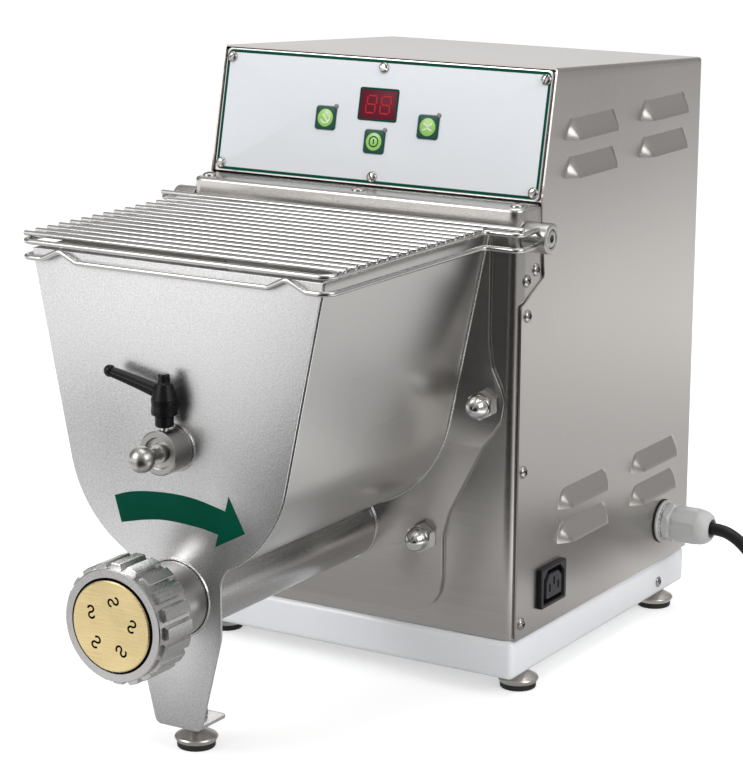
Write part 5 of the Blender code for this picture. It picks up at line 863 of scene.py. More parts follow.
BEARING_BRASS = Finish("bearing_bronze", Slot.BEARING, (0.72, 0.55, 0.26), 0.3, 1.0,
                       streak=(60.0, 900.0, 60.0),
                       tones=(0.1, 0.04, 0.05), heights=(0.006, 0.0, 0.0))
BOARD_GREEN = Finish("board_solder_green", Slot.BOARD, (0.03, 0.2, 0.1), 0.42, grain=900.0,
                     tones=(0.0, 0.2, 0.1))
PADDLE_STEEL = Finish("paddle_ground_steel", Slot.PADDLE, (0.64, 0.63, 0.61), 0.28, 1.0,
                      streak=(30.0, 30.0, 900.0),
                      tones=(0.08, 0.06, 0.06), roughs=(0.08, 0.03, 0.06), heights=(0.006, 0.0, 0.0))


def add_piece(name: str, surface: Surface | bpy.types.Mesh, finish: Finish, body: Body = Body.ROOT,
              stands_for: Sequence[str] = (), crease: float = 32.0) -> bpy.types.Object:
    """Makes a piece of a surface, dresses it and seats it on its body.

    Args:
        name: The piece's name.
        surface: A surface, or a mesh that is ready.
        finish: What it is made of.
        body: What it moves with.
        stands_for: CAD nodes that it replaces.
        crease: Angle above which an edge stays sharp, in degrees.

    Returns:
        The new object.
    """
    mesh = surface.mesh(name, crease) if isinstance(surface, Surface) else surface
    mesh.materials.append(finish.material())
    piece = bpy.data.objects.new(name, mesh)
    bpy.context.scene.collection.objects.link(piece)
    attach(piece, body.value)
    if stands_for:
        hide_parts(*stands_for)
    log.info("piece %s in %s", name, finish.name)
    return piece


def add_screws(name: str, places: Sequence[Place], radius: float, height: float, drive: Drive,
               rolls: Sequence[float], square: float = 2.0) -> None:
    """Makes a row of like screws, numbered from 1.

    Args:
        name: What their names start with.
        places: Each head's seat.
        radius: Radius of the heads' rims.
        height: Height of their domes.
        drive: Kind of recess.
        rolls: Turn of each recess, in degrees.
        square: How full the domes' shoulders are.
    """
    for number, (place, roll) in enumerate(zip(places, rolls), 1):
        add_piece(f"{name}_{number}", screw_head(place, radius, height, drive, roll, square), SCREW_STEEL)


def give_wall(piece: bpy.types.Object, thickness: float) -> None:
    """Gives an open skin its sheet's thickness, inwards."""
    wall = piece.modifiers.new("wall", "SOLIDIFY")
    wall.thickness = thickness
    wall.offset = -1.0
    wall.use_even_offset = True


def carve(surface: Surface, cutter: Surface, name: str, crease: float = 32.0) -> bpy.types.Mesh:
    """Takes the cutter's volume out of a surface.

    Args:
        surface: What is cut.
        cutter: What is taken out.
        name: The mesh's name.
        crease: Angle above which an edge stays sharp, in degrees.

    Returns:
        The cut mesh.
    """
    whole = bpy.data.objects.new(name, surface.mesh(name, crease))
    knife = bpy.data.objects.new(name + "_knife", cutter.mesh(name + "_knife", crease))
    for one in (whole, knife):
        bpy.context.scene.collection.objects.link(one)
    taken = whole.modifiers.new("taken", "BOOLEAN")
    taken.object = knife
    taken.operation = "DIFFERENCE"
    taken.solver = "EXACT"
    bpy.context.view_layer.update()
    result = bpy.data.meshes.new_from_object(whole.evaluated_get(bpy.context.evaluated_depsgraph_get()))
    for one in (whole, knife):
        bpy.data.objects.remove(one)
    result.name = name
    smooth_by_angle(result, crease)
    return result


# The studio


@dataclass
class Studio:
    """The camera, the pale floor, the backdrop and the lamps."""

    camera_place: Spot = (0.92515, -1.48593, 0.61204)
    azimuth: float = 31.43
    elevation: float = 13.38
    roll: float = 0.29
    lens: float = 123.25
    shift: float = 2.0 / 780.0
    floor_reach: float = 9.0
    wall_glows: tuple[tuple[Spot, tuple[float, float], float], ...] = (
        ((-0.46, 0.87, 0.12), (0.89, 0.985), 0.88), ((-0.54, -0.81, 0.2), (0.74, 0.97), 1.0),
        ((0.5, 0.7, 0.5), (0.78, 0.97), 0.24))
    lamp_aim: Spot = (0.0, 0.05, 0.2)
    panels: tuple[tuple[str, Spot, float, float], ...] = (
        ("key_panel", (-1.3, -2.2, 1.9), 1.5, 30.0), ("side_panel", (2.4, -0.4, 1.5), 1.6, 20.0),
        ("top_panel", (0.1, 0.3, 2.6), 1.8, 18.0))

    def set_camera(self) -> None:
        """Places the camera: its back axis from azimuth and elevation, its side axis turned by the roll."""
        azimuth, elevation, roll = (math.radians(a) for a in (self.azimuth, self.elevation, self.roll))
        back = Vector((math.sin(azimuth) * math.cos(elevation), -math.cos(azimuth) * math.cos(elevation),
                       math.sin(elevation)))
        right = Vector((math.cos(azimuth), math.sin(azimuth), 0.0))
        up = back.cross(right)
        side = right * math.cos(roll) + up * math.sin(roll)
        top = up * math.cos(roll) - right * math.sin(roll)
        data = bpy.data.cameras.new("camera")
        data.sensor_fit = "AUTO"
        data.sensor_width = 36.0
        data.lens = self.lens
        data.shift_x = self.shift
        data.clip_start, data.clip_end = 0.05, 60.0
        camera = bpy.data.objects.new("camera", data)
        bpy.context.scene.collection.objects.link(camera)
        turn = Matrix((side, top, back)).transposed().to_4x4()
        camera.matrix_world = Matrix.Translation(self.camera_place) @ turn
        bpy.context.scene.camera = camera

    def set_floor(self) -> None:
        """A pale floor that the camera and reflections see white, and that keeps the object's shadow."""
        mesh = bpy.data.meshes.new("floor")
        reach = self.floor_reach
        corners = [(-reach, -reach, 0.0), (reach, -reach, 0.0), (reach, reach, 0.0), (-reach, reach, 0.0)]
        mesh.from_pydata(corners, [], [(0, 1, 2, 3)])
        material = bpy.data.materials.new("floor_white")
        material.use_nodes = True
        sheet = Sheet(material.node_tree)
        material.node_tree.nodes.remove(material.node_tree.nodes["Principled BSDF"])
        out = material.node_tree.nodes["Material Output"]
        rays = sheet.add("ShaderNodeLightPath")
        plain = sheet.add("ShaderNodeBsdfDiffuse")
        plain.inputs["Color"].default_value = (0.8, 0.8, 0.8, 1.0)
        glow = sheet.add("ShaderNodeEmission")
        seen = sheet.math("MAXIMUM", rays.outputs["Is Camera Ray"], rays.outputs["Is Transmission Ray"])
        sheet.feed(glow.inputs["Strength"], sheet.math("MULTIPLY", seen, 0.5))
        both = sheet.add("ShaderNodeAddShader")
        sheet.feed(both.inputs[0], plain.outputs[0])
        sheet.feed(both.inputs[1], glow.outputs[0])
        mirrored = sheet.add("ShaderNodeEmission")
        sheet.feed(mirrored.inputs["Strength"], self._floor_tone(sheet))
        mix = sheet.add("ShaderNodeMixShader")
        sheet.feed(mix.inputs[0], rays.outputs["Is Glossy Ray"])
        sheet.feed(mix.inputs[1], both.outputs[0])
        sheet.feed(mix.inputs[2], mirrored.outputs[0])
        sheet.feed(out.inputs["Surface"], mix.outputs[0])
        mesh.materials.append(material)
        floor = bpy.data.objects.new("floor", mesh)
        bpy.context.scene.collection.objects.link(floor)

    def _ramp(self, sheet: Sheet, value: bpy.types.NodeSocket, span: tuple[float, float],
              tones: tuple[float, float]) -> bpy.types.NodeSocket:
        """A smooth step from one tone to another over a span of the value.

        Args:
            sheet: Where the node goes.
            value: What is read.
            span: Where the step starts and ends.
            tones: The tone before and after it.

        Returns:
            The tone's socket.
        """
        ramp = sheet.add("ShaderNodeMapRange", interpolation_type="SMOOTHSTEP")
        labels = ("Value", "From Min", "From Max", "To Min", "To Max")
        for label, number in zip(labels, (value, *span, *tones)):
            sheet.feed(ramp.inputs[label], number)
        return ramp.outputs[0]

    def _along(self, sheet: Sheet, way: bpy.types.NodeSocket, aim: Spot) -> bpy.types.NodeSocket:
        """The cosine between a direction and an aim.

        Args:
            sheet: Where the nodes go.
            way: The direction.
            aim: The aim.

        Returns:
            The cosine's socket.
        """
        unit = sheet.add("ShaderNodeVectorMath", operation="NORMALIZE")
        sheet.feed(unit.inputs[0], way)
        along = sheet.add("ShaderNodeVectorMath", operation="DOT_PRODUCT")
        sheet.feed(along.inputs[0], unit.outputs[0])
        sheet.feed(along.inputs[1], tuple(Vector(aim).normalized()))
        return along.outputs["Value"]

    def _floor_tone(self, sheet: Sheet) -> bpy.types.NodeSocket:
        """The floor's tone in reflections: dim under the object, bright to its right, dark front right."""
        place = sheet.add("ShaderNodeTexCoord").outputs["Object"]
        reach = sheet.add("ShaderNodeVectorMath", operation="LENGTH")
        sheet.feed(reach.inputs[0], place)
        parts = sheet.add("ShaderNodeSeparateXYZ")
        sheet.feed(parts.inputs[0], place)
        near = self._ramp(sheet, reach.outputs["Value"], (0.36, 0.6), (0.3, 0.0))
        far = self._ramp(sheet, reach.outputs["Value"], (0.75, 1.5), (0.7, 1.28))
        tone = sheet.math("ADD", near, far)
        tone = sheet.math("MULTIPLY", tone, self._ramp(sheet, parts.outputs[0], (0.65, 1.15), (1.0, 0.36)))
        spot = sheet.add("ShaderNodeVectorMath", operation="DISTANCE")
        sheet.feed(spot.inputs[0], place)
        sheet.feed(spot.inputs[1], (-0.68, -0.86, 0.0))
        shade = self._ramp(sheet, spot.outputs["Value"], (0.15, 0.52), (0.45, 1.0))
        tone = sheet.math("MULTIPLY", tone, shade)
        aside = self._ramp(sheet, self._along(sheet, place, (0.385, -0.923, 0.0)), (0.82, 0.93), (0.0, 0.97))
        away = self._ramp(sheet, reach.outputs["Value"], (0.24, 0.46), (0.0, 1.0))
        aside = sheet.math("MULTIPLY", aside, away)
        under = self._ramp(sheet, reach.outputs["Value"], (0.2, 0.38), (0.4, 1.0))
        tone = sheet.math("MULTIPLY", sheet.math("MULTIPLY", tone, under), sheet.math("SUBTRACT", 1.0, aside))
        right = self._ramp(sheet, self._along(sheet, place, (0.995, -0.05, 0.0)), (0.9, 0.97), (0.0, 2.0))
        for span, tones in (((0.3, 0.6), (0.0, 1.0)), ((0.48, 0.64), (1.0, 0.0))):
            right = sheet.math("MULTIPLY", right, self._ramp(sheet, reach.outputs["Value"], span, tones))
        return sheet.math("ADD", tone, right)

    def set_world(self) -> None:
        """White for the camera, a plain soft light, and for reflections a room dark at the front right."""
        world = bpy.data.worlds.new("studio")
        world.use_nodes = True
        bpy.context.scene.world = world
        sheet = Sheet(world.node_tree)
        for node in list(world.node_tree.nodes):
            world.node_tree.nodes.remove(node)
        rays = sheet.add("ShaderNodeLightPath")
        way = sheet.add("ShaderNodeTexCoord").outputs["Generated"]
        room = self._room_tone(sheet, way)
        plain = sheet.add("ShaderNodeMix", data_type="FLOAT")
        sheet.feed(plain.inputs[0], rays.outputs["Is Glossy Ray"])
        sheet.feed(plain.inputs[2], 0.6)
        sheet.feed(plain.inputs[3], room)
        shown = sheet.add("ShaderNodeMix", data_type="FLOAT")
        sheet.feed(shown.inputs[0], rays.outputs["Is Camera Ray"])
        sheet.feed(shown.inputs[2], plain.outputs[0])
        sheet.feed(shown.inputs[3], 1.0)
        light = sheet.add("ShaderNodeBackground")
        light.inputs["Color"].default_value = (1.0, 1.0, 1.0, 1.0)
        sheet.feed(light.inputs["Strength"], shown.outputs[0])
        out = sheet.add("ShaderNodeOutputWorld")
        sheet.feed(out.inputs["Surface"], light.outputs[0])

    def _room_tone(self, sheet: Sheet, way: bpy.types.NodeSocket) -> bpy.types.NodeSocket:
        """The room's brightness: high overhead, behind left and front left, and dark at the front right."""
        parts = sheet.add("ShaderNodeSeparateXYZ")
        sheet.feed(parts.inputs[0], way)
        total = sheet.math("ADD", self._ramp(sheet, parts.outputs[2], (0.35, 0.9), (0.0, 0.4)), 0.3)
        for aim, span, gain in self.wall_glows:
            glow = self._ramp(sheet, self._along(sheet, way, aim), span, (0.0, gain))
            total = sheet.math("ADD", total, glow)
        dark = self._ramp(sheet, self._along(sheet, way, (0.39, -0.91, -0.16)), (0.86, 0.97), (0.8, 0.11))
        return sheet.math("MULTIPLY", total, dark)

    def set_lamps(self) -> None:
        """Three soft panels: a key from the front left, a fill from the right and a top light."""
        for name, spot, size, power in self.panels:
            data = bpy.data.lights.new(name, "AREA")
            data.shape = "SQUARE"
            data.size = size
            data.energy = power
            lamp = bpy.data.objects.new(name, data)
            bpy.context.scene.collection.objects.link(lamp)
            lamp.location = spot
            aim = Vector(self.lamp_aim) - Vector(spot)
            lamp.rotation_mode = "QUATERNION"
            lamp.rotation_quaternion = aim.to_track_quat("-Z", "Y")

    def build(self) -> None:
        """Sets up everything but the object."""
        bpy.context.scene.view_settings.view_transform = "Standard"
        self.set_camera()
        self.set_floor()
        self.set_world()
        self.set_lamps()


# The mains lead


@dataclass
class MainsLead:
    """The lead from the gland to the floor, its spare length in a coil, the plug and the tie."""

    radius: float = 0.0045
    route: tuple[Spot, ...] = (
        (0.1745, 0.225, 0.069), (0.1815, 0.225, 0.0678), (0.1895, 0.225, 0.064), (0.198, 0.2248, 0.0573),
        (0.2055, 0.2243, 0.048), (0.2125, 0.2237, 0.0375), (0.2195, 0.223, 0.0275), (0.2285, 0.2222, 0.018),
        (0.239, 0.2216, 0.011), (0.248, 0.2213, 0.0075), (0.2572, 0.2212, 0.0062))
    mouth_x: float = 0.1668
    coil_centre: tuple[float, float] = (0.271, 0.282)
    coil_floor: float = 0.0017
    coil_step: float = 0.0097
    coil_outer: float = 0.0608
    half_turns: float = 2.25
    tail: float = 0.02
    plug_start: Spot = (0.2507, 0.3428, 0.0176)
    relief: float = 0.02
    relief_ribs: int = 8
    plug_body: Profile = ((10, 21.2), (15, 23.5), (16, 27), (14.5, 34), (14.2, 40), (16.2, 45), (17, 47.5))
    plug_face: Profile = ((17.2, 49), (17.2, 51.5), (16.6, 53.4), (15, 54), (0, 54))
    pin: Profile = ((0, 53.5), (2.4, 53.5), (2.4, 71.2), (2.1, 72.2), (1.4, 72.9), (0, 73))
    pin_spacing: float = 0.019
    tie_gap: float = 0.0009

    def coil(self) -> Points:
        """The coil's line.

        The radius falls by one step a turn to the middle and grows again. The height climbs one step in the
        half turn about the middle, and in the last quarter turn it rises to the plug's axis.

        Returns:
            The line's points, in the machine's frame.
        """
        low = self.coil_floor + self.radius
        t = np.linspace(-self.half_turns, self.half_turns, round(self.half_turns * 2 * 44) + 1)
        radius = self.coil_outer - self.coil_step * (self.half_turns - np.abs(t))
        angle = -math.pi / 2 + TAU * (t + self.half_turns)
        climb = np.clip(t / 0.5 + 0.5, 0.0, 1.0)
        lift = np.clip((t - self.half_turns) / 0.25 + 1.0, 0.0, 1.0)
        lift = lift * lift * (3.0 - 2.0 * lift)
        height = low + self.coil_step * climb + (self.plug_start[2] - low - self.coil_step) * lift
        x, y = self.coil_centre
        return np.stack([x + radius * np.cos(angle), y + radius * np.sin(angle), height], axis=1)

    def line(self) -> Points:
        """The whole lead: straight out of the gland, down to the floor, round the coil and into the plug."""
        coil = self.coil()
        start = np.array([(self.mouth_x, *self.route[0][1:])])
        end = coil[-1:] - (self.tail, 0.0, 0.0)
        return np.vstack([start, smooth_line(self.route, 6), coil, end]) + (0.0, MACHINE_Y, 0.0)

    def build(self) -> None:
        """Makes the lead's curve, the plug and the tie."""
        line = self.line()
        curve = bpy.data.curves.new("mains_lead", "CURVE")
        curve.dimensions = "3D"
        spline = curve.splines.new("POLY")
        spline.points.add(len(line) - 1)
        spline.points.foreach_set("co", np.column_stack([line, np.ones(len(line))]).ravel())
        spline.use_smooth = True
        curve.bevel_depth = self.radius
        curve.bevel_resolution = 5
        curve.use_fill_caps = True
        curve.materials.append(LEAD_RUBBER.material())
        lead = bpy.data.objects.new("mains_lead", curve)
        bpy.context.scene.collection.objects.link(lead)
        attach(lead, Body.ROOT.value)
        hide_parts("cord_run", "cord_coil")
        plug, pins = self.plug()
        self.tie()

    def plug(self) -> tuple[bpy.types.Object, bpy.types.Object]:
        """Makes the plug: a ribbed relief, a body with a waist for the fingers, and two pins.

        The relief's radius grows evenly along it and waves with the cosine, once for each rib.

        Returns:
            The plug's body and its pins.
        """
        x, y, z = self.plug_start
        ribs = np.linspace(0.0, self.relief, 41)
        wave = 0.0006 * np.cos(ribs / (self.relief / self.relief_ribs) * TAU)
        taper = 0.006 + 0.003 * ribs / self.relief + wave
        body = smooth_line(mm(self.plug_body), 5)
        profile = np.vstack([[(0.0, 0.0)], np.column_stack([taper, ribs]), body, mm(self.plug_face)])
        body = turned(sideways(-1, x, y, z), profile, 48)
        plug = add_piece("plug_body", body, LEAD_RUBBER, stands_for=("plug",), crease=50.0)
        pins = Surface()
        for shift in (-self.pin_spacing / 2, self.pin_spacing / 2):
            pins.turn(sideways(-1, x, y + shift, z), mm(self.pin), 24)
        return plug, add_piece("plug_pins", pins, POLISHED_STEEL)

    def tie(self) -> bpy.types.Object:
        """Makes the tie: a flat band carried round a rounded rectangle that holds the coil's turns."""
        gap, step, turns = self.tie_gap, self.coil_step, self.half_turns
        low, high = self.coil_floor - gap, self.coil_floor + step + 2 * self.radius + gap
        inner = self.coil_outer - step * turns - self.radius - gap
        outer = self.coil_outer - step * (turns % 1) + self.radius + gap
        x, y = self.coil_centre
        corners = [(x + inner, low), (x + outer, low), (x + outer, high), (x + inner, high)]
        path = standing(rounded_line(corners, 0.0032, 8, closed=True), y)[0]
        rows = carried(path, rounded_rectangle(0.0004, 0.004, 0.0003, 3), up=(0.0, 1.0, 0.0), closed=True)
        return add_piece("coil_band", Surface().loop(rows), LEVER_BLACK, stands_for=("coil_tie",))


# The base and its feet


@dataclass
class Base:
    """The white slab and the five levelling feet."""

    half_width: float = 0.1293
    low: float = 0.0127
    high: float = 0.0396
    front: float = -0.002
    back: float = 0.2667
    edge: float = 0.0042
    feet: tuple[tuple[Body, float, float, float], ...] = (
        (Body.FOOT_FRONT_LEFT, -0.1194, 0.0256, 0.0267), (Body.FOOT_FRONT_RIGHT, 0.1194, 0.0256, 0.0267),
        (Body.FOOT_BACK_LEFT, -0.1194, 0.2369, 0.0267), (Body.FOOT_BACK_RIGHT, 0.1194, 0.2369, 0.0267),
        (Body.FOOT_HOPPER_LEG, 0.0, -0.1815, 0.03))
    pad: Profile = ((0, 0), (11.6, 0), (12.2, 0.6), (12.4, 3), (12, 4.2), (0, 4.2))
    bell: Profile = ((0, 4), (12.6, 4), (14, 6.6), (13.4, 7.6), (6.4, 11.6), (4.6, 12.4))
    bell_radii: tuple[float, ...] = (0, 0.0004, 0.0004, 0.0008, 0.001, 0)
    thread_pitch: float = 0.001
    thread_radii: tuple[float, float] = (0.0037, 0.004)
    lock_nut: tuple[float, float, float] = (0.013, 0.0203, 0.0253)

    def build(self) -> None:
        """Makes the slab and the feet."""
        slab = rounded_box(upright(0.0, 0.0, 0.0), (-self.half_width, self.front, self.low),
                           (self.half_width, self.back, self.high), self.edge, 6)
        add_piece("base_moulding", slab, BASE_PLASTIC, stands_for=("base_slab",))
        for body, x, y, top in self.feet:
            self.foot(body, upright(x, y, 0.0), top)
        leg = upright(*self.feet[-1][1:3], 0.0)
        nut = faceted(leg, 6, *self.lock_nut)
        add_piece("leg_lock_nut", nut, FOOT_STEEL, Body.FOOT_HOPPER_LEG)

    def foot(self, body: Body, place: Place, top: float) -> None:
        """Makes one foot: a rubber pad under a domed bell, and a stud whose thread goes in and out.

        Args:
            body: The foot's own body, whose name it bears.
            place: Where it stands.
            top: The stud's height.
        """
        bell = rounded_line(mm(self.bell), self.bell_radii, 4)
        heights = np.arange(bell[-1, 1], top, self.thread_pitch / 2)
        groove, crest = self.thread_radii
        thread = np.column_stack([np.where(np.arange(len(heights)) % 2, groove, crest), heights])
        profile = np.vstack([bell, thread, [(0.0036, top), (0.0, top)]])
        add_piece(f"{body.value}_bell", turned(place, profile, 56), FOOT_STEEL, body, (body.value,))
        add_piece(f"{body.value}_pad", turned(place, mm(self.pad), 56), PAD_RUBBER, body)


# The casing


@dataclass
class Casing:
    """The folded cover with its louvres, the rear panel and the front panel with its ledge."""

    half: float = 0.13
    sheet: float = 0.0012
    fold: float = 0.0025
    low: float = 0.0399
    front_edge: tuple[tuple[float, float], ...] = (
        (0.0015, 0.0399), (0.0015, 0.2658), (0.0324, 0.2808), (0.0281, 0.3298), (0.0268, 0.3301),
        (0.0452, 0.4162))
    back: float = 0.2665
    back_top: float = 0.4032
    fixed_from: float = 0.0555
    fixed_columns: tuple[float, ...] = (0.145, 0.157, 0.255, 0.2665)
    louvre_fronts: tuple[float, float] = (0.0582, 0.1694)
    louvre_sills: tuple[float, ...] = (0.0934, 0.1175, 0.3426, 0.3677)
    louvre_length: float = 0.074
    louvre_height: float = 0.0135
    louvre_bulge: float = 0.007
    louvre_end: float = 0.0105
    side_top: float = 0.392
    panel_half: float = 0.1285
    panel_fold: float = 0.009
    ledge_fold: float = 0.0028
    ledge: float = 0.33
    panel_reach: float = 0.036
    rear_face: float = 0.2638
    rear_half_height: float = 0.1805
    rear_screws: tuple[tuple[float, float], ...] = (
        (-0.1165, 0.054), (-0.1165, 0.386), (0.0, 0.054), (0.0, 0.386), (0.1165, 0.054), (0.1165, 0.386),
        (-0.1165, 0.22), (0.1165, 0.22))
    side_screws: tuple[Spot, ...] = ((0.13, 0.0096, 0.2591), (0.13, 0.0076, 0.155), (0.13, 0.0083, 0.0505),
                                     (0.1285, 0.0227, 0.2875), (0.1285, 0.0103, 0.282))
    base_screw: Spot = (0.1293, 0.2226, 0.0228)
    ledge_screws: tuple[float, ...] = (-0.1203, 0.0, 0.1203)

    def _columns(self, front: Points) -> Points:
        """Distances back along each row: stretched from the front edge to where they are fixed.

        Args:
            front: The front edge's distance at each row.

        Returns:
            Rows by columns of distances.
        """
        ends = np.concatenate([[-0.0007], np.linspace(0.0, self.louvre_end, 9), np.linspace(0.012, 0.037, 3)])
        span = np.concatenate([ends, self.louvre_length - ends[::-1]])
        louvres = [start + span for start in self.louvre_fronts]
        fixed = np.unique(np.round(np.concatenate([[self.fixed_from], *louvres, self.fixed_columns]), 7))
        share = np.linspace(0.0, 1.0, 4, endpoint=False)
        stretched = front[:, None] + (fixed[0] - front[:, None]) * share
        return np.hstack([stretched, np.broadcast_to(fixed, (len(front), len(fixed)))])

    def _bulge(self, y: Points, z: Points) -> Points:
        """How far the louvres stand out.

        For each louvre, p is the distance from the middle of its lip in shares: one part from the lip up to
        the top, the other over the last stretch at each end. The skin stands out by the bulge times one less
        p to the power 1.3, and p is at most 1.

        Args:
            y: Distances back.
            z: Heights.

        Returns:
            How far the skin stands out at each.
        """
        total = np.zeros_like(y)
        for front in self.louvre_fronts:
            near = np.minimum(y - front, front + self.louvre_length - y)
            end = 1.0 - np.clip(near / self.louvre_end, 0.0, 1.0)
            for sill in self.louvre_sills:
                up = (z - sill) / self.louvre_height
                p = np.hypot(end, np.clip(up, 0.0, 1.0))
                inside = (up >= -1e-6) & (up <= 1.0) & (near >= 0.0)
                total += np.where(inside, self.louvre_bulge * (1.0 - np.minimum(p, 1.0) ** 1.3), 0.0)
        return total

    def _top_line(self, at: Points) -> Points:
        """The top's height at a distance back: a straight fall from the front to the back."""
        head_y, head_z = self.front_edge[-1]
        return head_z + (self.back_top - head_z) * (at - head_y) / (self.back - head_y)

    def _levels(self, edge: Points) -> tuple[Points, Points]:
        """The heights of the side's rows.

        Args:
            edge: The side's front edge.

        Returns:
            The heights, and for each the mark 1 under a louvre's open lip, 2 on a louvre and 0 elsewhere.
        """
        levels = [(z, 0) for z in edge[:, 1] if z < self.side_top]
        levels += [(z, 0) for z in (0.06, 0.2, self.side_top)]
        for sill in self.louvre_sills:
            levels += [(sill - 1e-9, 1), (sill - 0.0006, 0), (sill + self.louvre_height + 0.0007, 0)]
            levels += [(sill + self.louvre_height * s, 2) for s in np.linspace(0.0, 1.0, 9)]
        heights, marks = zip(*sorted(levels))
        return np.array(heights), np.array(marks)

    def build_cover(self) -> None:
        """Makes both sides and the top as grids that meet at the folds, and gives them their wall."""
        edge = rounded_line(self.front_edge, (0, 0.0035, 0.0035, 0, 0, 0), 5)
        z, kind = self._levels(edge)
        brow, head = self.front_edge[-2:]
        lean = (head[0] - brow[0]) / (head[1] - brow[1])
        y = self._columns(np.interp(z, edge[:, 1], edge[:, 0]))
        height = np.broadcast_to(z[:, None], y.shape)
        stand = np.where((kind == 1)[:, None], 0.0, self._bulge(y, height))
        side = np.stack([self.half + stand, y, height], axis=-1)
        start, share = z[-1], np.linspace(0.0, 1.0, 4)[:, None]
        climb = start + share[:, 0] * (head[1] - self.fold - start)
        rise_y = self._columns(np.interp(climb, edge[:, 1], edge[:, 0]))
        rise_z = start + share * (self._top_line(rise_y) - self.fold - start)
        rise = np.stack([np.full_like(rise_y, self.half), rise_y, rise_z], axis=-1)
        bend = np.radians(np.linspace(0.0, 90.0, 7))
        x = np.concatenate([self.half - self.fold + self.fold * np.cos(bend), np.linspace(0.09, 0.0, 4)])
        drop = np.concatenate([self.fold * np.sin(bend) - self.fold, np.zeros(4)])
        top_y = self._columns(head[0] + drop * lean)
        top_z = self._top_line(top_y) + drop[:, None]
        top = np.stack([np.broadcast_to(x[:, None], top_y.shape), top_y, top_z], axis=-1)
        surface = Surface().grid(side, keep=kind[:-1] != 1).grid(rise).grid(top).mirrored()
        cover = add_piece("cover_skin", surface, COVER_STEEL, stands_for=("casing_cover",), crease=28.0)
        give_wall(cover, self.sheet)

    def build_front_panel(self) -> None:
        """Makes the front panel: its plan carried up, drawn in at the ledge's bend and closed by the ledge."""
        reach, half = self.panel_reach, self.panel_half
        plan = rounded_line([(-half, reach), (-half, 0.0), (half, 0.0), (half, reach)],
                            (0, self.panel_fold, self.panel_fold, 0), 8)
        bend = np.radians(np.linspace(0.0, 90.0, 7))
        insets = [0.0, 0.0, *(self.ledge_fold * (1 - np.cos(bend)))]
        heights = [self.low, 0.2, *(self.ledge - self.ledge_fold * (1 - np.sin(bend)))]
        lines = [drawn_in(plan, inset) if inset else plan.copy() for inset in insets]
        for line in lines:
            line[[0, -1], 1] = reach
        rows = layered(*zip(lines, heights))
        panel = add_piece("front_panel_skin", Surface().grid(rows).cap(rows[-1]), PANEL_STEEL,
                          stands_for=("front_panel",), crease=28.0)
        give_wall(panel, self.sheet)

    def build_rear_panel(self) -> None:
        """Makes the rear panel with its corner and edge screws."""
        outline = rounded_rectangle(self.panel_half, self.rear_half_height, 0.002, 3)
        place = backward(0.0, self.rear_face, self.low + self.rear_half_height)
        sheet = plate(place, outline, 0.0, self.sheet)
        add_piece("rear_panel_sheet", sheet, PANEL_STEEL, stands_for=("rear_panel",))
        places = [backward(x, self.rear_face + self.sheet, z) for x, z in self.rear_screws]
        add_screws("rear_screw", places, 0.0042, 0.0022, Drive.CROSS, [17.0 * n for n in range(len(places))])

    def build_screws(self) -> None:
        """Makes the domed screws on both sides and on the ledge."""
        for side, label in ((-1, "left"), (1, "right")):
            places = [sideways(side, side * x, y, z) for x, y, z in self.side_screws]
            rolls = [20.0 + 31.0 * number for number in range(len(places))]
            add_screws(f"side_screw_{label}", places, 0.0043, 0.0025, Drive.CROSS, rolls)
            x, y, z = self.base_screw
            low = screw_head(sideways(side, side * x, y, z), 0.004, 0.0018, Drive.CROSS, 15.0)
            add_piece(f"base_screw_{label}", low, SCREW_STEEL)
        places = [upright(x, 0.011, self.ledge) for x in self.ledge_screws]
        add_screws("ledge_screw", places, 0.0046, 0.0022, Drive.HEX, [9.0] * len(places), 2.4)

    def build(self) -> None:
        """Makes the whole casing."""
        self.build_cover()
        self.build_front_panel()
        self.build_rear_panel()
        self.build_screws()


# The fascia


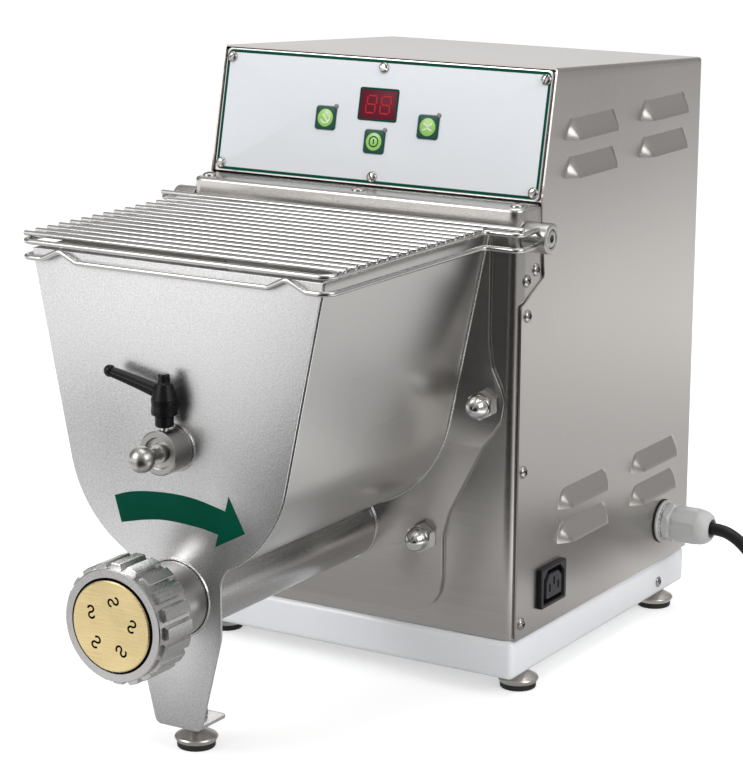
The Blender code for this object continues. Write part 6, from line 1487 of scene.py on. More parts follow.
@dataclass
class Fascia:
    """The slanted control plate with its print, display, keys and screws."""

    tilt: float = math.radians(12.063)
    foot: tuple[float, float] = (0.0268, 0.3301)
    length: float = 0.08804
    half: float = 0.1272
    low: float = 0.0012
    high: float = 0.08624
    face: float = -0.0002
    display: tuple[float, float, float, float] = (-0.0151, 0.0128, 0.0453, 0.065)
    digit_shift: float = 0.0056
    digit_tall: float = 0.0058
    digit_wide: float = 0.0032
    bar_thick: float = 0.0005
    digit_lean: float = 0.12
    keys: tuple[tuple[str, float, float], ...] = (
        ("mix", -0.0412, 0.0434), ("power", -0.0011, 0.0302), ("extrude", 0.039, 0.043))
    key_width: float = 0.0158
    key_proud: float = 0.0008
    lamp_shift: tuple[float, float] = (0.0073, 0.0083)
    lamp: Profile = ((0, -0.4), (1.7, -0.4), (1.7, 0.3), (1.4, 0.6), (0, 0.7))
    sign_radius: float = 0.0034
    screw_x: float = 0.1226
    screw_drops: tuple[float, float] = (0.008, 0.0814)
    screw_rolls: tuple[float, ...] = (35.0, -20.0, 70.0, 10.0, 115.0, 30.0)

    def place(self, x: float = 0.0, rise: float = 0.0) -> Place:
        """The slanted frame: x to the right, y up the slope, and its axis out of the plate."""
        up = (0.0, math.sin(self.tilt), math.cos(self.tilt))
        out = (0.0, -math.cos(self.tilt), math.sin(self.tilt))
        return Place((x, self.foot[0] + up[1] * rise, self.foot[1] + up[2] * rise), (1.0, 0.0, 0.0), up, out)

    def _centred(self, inset: float, radius: float) -> Points:
        """The plate's rectangle, drawn in by an inset, in the slanted frame."""
        middle, half_y = (self.low + self.high) / 2, (self.high - self.low) / 2
        return rounded_rectangle(self.half - inset, half_y - inset, radius) + (0.0, middle)

    def band(self, outer: Points, inner: Points, low: float, high: float) -> Surface:
        """A flat printed band between two outlines with the same number of points."""
        rows = layered((outer, low), (outer, high), (inner, high), (inner, low))
        return Surface().loop(self.place().put(rows))

    def key_holes(self) -> Surface:
        """What is cut out of the plate for the keys: their squares, a little wider."""
        holes = Surface()
        half = self.key_width / 2 + 0.0001
        square = rounded_rectangle(half, half, 0.0021, 5)
        for _, x, rise in self.keys:
            holes.tube(self.place(x, rise).put(layered((square, -0.003), (square, 0.003))))
        return holes

    def build(self) -> None:
        """Makes the plate, its print, the display, the keys and the screws."""
        frame, face = self.place(), self.face
        sheet = plate(frame, self._centred(0.0, 0.003), face - 0.0015, face, 0.0004)
        add_piece("control_sheet", carve(sheet, self.key_holes(), "control_sheet"), PLATE_EDGE_STEEL,
                  stands_for=("control_plate",))
        film = plate(frame, self._centred(0.0008, 0.003), face - 0.0002, face + 0.00012, 0.00005)
        add_piece("control_film", carve(film, self.key_holes(), "control_film"), FILM_PRINT)
        border = self.band(self._centred(0.001, 0.004), self._centred(0.003, 0.0032), face, face + 0.00018)
        add_piece("control_border", border, GREEN_PRINT)
        self.build_display()
        for name, x, rise in self.keys:
            self.build_key(name, x, rise)
        places = [self.place(x, self.length - drop) for drop in self.screw_drops
                  for x in (-self.screw_x, 0.0, self.screw_x)]
        add_screws("fascia_screw", places, 0.0038, 0.0021, Drive.SLOTTED, self.screw_rolls, 2.3)

    def build_display(self) -> None:
        """Makes the display: its window, a green frame and two dim digits of seven bars each."""
        left, right, low, high = self.display
        face = self.face
        centre = ((left + right) / 2, (low + high) / 2)
        half_x, half_y = (right - left) / 2, (high - low) / 2
        pane = rounded_rectangle(half_x, half_y, 0.0008, 3) + centre
        window = plate(self.place(), pane, face - 0.001, face + 0.00025, 0.0001)
        add_piece("display_pane", window, DISPLAY_GLASS, stands_for=("display_window",))
        outer = rounded_rectangle(half_x + 0.0013, half_y + 0.0013, 0.0016, 3) + centre
        add_piece("display_frame", self.band(outer, pane, face, face + 0.0004), GREEN_PRINT)
        digits = Surface()
        tall, wide, thick = self.digit_tall, self.digit_wide, self.bar_thick
        for shift in (-self.digit_shift, self.digit_shift):
            bars = [(0.0, rise, wide, thick) for rise in (-tall, 0.0, tall)]
            bars += [(across, rise, thick, tall / 2 - 0.0005) for across in (-wide - 0.0004, wide + 0.0004)
                     for rise in (-tall / 2, tall / 2)]
            for across, rise, half_bar_x, half_bar_y in bars:
                outline = rounded_rectangle(half_bar_x, half_bar_y, min(half_bar_x, half_bar_y) * 0.8, 2)
                outline = outline + (centre[0] + shift + across + self.digit_lean * rise, centre[1] + rise)
                digits.tube(self.place().put(layered((outline, face + 0.0001), (outline, face + 0.0003))))
        add_piece("display_digits", digits, DISPLAY_DIGIT)

    def build_key(self, name: str, x: float, rise: float) -> None:
        """Makes one key: a rounded square that swells to its middle, a hairline, a disc, a sign and a lamp.

        Args:
            name: What the key does.
            x: Its place to the right.
            rise: Its place up the slope.
        """
        body = Body(f"button_{name}")
        spot = self.place(x, rise)
        half, proud = self.key_width / 2, self.key_proud
        levels = ((0.0, -0.0012), (0.0, proud - 0.0003), (0.0001, proud - 0.0001), (0.0004, proud),
                  (half * 0.5, proud + 0.00005), (half * 0.9, proud + 0.00008))
        squares = [(half - inset, max(0.002 - inset, (half - inset) * 0.15)) for inset, _ in levels]
        outlines = [rounded_rectangle(size, size, radius, 5) for size, radius in squares]
        rows = layered(*((outline, height) for outline, (_, height) in zip(outlines, levels)))
        add_piece(f"key_{name}", Surface().tube(spot.put(rows)), KEY_GREEN, body, (body.value,))
        disc = turned(spot, [(0.0, proud - 0.0002), (0.006, proud - 0.0002), (0.006, proud + 0.00018),
                             (0.0057, proud + 0.0003), (0.0, proud + 0.00036)], 48)
        add_piece(f"key_disc_{name}", disc, KEY_DISC, body)
        sign = self.sign(name, spot, proud + 0.00032)
        add_piece(f"key_sign_{name}", sign, GREEN_PRINT if name == "power" else SIGN_PRINT, body)
        outer, inner = (rounded_rectangle(half + gap, half + gap, radius, 5) + (x, rise)
                        for gap, radius in ((0.0006, 0.0026), (0.0001, 0.0021)))
        add_piece(f"key_line_{name}", self.band(outer, inner, self.face, self.face + 0.00022), KEY_RIM)
        lamp = turned(self.place(x + self.lamp_shift[0], rise + self.lamp_shift[1]), mm(self.lamp), 24)
        add_piece(f"key_lamp_{name}", lamp, LAMP_GREY)

    def sign(self, name: str, spot: Place, height: float) -> Surface:
        """The sign on a key: a stirring arc and bar, a power ring and bar, or a four-bladed cross.

        Args:
            name: What the key does.
            spot: The key's place.
            height: The print's height over it.

        Returns:
            The strokes, each a thin rounded section carried along its line.
        """
        strokes = {
            "power": [arc((0.0, 0.0), self.sign_radius, 0.0, 360.0, 32), mm([(0, -1.7), (0, 1.7)])],
            "mix": [arc((0.0, 0.0), self.sign_radius, 200.0, 420.0, 24), mm([(-2.2, 2.4), (2, -2)]),
                    mm([(0.2, 4.2), (1.9, 2.9), (3.6, 3.8)])],
            "extrude": [smooth_line(mm([(-3.4, a * 2.2), (-1, a * 1.2), (1, -a * 1.2), (3.4, -a * 2.2)]), 6)
                        for a in (-1.0, 1.0)],
        }
        surface = Surface()
        thick = rounded_rectangle(0.00045, 0.00006, 0.00003, 1)
        for stroke in strokes[name]:
            surface.tube(spot.put(carried(layered((stroke, height))[0], thick)))
        return surface


# The hopper


@dataclass
class Hopper:
    """The trough, its front plate with the leg, its back plate, the cap nuts and the welds."""

    axis_z: float = 0.1995
    radius: float = 0.0815
    lean: float = math.radians(11.9)
    top: float = 0.313
    wall: float = 0.0015
    front: float = -0.1987
    back: float = -0.0036
    slot_half: float = 0.0175
    plate_front: float = -0.201
    plate_back: float = -0.199
    leg_half: float = 0.033
    leg_flare: float = 0.017
    leg_taper: float = 0.082
    leg_bottom: float = 0.018
    foot_half: float = 0.017
    flange: tuple[Spot, ...] = ((0.0, -0.1994, 0.026), (0.0, -0.1994, 0.019), (0.0, -0.1727, 0.019))
    flange_end: float = -0.1722
    flange_round: float = 0.0039
    ear_half: float = 0.1205
    ear_low: float = 0.0485
    ear_shares: tuple[tuple[float, float], ...] = (
        (0.415, 0.0), (0.47, 0.01), (0.565, 0.031), (0.612, 0.062), (0.625, 0.1), (0.625, 0.215),
        (0.664, 0.279), (0.866, 0.461), (0.932, 0.498), (0.984, 0.536), (1.0, 0.583), (0.974, 0.62),
        (0.923, 0.666), (0.901, 0.734), (0.901, 1.0))
    nuts: tuple[tuple[str, float, float], ...] = (
        ("upper_left", -0.107, 0.2005), ("upper_right", 0.107, 0.2005), ("lower_left", -0.062, 0.1035),
        ("lower_right", 0.062, 0.1035))
    nut_flats: float = 0.017
    nut_height: float = 0.008
    dome_radius: float = 0.0079
    arrow_upper: Profile = ((-46.5, 162.5), (-34, 166.6), (-18.1, 169), (0, 169.9), (16.5, 168.8),
                            (36.9, 164.6))
    arrow_head: Profile = ((39.5, 174.3), (51.3, 152.5), (29.3, 140.6))
    arrow_lower: Profile = ((31.6, 149), (16.3, 151.3), (-6.8, 152.1), (-23.1, 150), (-41.5, 145.7))

    def half_section(self, grow: float = 0.0, start: float = -90.0) -> Points:
        """The trough's right half: an arc under the axis, then a straight wall that leans out to the top.

        Args:
            grow: How far outside the trough's own line.
            start: The arc's first angle, in degrees.

        Returns:
            Points of x and z.
        """
        radius = self.radius + grow
        side = (radius + (self.top - self.axis_z) * math.sin(self.lean)) / math.cos(self.lean)
        bowl = arc((0.0, self.axis_z), radius, start, -math.degrees(self.lean), 28)
        return np.vstack([bowl, [(side, self.top)]])

    def build_trough(self) -> None:
        """Makes the trough, left open over the barrel, and gives it its wall."""
        start = math.degrees(math.asin(self.slot_half / self.radius)) - 90.0
        half = self.half_section(start=start)
        middle = arc((0.0, self.axis_z), self.radius, -90.0, start, 4)[:-1]
        line = np.vstack([(half * (-1.0, 1.0))[::-1], (middle * (-1.0, 1.0))[1:][::-1], middle, half])
        stations = np.array((self.front, -0.1, self.back - 0.0034, self.back))
        over = np.abs((line[1:, 0] + line[:-1, 0]) / 2) < self.slot_half - 1e-5
        keep = ~(over[None, :] & (stations[:-1, None] < self.back - 0.004))
        skin = Surface().grid(standing(line, *stations), keep=keep)
        give_wall(add_piece("trough_skin", skin, TROUGH_STEEL, stands_for=("hopper_trough",)), self.wall)

    def front_half(self) -> Points:
        """The front plate's right half: the foot's corner, the leg's flare, the bowl and the leaning wall."""
        flare_x = self.leg_half + self.leg_flare
        span = self.radius + self.leg_flare
        flare_z = self.axis_z - math.sqrt(span**2 - flare_x**2)
        meet = math.degrees(math.atan2(self.axis_z - flare_z, -flare_x))
        corners = [(0.0, self.leg_bottom), (self.foot_half, self.leg_bottom), (self.leg_half, self.leg_taper),
                   (self.leg_half, flare_z)]
        foot = rounded_line(corners, (0, 0.005, 0.03, 0), 6)[1:-1]
        flare = arc((flare_x, flare_z), self.leg_flare, 180.0, meet, 12)
        return np.vstack([foot, flare, self.half_section(start=meet - 180.0)[1:]])

    def build_front_plate(self) -> None:
        """Makes the front plate, the flange folded back over the foot, and the bead round the trough's end.

        The flange's width falls at its end like a quarter ellipse, which rounds its corners.
        """
        outline = both_sides(self.front_half())
        face = plate(frontward(0.0, 0.0, 0.0), outline, -self.plate_back, -self.plate_front, 0.0004)
        add_piece("hopper_front", face, BLASTED_STEEL, stands_for=("hopper_front_plate",))
        out = self.flange_end + self.flange_round * np.sin(np.linspace(0.0, 1.5, 7))
        end = np.column_stack([np.zeros(7), out, np.full(7, self.flange[-1][2])])
        path = np.vstack([rounded_line(self.flange, 0.0025, 8), end])
        ease = np.clip((path[:, 1] - self.flange_end) / self.flange_round, 0.0, 1.0)
        width = 1.0 - 0.26 * (1.0 - np.sqrt(1.0 - ease**2))
        band = rounded_rectangle(0.001, 0.015, 0.0004, 3)
        rows = carried(path, band, np.column_stack([np.ones(len(width)), width]), up=(1.0, 0.0, 0.0))
        add_piece("leg_flange", Surface().tube(rows), BLASTED_STEEL)
        self._bead("front_seam", self.plate_back + 0.0002, 0.0006)

    def _bead(self, name: str, y: float, radius: float) -> None:
        """Adds the weld beads round the trough's section at a distance y, one on each side of the barrel."""
        path = standing(self.half_section(0.0004, -72.0), y)[0]
        rows = carried(path, circle(radius, 10), up=(0.0, -1.0, 0.0))
        add_piece(name, Surface().tube(rows).mirrored(), WELD_STEEL)

    def build_back_plate(self) -> None:
        """Makes the back plate with its ears and the bead round the trough."""
        corners = np.array(self.ear_shares) * (self.ear_half, self.top - self.ear_low) + (0.0, self.ear_low)
        half = rounded_line(corners, (0, *[0.009] * (len(corners) - 2), 0), 4)
        face = plate(frontward(0.0, 0.0, 0.0), both_sides(half), 0.0003, 0.0033, 0.0004)
        add_piece("hopper_back", face, PANEL_STEEL, stands_for=("hopper_back_plate",))
        self._bead("back_seam", self.back - 0.0002, 0.0008)

    def build_cap_nuts(self) -> None:
        """Makes the four domed nuts: a hexagon cut by cones, a neck and a dome that closes like a ball."""
        turn = np.radians(np.linspace(0.0, 90.0, 12))[1:-1]
        radius, low = self.dome_radius, self.nut_height + 0.001
        dome = np.column_stack([radius * np.cos(turn), low + 0.01 * np.sin(turn)])
        profile = np.vstack([[(0.0, 0.007), (radius, 0.007), (radius, low)], dome, [(0.0, low + 0.01)]])
        for name, x, z in self.nuts:
            place = frontward(x, self.back, z)
            nut = faceted(place, 6, self.nut_flats, 0.0, self.nut_height).turn(place, profile, 48)
            add_piece(f"domed_nut_{name}", nut, POLISHED_STEEL, stands_for=(f"cap_nut_{name}",))

    def build_arrow(self) -> None:
        """Makes the bare green arrow on the front plate, which shows the way the mixer turns."""
        upper, lower = (smooth_line(mm(edge), 5) for edge in (self.arrow_upper, self.arrow_lower))
        outline = np.vstack([upper, mm(self.arrow_head), lower])
        arrow = plate(frontward(0.0, self.plate_front, 0.0), outline, -0.0002, 0.00012, 0.00004)
        add_piece("turn_arrow", arrow, GREEN_PRINT)

    def build(self) -> None:
        """Makes the whole hopper."""
        self.build_trough()
        self.build_front_plate()
        self.build_back_plate()
        self.build_cap_nuts()
        self.build_arrow()


# The extruder


@dataclass
class Extruder:
    """The barrel, its collar, the die, the ring nut and the auger."""

    axis_z: float = 0.1035
    radius: float = 0.024
    bore: float = 0.0205
    end: float = 0.246
    back: float = -0.0036
    mouth: tuple[float, float] = (43.0, -223.0)
    collar: Profile = ((33, 238.5), (33, 257.5), (32.5, 258), (27, 258), (21, 247), (24.3, 246), (24.3, 238),
                       (32.5, 238))
    rib_count: int = 20
    nut_tip: float = 0.038
    nut_root: float = 0.0352
    rib_shares: tuple[float, ...] = (-0.5, -0.4, -0.375, -0.295, -0.27, -0.13, 0.13, 0.27, 0.295, 0.375, 0.4)
    rib_rise_shares: tuple[float, ...] = (0.0, 0.0, 0.1, 0.9, 1.0, 1.0, 1.0, 1.0, 0.9, 0.1, 0.0)
    nut_front: Profile = ((29.4, 266.8), (30, 267.5), (34.6, 267.5), (35.2, 266.9), (35.2, 263))
    nut_ribs: tuple[tuple[float, float], ...] = ((262.95, 0.8), (262.5, 1.0), (238, 1.0), (237.6, 0.8))
    nut_back: Profile = ((35.2, 237.5), (35.2, 236.6), (34.6, 236), (33.4, 236), (33.4, 262.8), (29.4, 262.8))
    die: Profile = ((0, 269), (27.7, 269), (28.4, 268.3), (28.4, 263.4), (31, 263.2), (31, 258.5), (0, 258.5))
    # Painted shade: a black disc just behind the die's face, so that the slots show dark.
    slot_shade_disc: Profile = ((0, 268.7), (23.5, 268.7), (23.5, 264), (0, 264))
    # Painted shadow: a black ring round the die's edge, standing in for the shadow in the gap to the nut.
    seal_and_shadow_ring: Profile = ((28.35, 263.4), (29.3, 263.4), (29.3, 267.2), (28.9, 268), (28.35, 268.3))
    slot_turns: tuple[float, ...] = (-20.0, -65.0, 10.0, -30.0, 60.0)
    slot_circle: float = 0.016
    slot_bend: float = 0.0019
    slot_half_width: float = 0.00068
    auger_core: Profile = ((0, 252), (2.8, 251.7), (4.2, 250), (9, 243), (9, 4.5), (0, 4.5))
    flight_turns: float = 6.79
    flight_start: float = 0.0105
    flight_length: float = 0.231

    def place(self) -> Place:
        """The barrel's axis, to the front."""
        return frontward(0.0, 0.0, self.axis_z)

    def build_barrel(self) -> None:
        """Makes the barrel: a whole tube in front, and behind the front plate a tube open above."""
        centre, (start, stop) = (0.0, self.axis_z), self.mouth
        front = [(self.radius, 0.199), (self.radius, self.end), (self.bore, self.end), (self.bore, 0.199)]
        loop = np.vstack([arc(centre, self.radius, start, stop, 56), arc(centre, self.bore, stop, start, 56)])
        surface = turned_ring(self.place(), front, 72).tube(standing(loop, -0.1995, -0.1, self.back))
        add_piece("barrel_tube", surface, TUBE_STEEL, stands_for=("extrusion_barrel",))
        bead = circle(0.0014, 10) * (0.6, 1.0) + (self.radius + 0.00084, 0.201)
        add_piece("barrel_bead", turned_ring(self.place(), bead, 72), WELD_STEEL)
        path = standing(arc(centre, self.radius + 0.0004, start, stop, 48), self.back - 0.0004)[0]
        seam = carried(path, circle(0.0009, 10), up=(0.0, -1.0, 0.0))
        add_piece("barrel_seam", Surface().tube(seam), WELD_STEEL)
        add_piece("collar_ring", turned_ring(self.place(), mm(self.collar), 72), CAST_ALUMINIUM,
                  stands_for=("outlet_collar",))

    def build_ring_nut(self) -> None:
        """Makes the ring nut.

        A closed section goes round the axis. On the rows between the front ring and the back ring its radius
        changes with the angle: the root's, but for the middle of each pitch, where it is the tip's, with a
        straight flank between.
        """
        pitches = np.arange(self.rib_count)[:, None] + self.rib_shares
        angle = math.pi / 2 - (pitches * TAU / self.rib_count).ravel()
        rib = np.tile(self.rib_rise_shares, self.rib_count)
        tip = self.nut_tip - self.nut_root
        ribs = [(self.nut_root + tip * lift * rib, height / 1000.0) for height, lift in self.nut_ribs]
        rows = self.place().put(rings(angle, *mm(self.nut_front), *ribs, *mm(self.nut_back)))
        nut = Surface().loop(rows)
        add_piece("ribbed_nut", nut, CAST_ALUMINIUM, Body.RING_NUT, ("ring_nut",), crease=24.0)

    def slot_outline(self) -> Points:
        """One curled slot: a band of one width along an S of two arcs, with a point at each end."""
        head = arc((0.0, self.slot_bend), self.slot_bend, 158.0, -90.0, 14) * (1.12, 1.0)
        middle = np.vstack([head, -head[-2::-1]])
        way = np.gradient(middle, axis=0)
        way /= np.linalg.norm(way, axis=1, keepdims=True)
        width = self.slot_half_width
        out = np.stack([-way[:, 1], way[:, 0]], axis=1) * width
        heel, toe = middle[0] - way[0] * width * 0.8, middle[-1] + way[-1] * width * 0.8
        return np.vstack([middle + out, [toe], (middle - out)[::-1], [heel]])

    def build_die(self) -> None:
        """Makes the die: a turned disc with the slots cut through it, with painted shade behind them and a
        painted shadow round its edge.
        """
        outline, knife = self.slot_outline(), Surface()
        for number, roll in enumerate(self.slot_turns):
            spot, turn = math.radians(10.0 + 72.0 * number), math.radians(roll)
            spin = np.array(((math.cos(turn), math.sin(turn)), (-math.sin(turn), math.cos(turn))))
            line = outline @ spin + self.slot_circle * np.array((math.cos(spot), math.sin(spot)))
            knife.tube(self.place().put(layered((line, 0.262), (line, 0.27))))
        disc = carve(turned(self.place(), mm(self.die), 96), knife, "slotted_die")
        add_piece("slotted_die", disc, DIE_BRONZE, Body.DIE, ("extrusion_die",))
        # Painted shade behind the slots and painted shadow round the die's edge, both in flat black.
        add_piece("die_slot_shade", turned(self.place(), mm(self.slot_shade_disc), 64), PAINTED_SHADE_BLACK, Body.DIE)
        add_piece("die_edge_shadow_ring", turned_ring(self.place(), mm(self.seal_and_shadow_ring), 96), PAINTED_SHADE_BLACK, Body.DIE)

    def build_auger(self) -> None:
        """Makes the auger: a turned core, and a flight whose bar section goes round and forward evenly."""
        share = np.linspace(0.0, 1.0, 260)[:, None]
        angle = math.pi / 2 - share * TAU * self.flight_turns
        section = rounded_rectangle(0.0056, 0.0015, 0.0006, 2) + (0.0144, 0.0)
        radius = section[None, :, 0]
        along = self.flight_start + share * self.flight_length + section[None, :, 1]
        rows = np.stack([radius * np.cos(angle), radius * np.sin(angle), along], axis=-1)
        surface = turned(self.place(), mm(self.auger_core), 40).tube(self.place().put(rows))
        add_piece("auger_screw", surface, PADDLE_STEEL, Body.AUGER, ("auger",))

    def build(self) -> None:
        """Makes the whole extruder."""
        self.build_barrel()
        self.build_ring_nut()
        self.build_die()
        self.build_auger()


# The mixer


@dataclass
class Mixer:
    """The hub, the ball pin, the clamp with its lever, and the paddle."""

    axis_z: float = 0.1995
    clamp_y: float = -0.2115
    hub: Profile = ((13.1, 219), (14, 218.1), (14, 201.2), (6.2, 201.2), (6.2, 216), (9.2, 216), (9.8, 216.6),
                    (10.1, 219))
    ball_radius: float = 0.0082
    ball_height: float = 0.2352
    neck: Profile = ((3.6, 226.6), (3.4, 224.5), (3.7, 222), (4.1, 219.6))
    pin: Profile = ((4.2, 219), (5.8, 218.8), (6, 218), (6, 190.5), (5.5, 190), (0, 190))
    stud: Profile = ((0, 232), (4.2, 232), (4.2, 216.8), (3, 216.6), (3, 205.8), (0, 205.8))
    collar: Profile = ((4.3, 222.2), (5.4, 222.2), (5.8, 221.7), (5.8, 215.8), (5.2, 215.1), (3.1, 215.1),
                       (3.1, 216.8), (4.3, 216.9))
    lever: Profile = ((0, 248), (3.5, 248), (3.8, 242.8), (5.3, 241.8), (7.9, 233), (8.2, 232.2),
                      (7.8, 228.5), (8.2, 225), (8, 222.6), (4.4, 222.6), (4.4, 232.2), (0, 232.2))
    lever_radii: tuple[float, ...] = (0, 0.0012, 0.0008, 0.0008, 0.002, 0.002, 0.003, 0.001, 0.0004, 0, 0, 0)
    arm_line: Profile = ((-2, 236.4), (-12, 238.8), (-26, 241.9), (-38.5, 244.3))
    arm_ridge: Profile = ((-3.6, -3), (3.6, -3), (4, 0.6), (1.7, 2), (1.3, 3.7), (-1.3, 3.7), (-1.7, 2),
                          (-4, 0.6))
    arm_sizes: tuple[float, float] = (1.28, 0.86)
    knob_radius: float = 0.0039
    knob_spot: tuple[float, float] = (-0.0405, 0.2447)
    shaft: Profile = ((0, 196.5), (8.4, 196.5), (9, 195.9), (9, 13.1), (8.4, 12.5), (0, 12.5))
    arm: Profile = ((0, 0), (5, 0), (5, 8.5), (4.3, 12), (4, 62), (0, 62))
    arm_count: int = 5
    arm_first: float = -0.036
    arm_spacing: float = 0.0355
    blade_reach: float = 0.063
    blade_stations: tuple[tuple[float, float], ...] = ((-13, 0.9), (-12.6, 1.0), (12.6, 1.0), (13, 0.9))

    def place(self) -> Place:
        """The shaft's axis, to the front."""
        return frontward(0.0, 0.0, self.axis_z)

    def build_hub(self) -> None:
        """Makes the hub with its chamfered front ring, and the bead at its foot."""
        hub = turned_ring(self.place(), mm(self.hub), 72)
        add_piece("hub_ring", hub, TURNED_STEEL, stands_for=("shaft_hub",))
        bead = circle(1.0, 10) * (0.001, 0.0009) + (0.0142, 0.2016)
        add_piece("hub_bead", turned_ring(self.place(), bead, 64), WELD_STEEL)

    def build_pin(self) -> None:
        """Makes the ball pin: a shaft, a waisted neck and a ball, turned from one profile."""
        ball = np.radians(np.linspace(0.0, 152.0, 22))
        grip = self.ball_radius * np.column_stack([np.sin(ball), np.cos(ball)]) + (0.0, self.ball_height)
        neck = smooth_line(np.vstack([grip[-1:], mm(self.neck)]), 4)
        profile = np.vstack([grip[:-1], neck, mm(self.pin)])
        pin = turned(self.place(), profile, 56)
        add_piece("ball_grip_pin", pin, TURNED_STEEL, Body.BALL_PIN, ("ball_pin",))

    def build_clamp(self) -> None:
        """Makes the clamp's stud and black collar, and the lever with its ridged arm."""
        place = upright(0.0, self.clamp_y, 0.0)
        stud = turned(place, mm(self.stud), 32)
        add_piece("clamp_screw", stud, POLISHED_STEEL, Body.CLAMP_STUD, ("clamp_stud",))
        add_piece("clamp_collar", turned_ring(place, mm(self.collar), 40), LEVER_BLACK, Body.CLAMP_STUD)
        surface = turned(place, rounded_line(mm(self.lever), self.lever_radii, 4), 48)
        path = smooth_line(standing(mm(self.arm_line), self.clamp_y)[0], 6)
        section = rounded_line(mm(self.arm_ridge), 0.0008, 3, closed=True)
        surface.tube(carried(path, section, np.linspace(*self.arm_sizes, len(path))[:, None]))
        knob = np.radians(np.linspace(0.0, 180.0, 16))
        x, z = self.knob_spot
        aim = Place((x, self.clamp_y, z), (0.0, 1.0, 0.0), (-0.17, 0.0, 0.985), (-0.985, 0.0, -0.17))
        surface.turn(aim, self.knob_radius * np.column_stack([np.sin(knob), -np.cos(knob)]), 32)
        add_piece("clamp_handle", surface, LEVER_BLACK, Body.CLAMP_LEVER, ("clamp_lever",))

    def build_paddle(self) -> None:
        """Makes the paddle: a shaft, and tapered arms that each carry a blade pitched at 30 degrees."""
        surface = turned(self.place(), mm(self.shaft), 48)
        pitch = math.radians(30.0)
        outline = rounded_rectangle(0.002, 0.01, 0.0018, 4)
        loop = layered(*((outline * size, station / 1000.0) for station, size in self.blade_stations))
        for number in range(self.arm_count):
            angle = math.radians(36.0 + 144.0 * number)
            root = np.array((0.0, self.arm_first - self.arm_spacing * number, self.axis_z))
            out = np.array((math.sin(angle), 0.0, math.cos(angle)))
            across = np.array((math.cos(angle), 0.0, -math.sin(angle)))
            along = np.array((0.0, 1.0, 0.0))
            surface.turn(Place(tuple(root), tuple(across), tuple(-along), tuple(out)), mm(self.arm), 28)
            x = across * math.cos(pitch) + along * math.sin(pitch)
            blade = Place(tuple(root + out * self.blade_reach), tuple(x), tuple(out), tuple(np.cross(x, out)))
            surface.tube(blade.put(loop))
        add_piece("paddle_arms", surface, PADDLE_STEEL, Body.MIXER, ("mixing_paddle",))

    def build(self) -> None:
        """Makes the whole mixer."""
        self.build_hub()
        self.build_pin()
        self.build_clamp()
        self.build_paddle()


# The lid


@dataclass
class Lid:
    """The wire lid: two frames, cross rods, pivot bosses and their screws."""

    radius: float = 0.00175
    upper_z: float = 0.3172
    lower_z: float = 0.3072
    rod_z: float = 0.3202
    rod_count: int = 15
    rod_first: float = -0.1939
    rod_spacing: float = 0.0117
    rod_half: float = 0.1178
    last_rod: tuple[float, float] = (0.1398, -0.017)
    front: float = -0.204
    half: float = 0.11335
    arm_half: float = 0.1395
    bend_y: float = -0.02
    hump: float = 0.0838
    spread: float = 0.0132
    hump_top: float = 0.3134
    pivot: tuple[float, float] = (0.011, 0.3112)
    boss_radius: float = 0.0101
    boss: Profile = ((4.3, 128.8), (10.1, 128.8), (10.1, 145.9), (6.3, 145.9), (6.3, 141.9), (4.3, 141.9))
    shank: Profile = ((0, 142.4), (4, 142.4), (4, 126.2), (6.5, 126.2), (6.5, 122), (0, 122))

    def frame_path(self, z: float, front_points: Sequence[Spot]) -> Points:
        """A frame wire from boss to boss: arms, outward bends, sides and its front run, with rounded corners.

        Args:
            z: The wire's height.
            front_points: Corners along the front run.

        Returns:
            The wire's line.
        """
        end = self.pivot[0] - math.sqrt(self.boss_radius**2 - (z - self.pivot[1]) ** 2) + 0.0025
        right = [(self.arm_half, end, z), (self.arm_half, self.bend_y, z), (self.half, self.bend_y, z),
                 (self.half, self.front, z)]
        corners = [*right, *front_points, *((-x, y, z) for x, y, z in reversed(right))]
        radii = [0, 0.006, 0.006, 0.008, *[0.006] * len(front_points), 0.008, 0.006, 0.006, 0]
        return rounded_line(corners, radii, 8)

    def build_wires(self) -> None:
        """Makes the two frames and the rods."""
        grille = wire(Surface(), self.frame_path(self.upper_z, []), self.radius, 16)
        rods = [(self.rod_half, self.rod_first + self.rod_spacing * n) for n in range(self.rod_count)]
        for half, y in (*rods, self.last_rod):
            wire(grille, np.array([(x, y, self.rod_z) for x in (-half, 0.0, half)]), self.radius, 16, 0.6)
        add_piece("lid_wires", grille, WIRE_STEEL, Body.LID, ("lid_grille",))
        humps = []
        for peak in (self.hump, -self.hump):
            humps += [(peak + self.spread, self.front, self.lower_z), (peak, self.front, self.hump_top),
                      (peak - self.spread, self.front, self.lower_z)]
        lower = wire(Surface(), self.frame_path(self.lower_z, humps), self.radius, 16)
        add_piece("lid_lower_wire", lower, WIRE_STEEL, Body.LID, ("lid_lower_frame",))

    def build_boss(self, name: str, side: int) -> None:
        """Makes one boss, a ring with broken edges, and the socket screw that it turns on."""
        place = sideways(side, 0.0, *self.pivot)
        ring = rounded_line(mm(self.boss), (0, 0.0004, 0.0009, 0.0003, 0, 0), 4)
        boss = turned_ring(place, ring, 56)
        add_piece(f"boss_ring_{name}", boss, TURNED_STEEL, Body.LID, (f"lid_boss_{name}",))
        screw = screw_head(sideways(side, side * 0.1422, *self.pivot), 0.0061, 0.0036, Drive.HEX, 12.0, 9.0)
        screw.turn(place, mm(self.shank), 32)
        add_piece(f"boss_screw_{name}", screw, TURNED_STEEL, stands_for=(f"lid_pivot_screw_{name}",))

    def build(self) -> None:
        """Makes the whole lid."""
        self.build_wires()
        for name, side in (("left", -1), ("right", 1)):
            self.build_boss(name, side)


# The electrical fittings


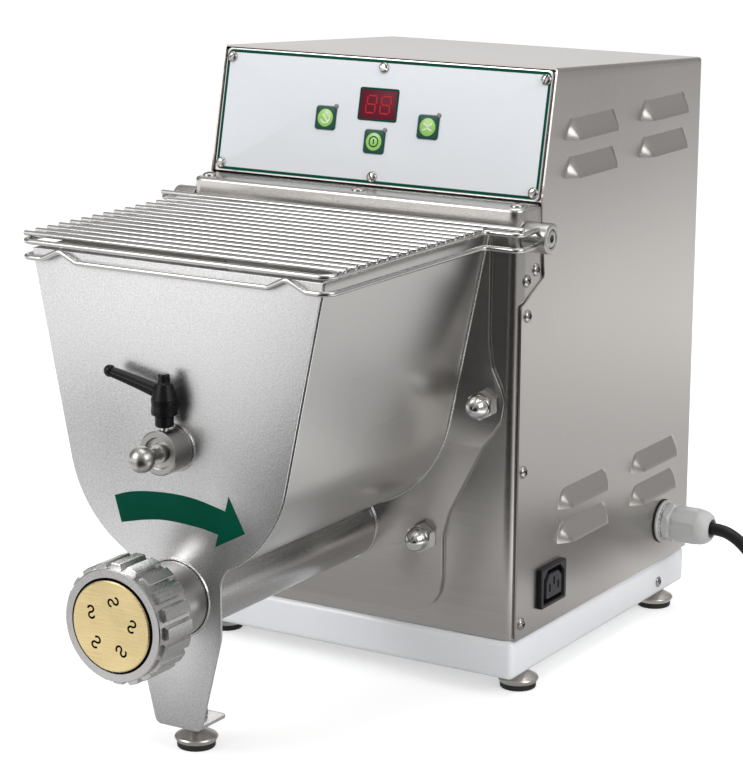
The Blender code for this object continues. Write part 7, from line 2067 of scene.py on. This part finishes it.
@dataclass
class Electrics:
    """The appliance outlet and the cable gland on the right side."""

    wall_x: float = 0.1303
    outlet: tuple[float, float] = (0.04885, 0.06825)
    contacts: tuple[tuple[float, float], ...] = ((-0.006, -0.0014), (0.0, 0.0024), (0.006, -0.0014))
    gland: tuple[float, float] = (0.225, 0.069)
    seal_and_shadow_ring: Profile = ((12, 130), (15.7, 130), (16, 130.5), (15.7, 131.1), (12, 131.1))
    washer: Profile = ((0, 130.9), (15.2, 130.9), (15.5, 131.3), (15.5, 132.5), (15, 132.9), (0, 132.9))
    neck: Profile = ((0, 138.5), (11.8, 138.5), (11.8, 144.5), (0, 144.5))
    thread: Profile = ((0, 130.2), (9.9, 130.2), (9.9, 121), (0, 121))
    nut: tuple[float, float, float] = (0.0251, 0.1345, 0.14)
    flute_radii: tuple[float, float] = (0.0141, 0.0126)
    cap_flats: float = 0.0123
    cap_round: float = 0.0133
    mouth: Profile = ((7, 169.7), (6.4, 169), (6.2, 165), (0.1, 165))

    def build_outlet(self) -> None:
        """Makes the outlet: a flange, a moat cut round an insert with two cut corners, three slots, and
        painted shade in the moat.
        """
        place = sideways(1, self.wall_x, *self.outlet)

        def cut_rectangle(half_x: float, half_y: float, corner: float) -> Points:
            """A rectangle whose two upper corners are cut off."""
            line = [(-half_x, -half_y), (half_x, -half_y), (half_x, half_y - corner),
                    (half_x - corner, half_y), (corner - half_x, half_y), (-half_x, half_y - corner)]
            return rounded_line(line, 0.0012, 3, closed=True)

        outer, inner = cut_rectangle(0.015, 0.0119, 0.0058), cut_rectangle(0.0106, 0.0082, 0.0044)
        moat = layered((outer, 0.0006), (outer, 0.004), (inner, 0.004), (inner, 0.0006))
        knife = Surface().loop(place.put(moat))
        for contact in self.contacts:
            slot = rounded_rectangle(0.0012, 0.0028, 0.0002, 2) + contact
            knife.tube(place.put(layered((slot, 0.0005), (slot, 0.0041))))
        flange = plate(place, rounded_rectangle(0.01765, 0.0138, 0.0012, 3), 0.0, 0.003, 0.0004)
        face = carve(flange, knife, "outlet_flange")
        add_piece("outlet_flange", face, OUTLET_FACE, stands_for=("power_outlet",))
        # Painted shade: a black sheet at the floor of the moat and the slots, where only shadow falls.
        shadow = plate(place, rounded_rectangle(0.0156, 0.0125, 0.001, 3), 0.00045, 0.00075, 0.00005)
        add_piece("outlet_moat_shade", shadow, PAINTED_SHADE_BLACK)
        outer = rounded_rectangle(0.01785, 0.014, 0.0014, 3)
        inner = rounded_rectangle(0.0172, 0.01335, 0.001, 3)
        rim = layered((outer, 0.0), (outer, 0.0026), (inner, 0.0031), (inner, 0.0))
        add_piece("outlet_rim", Surface().loop(place.put(rim)), OUTLET_BLACK)

    def build_gland(self) -> None:
        """Makes the gland: a seal, a hexagon body, a neck, a fluted cap, and a domed end with an open mouth.

        The flutes are a radius that steps in and out three columns at a time. The cap's radius is the flat's
        over the cosine of the angle from its middle, held under the round, and its dome is a quarter ellipse.
        """
        place = sideways(1, 0.0, *self.gland)
        add_piece("gland_seal", turned_ring(place, mm(self.seal_and_shadow_ring), 56), PAD_RUBBER)
        surface = faceted(place, 6, *self.nut, 0.7)
        flutes = np.where(np.arange(144) % 6 < 3, *self.flute_radii)
        levels = ((0.011, 0.1325), (flutes, 0.1325), (flutes, 0.1341), (0.011, 0.1345))
        surface.tube(place.put(rings(np.arange(144) * TAU / 144, *levels)))
        surface.turn(place, mm(self.washer), 64).turn(place, mm(self.neck), 48)
        angle = np.arange(96) * TAU / 96
        facets = self.cap_flats * (1.0 / np.cos((angle + math.pi / 8) % (math.pi / 4) - math.pi / 8))
        facets = np.minimum(facets, self.cap_round)
        turn = np.radians(np.linspace(0.0, 72.0, 12))
        dome = np.column_stack([0.0062 + 0.0067 * np.cos(turn), 0.1597 + 0.01 * np.sin(turn)])
        levels = ((0.01, 0.1424), (0.0124, 0.1424), (facets, 0.1431), (facets, 0.158),
                  (np.minimum(facets, 0.01295), 0.1597), *dome, *mm(self.mouth))
        surface.tube(place.put(rings(angle, *levels))).turn(place, mm(self.thread), 40)
        add_piece("gland_body", surface, GLAND_GREY, stands_for=("cable_gland",))

    def build(self) -> None:
        """Makes both fittings."""
        self.build_outlet()
        self.build_gland()


# The whole machine


INNER_FINISHES = {
    "fascia_backing": COVER_STEEL, "control_board": BOARD_GREEN, "chassis_plate": GEAR_STEEL,
    "motor_saddle": GEAR_STEEL, "motor_body": MOTOR_ENAMEL, "motor_fan": LEVER_BLACK,
    "terminal_box": LEVER_BLACK, "run_capacitor": CAST_ALUMINIUM, "gearbox_cover": CAST_ALUMINIUM,
    "mixer_drive_gear": GEAR_STEEL,
    "auger_drive_gear": GEAR_STEEL, "drive_pinion": GEAR_STEEL, "mixer_bearing": BEARING_BRASS,
    "auger_bearing": BEARING_BRASS, "lid_switch": LEVER_BLACK, "inner_lead": LEAD_RUBBER,
}


def dress_inner_nodes(nodes: dict[str, bpy.types.Object]) -> None:
    """Gives the CAD nodes that stay their materials."""
    for name, node in nodes.items():
        if node.hide_render:
            continue
        for slot in node.material_slots:
            slot.material = INNER_FINISHES[name].material()
        log.info("node %s keeps its shape in %s", name, INNER_FINISHES[name].name)


def build_scene() -> None:
    """Builds the studio and the machine, one sub-assembly after another."""
    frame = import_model()
    Studio().build()
    for part in (MainsLead(), Base(), Casing(), Fascia(), Hopper(), Extruder(), Mixer(), Lid(), Electrics()):
        part.build()
        log.info("%s is done", type(part).__name__)
    dress_inner_nodes(frame["nodes"])


if __name__ == "__main__":
    logging.basicConfig(level=logging.INFO)
    build_scene()
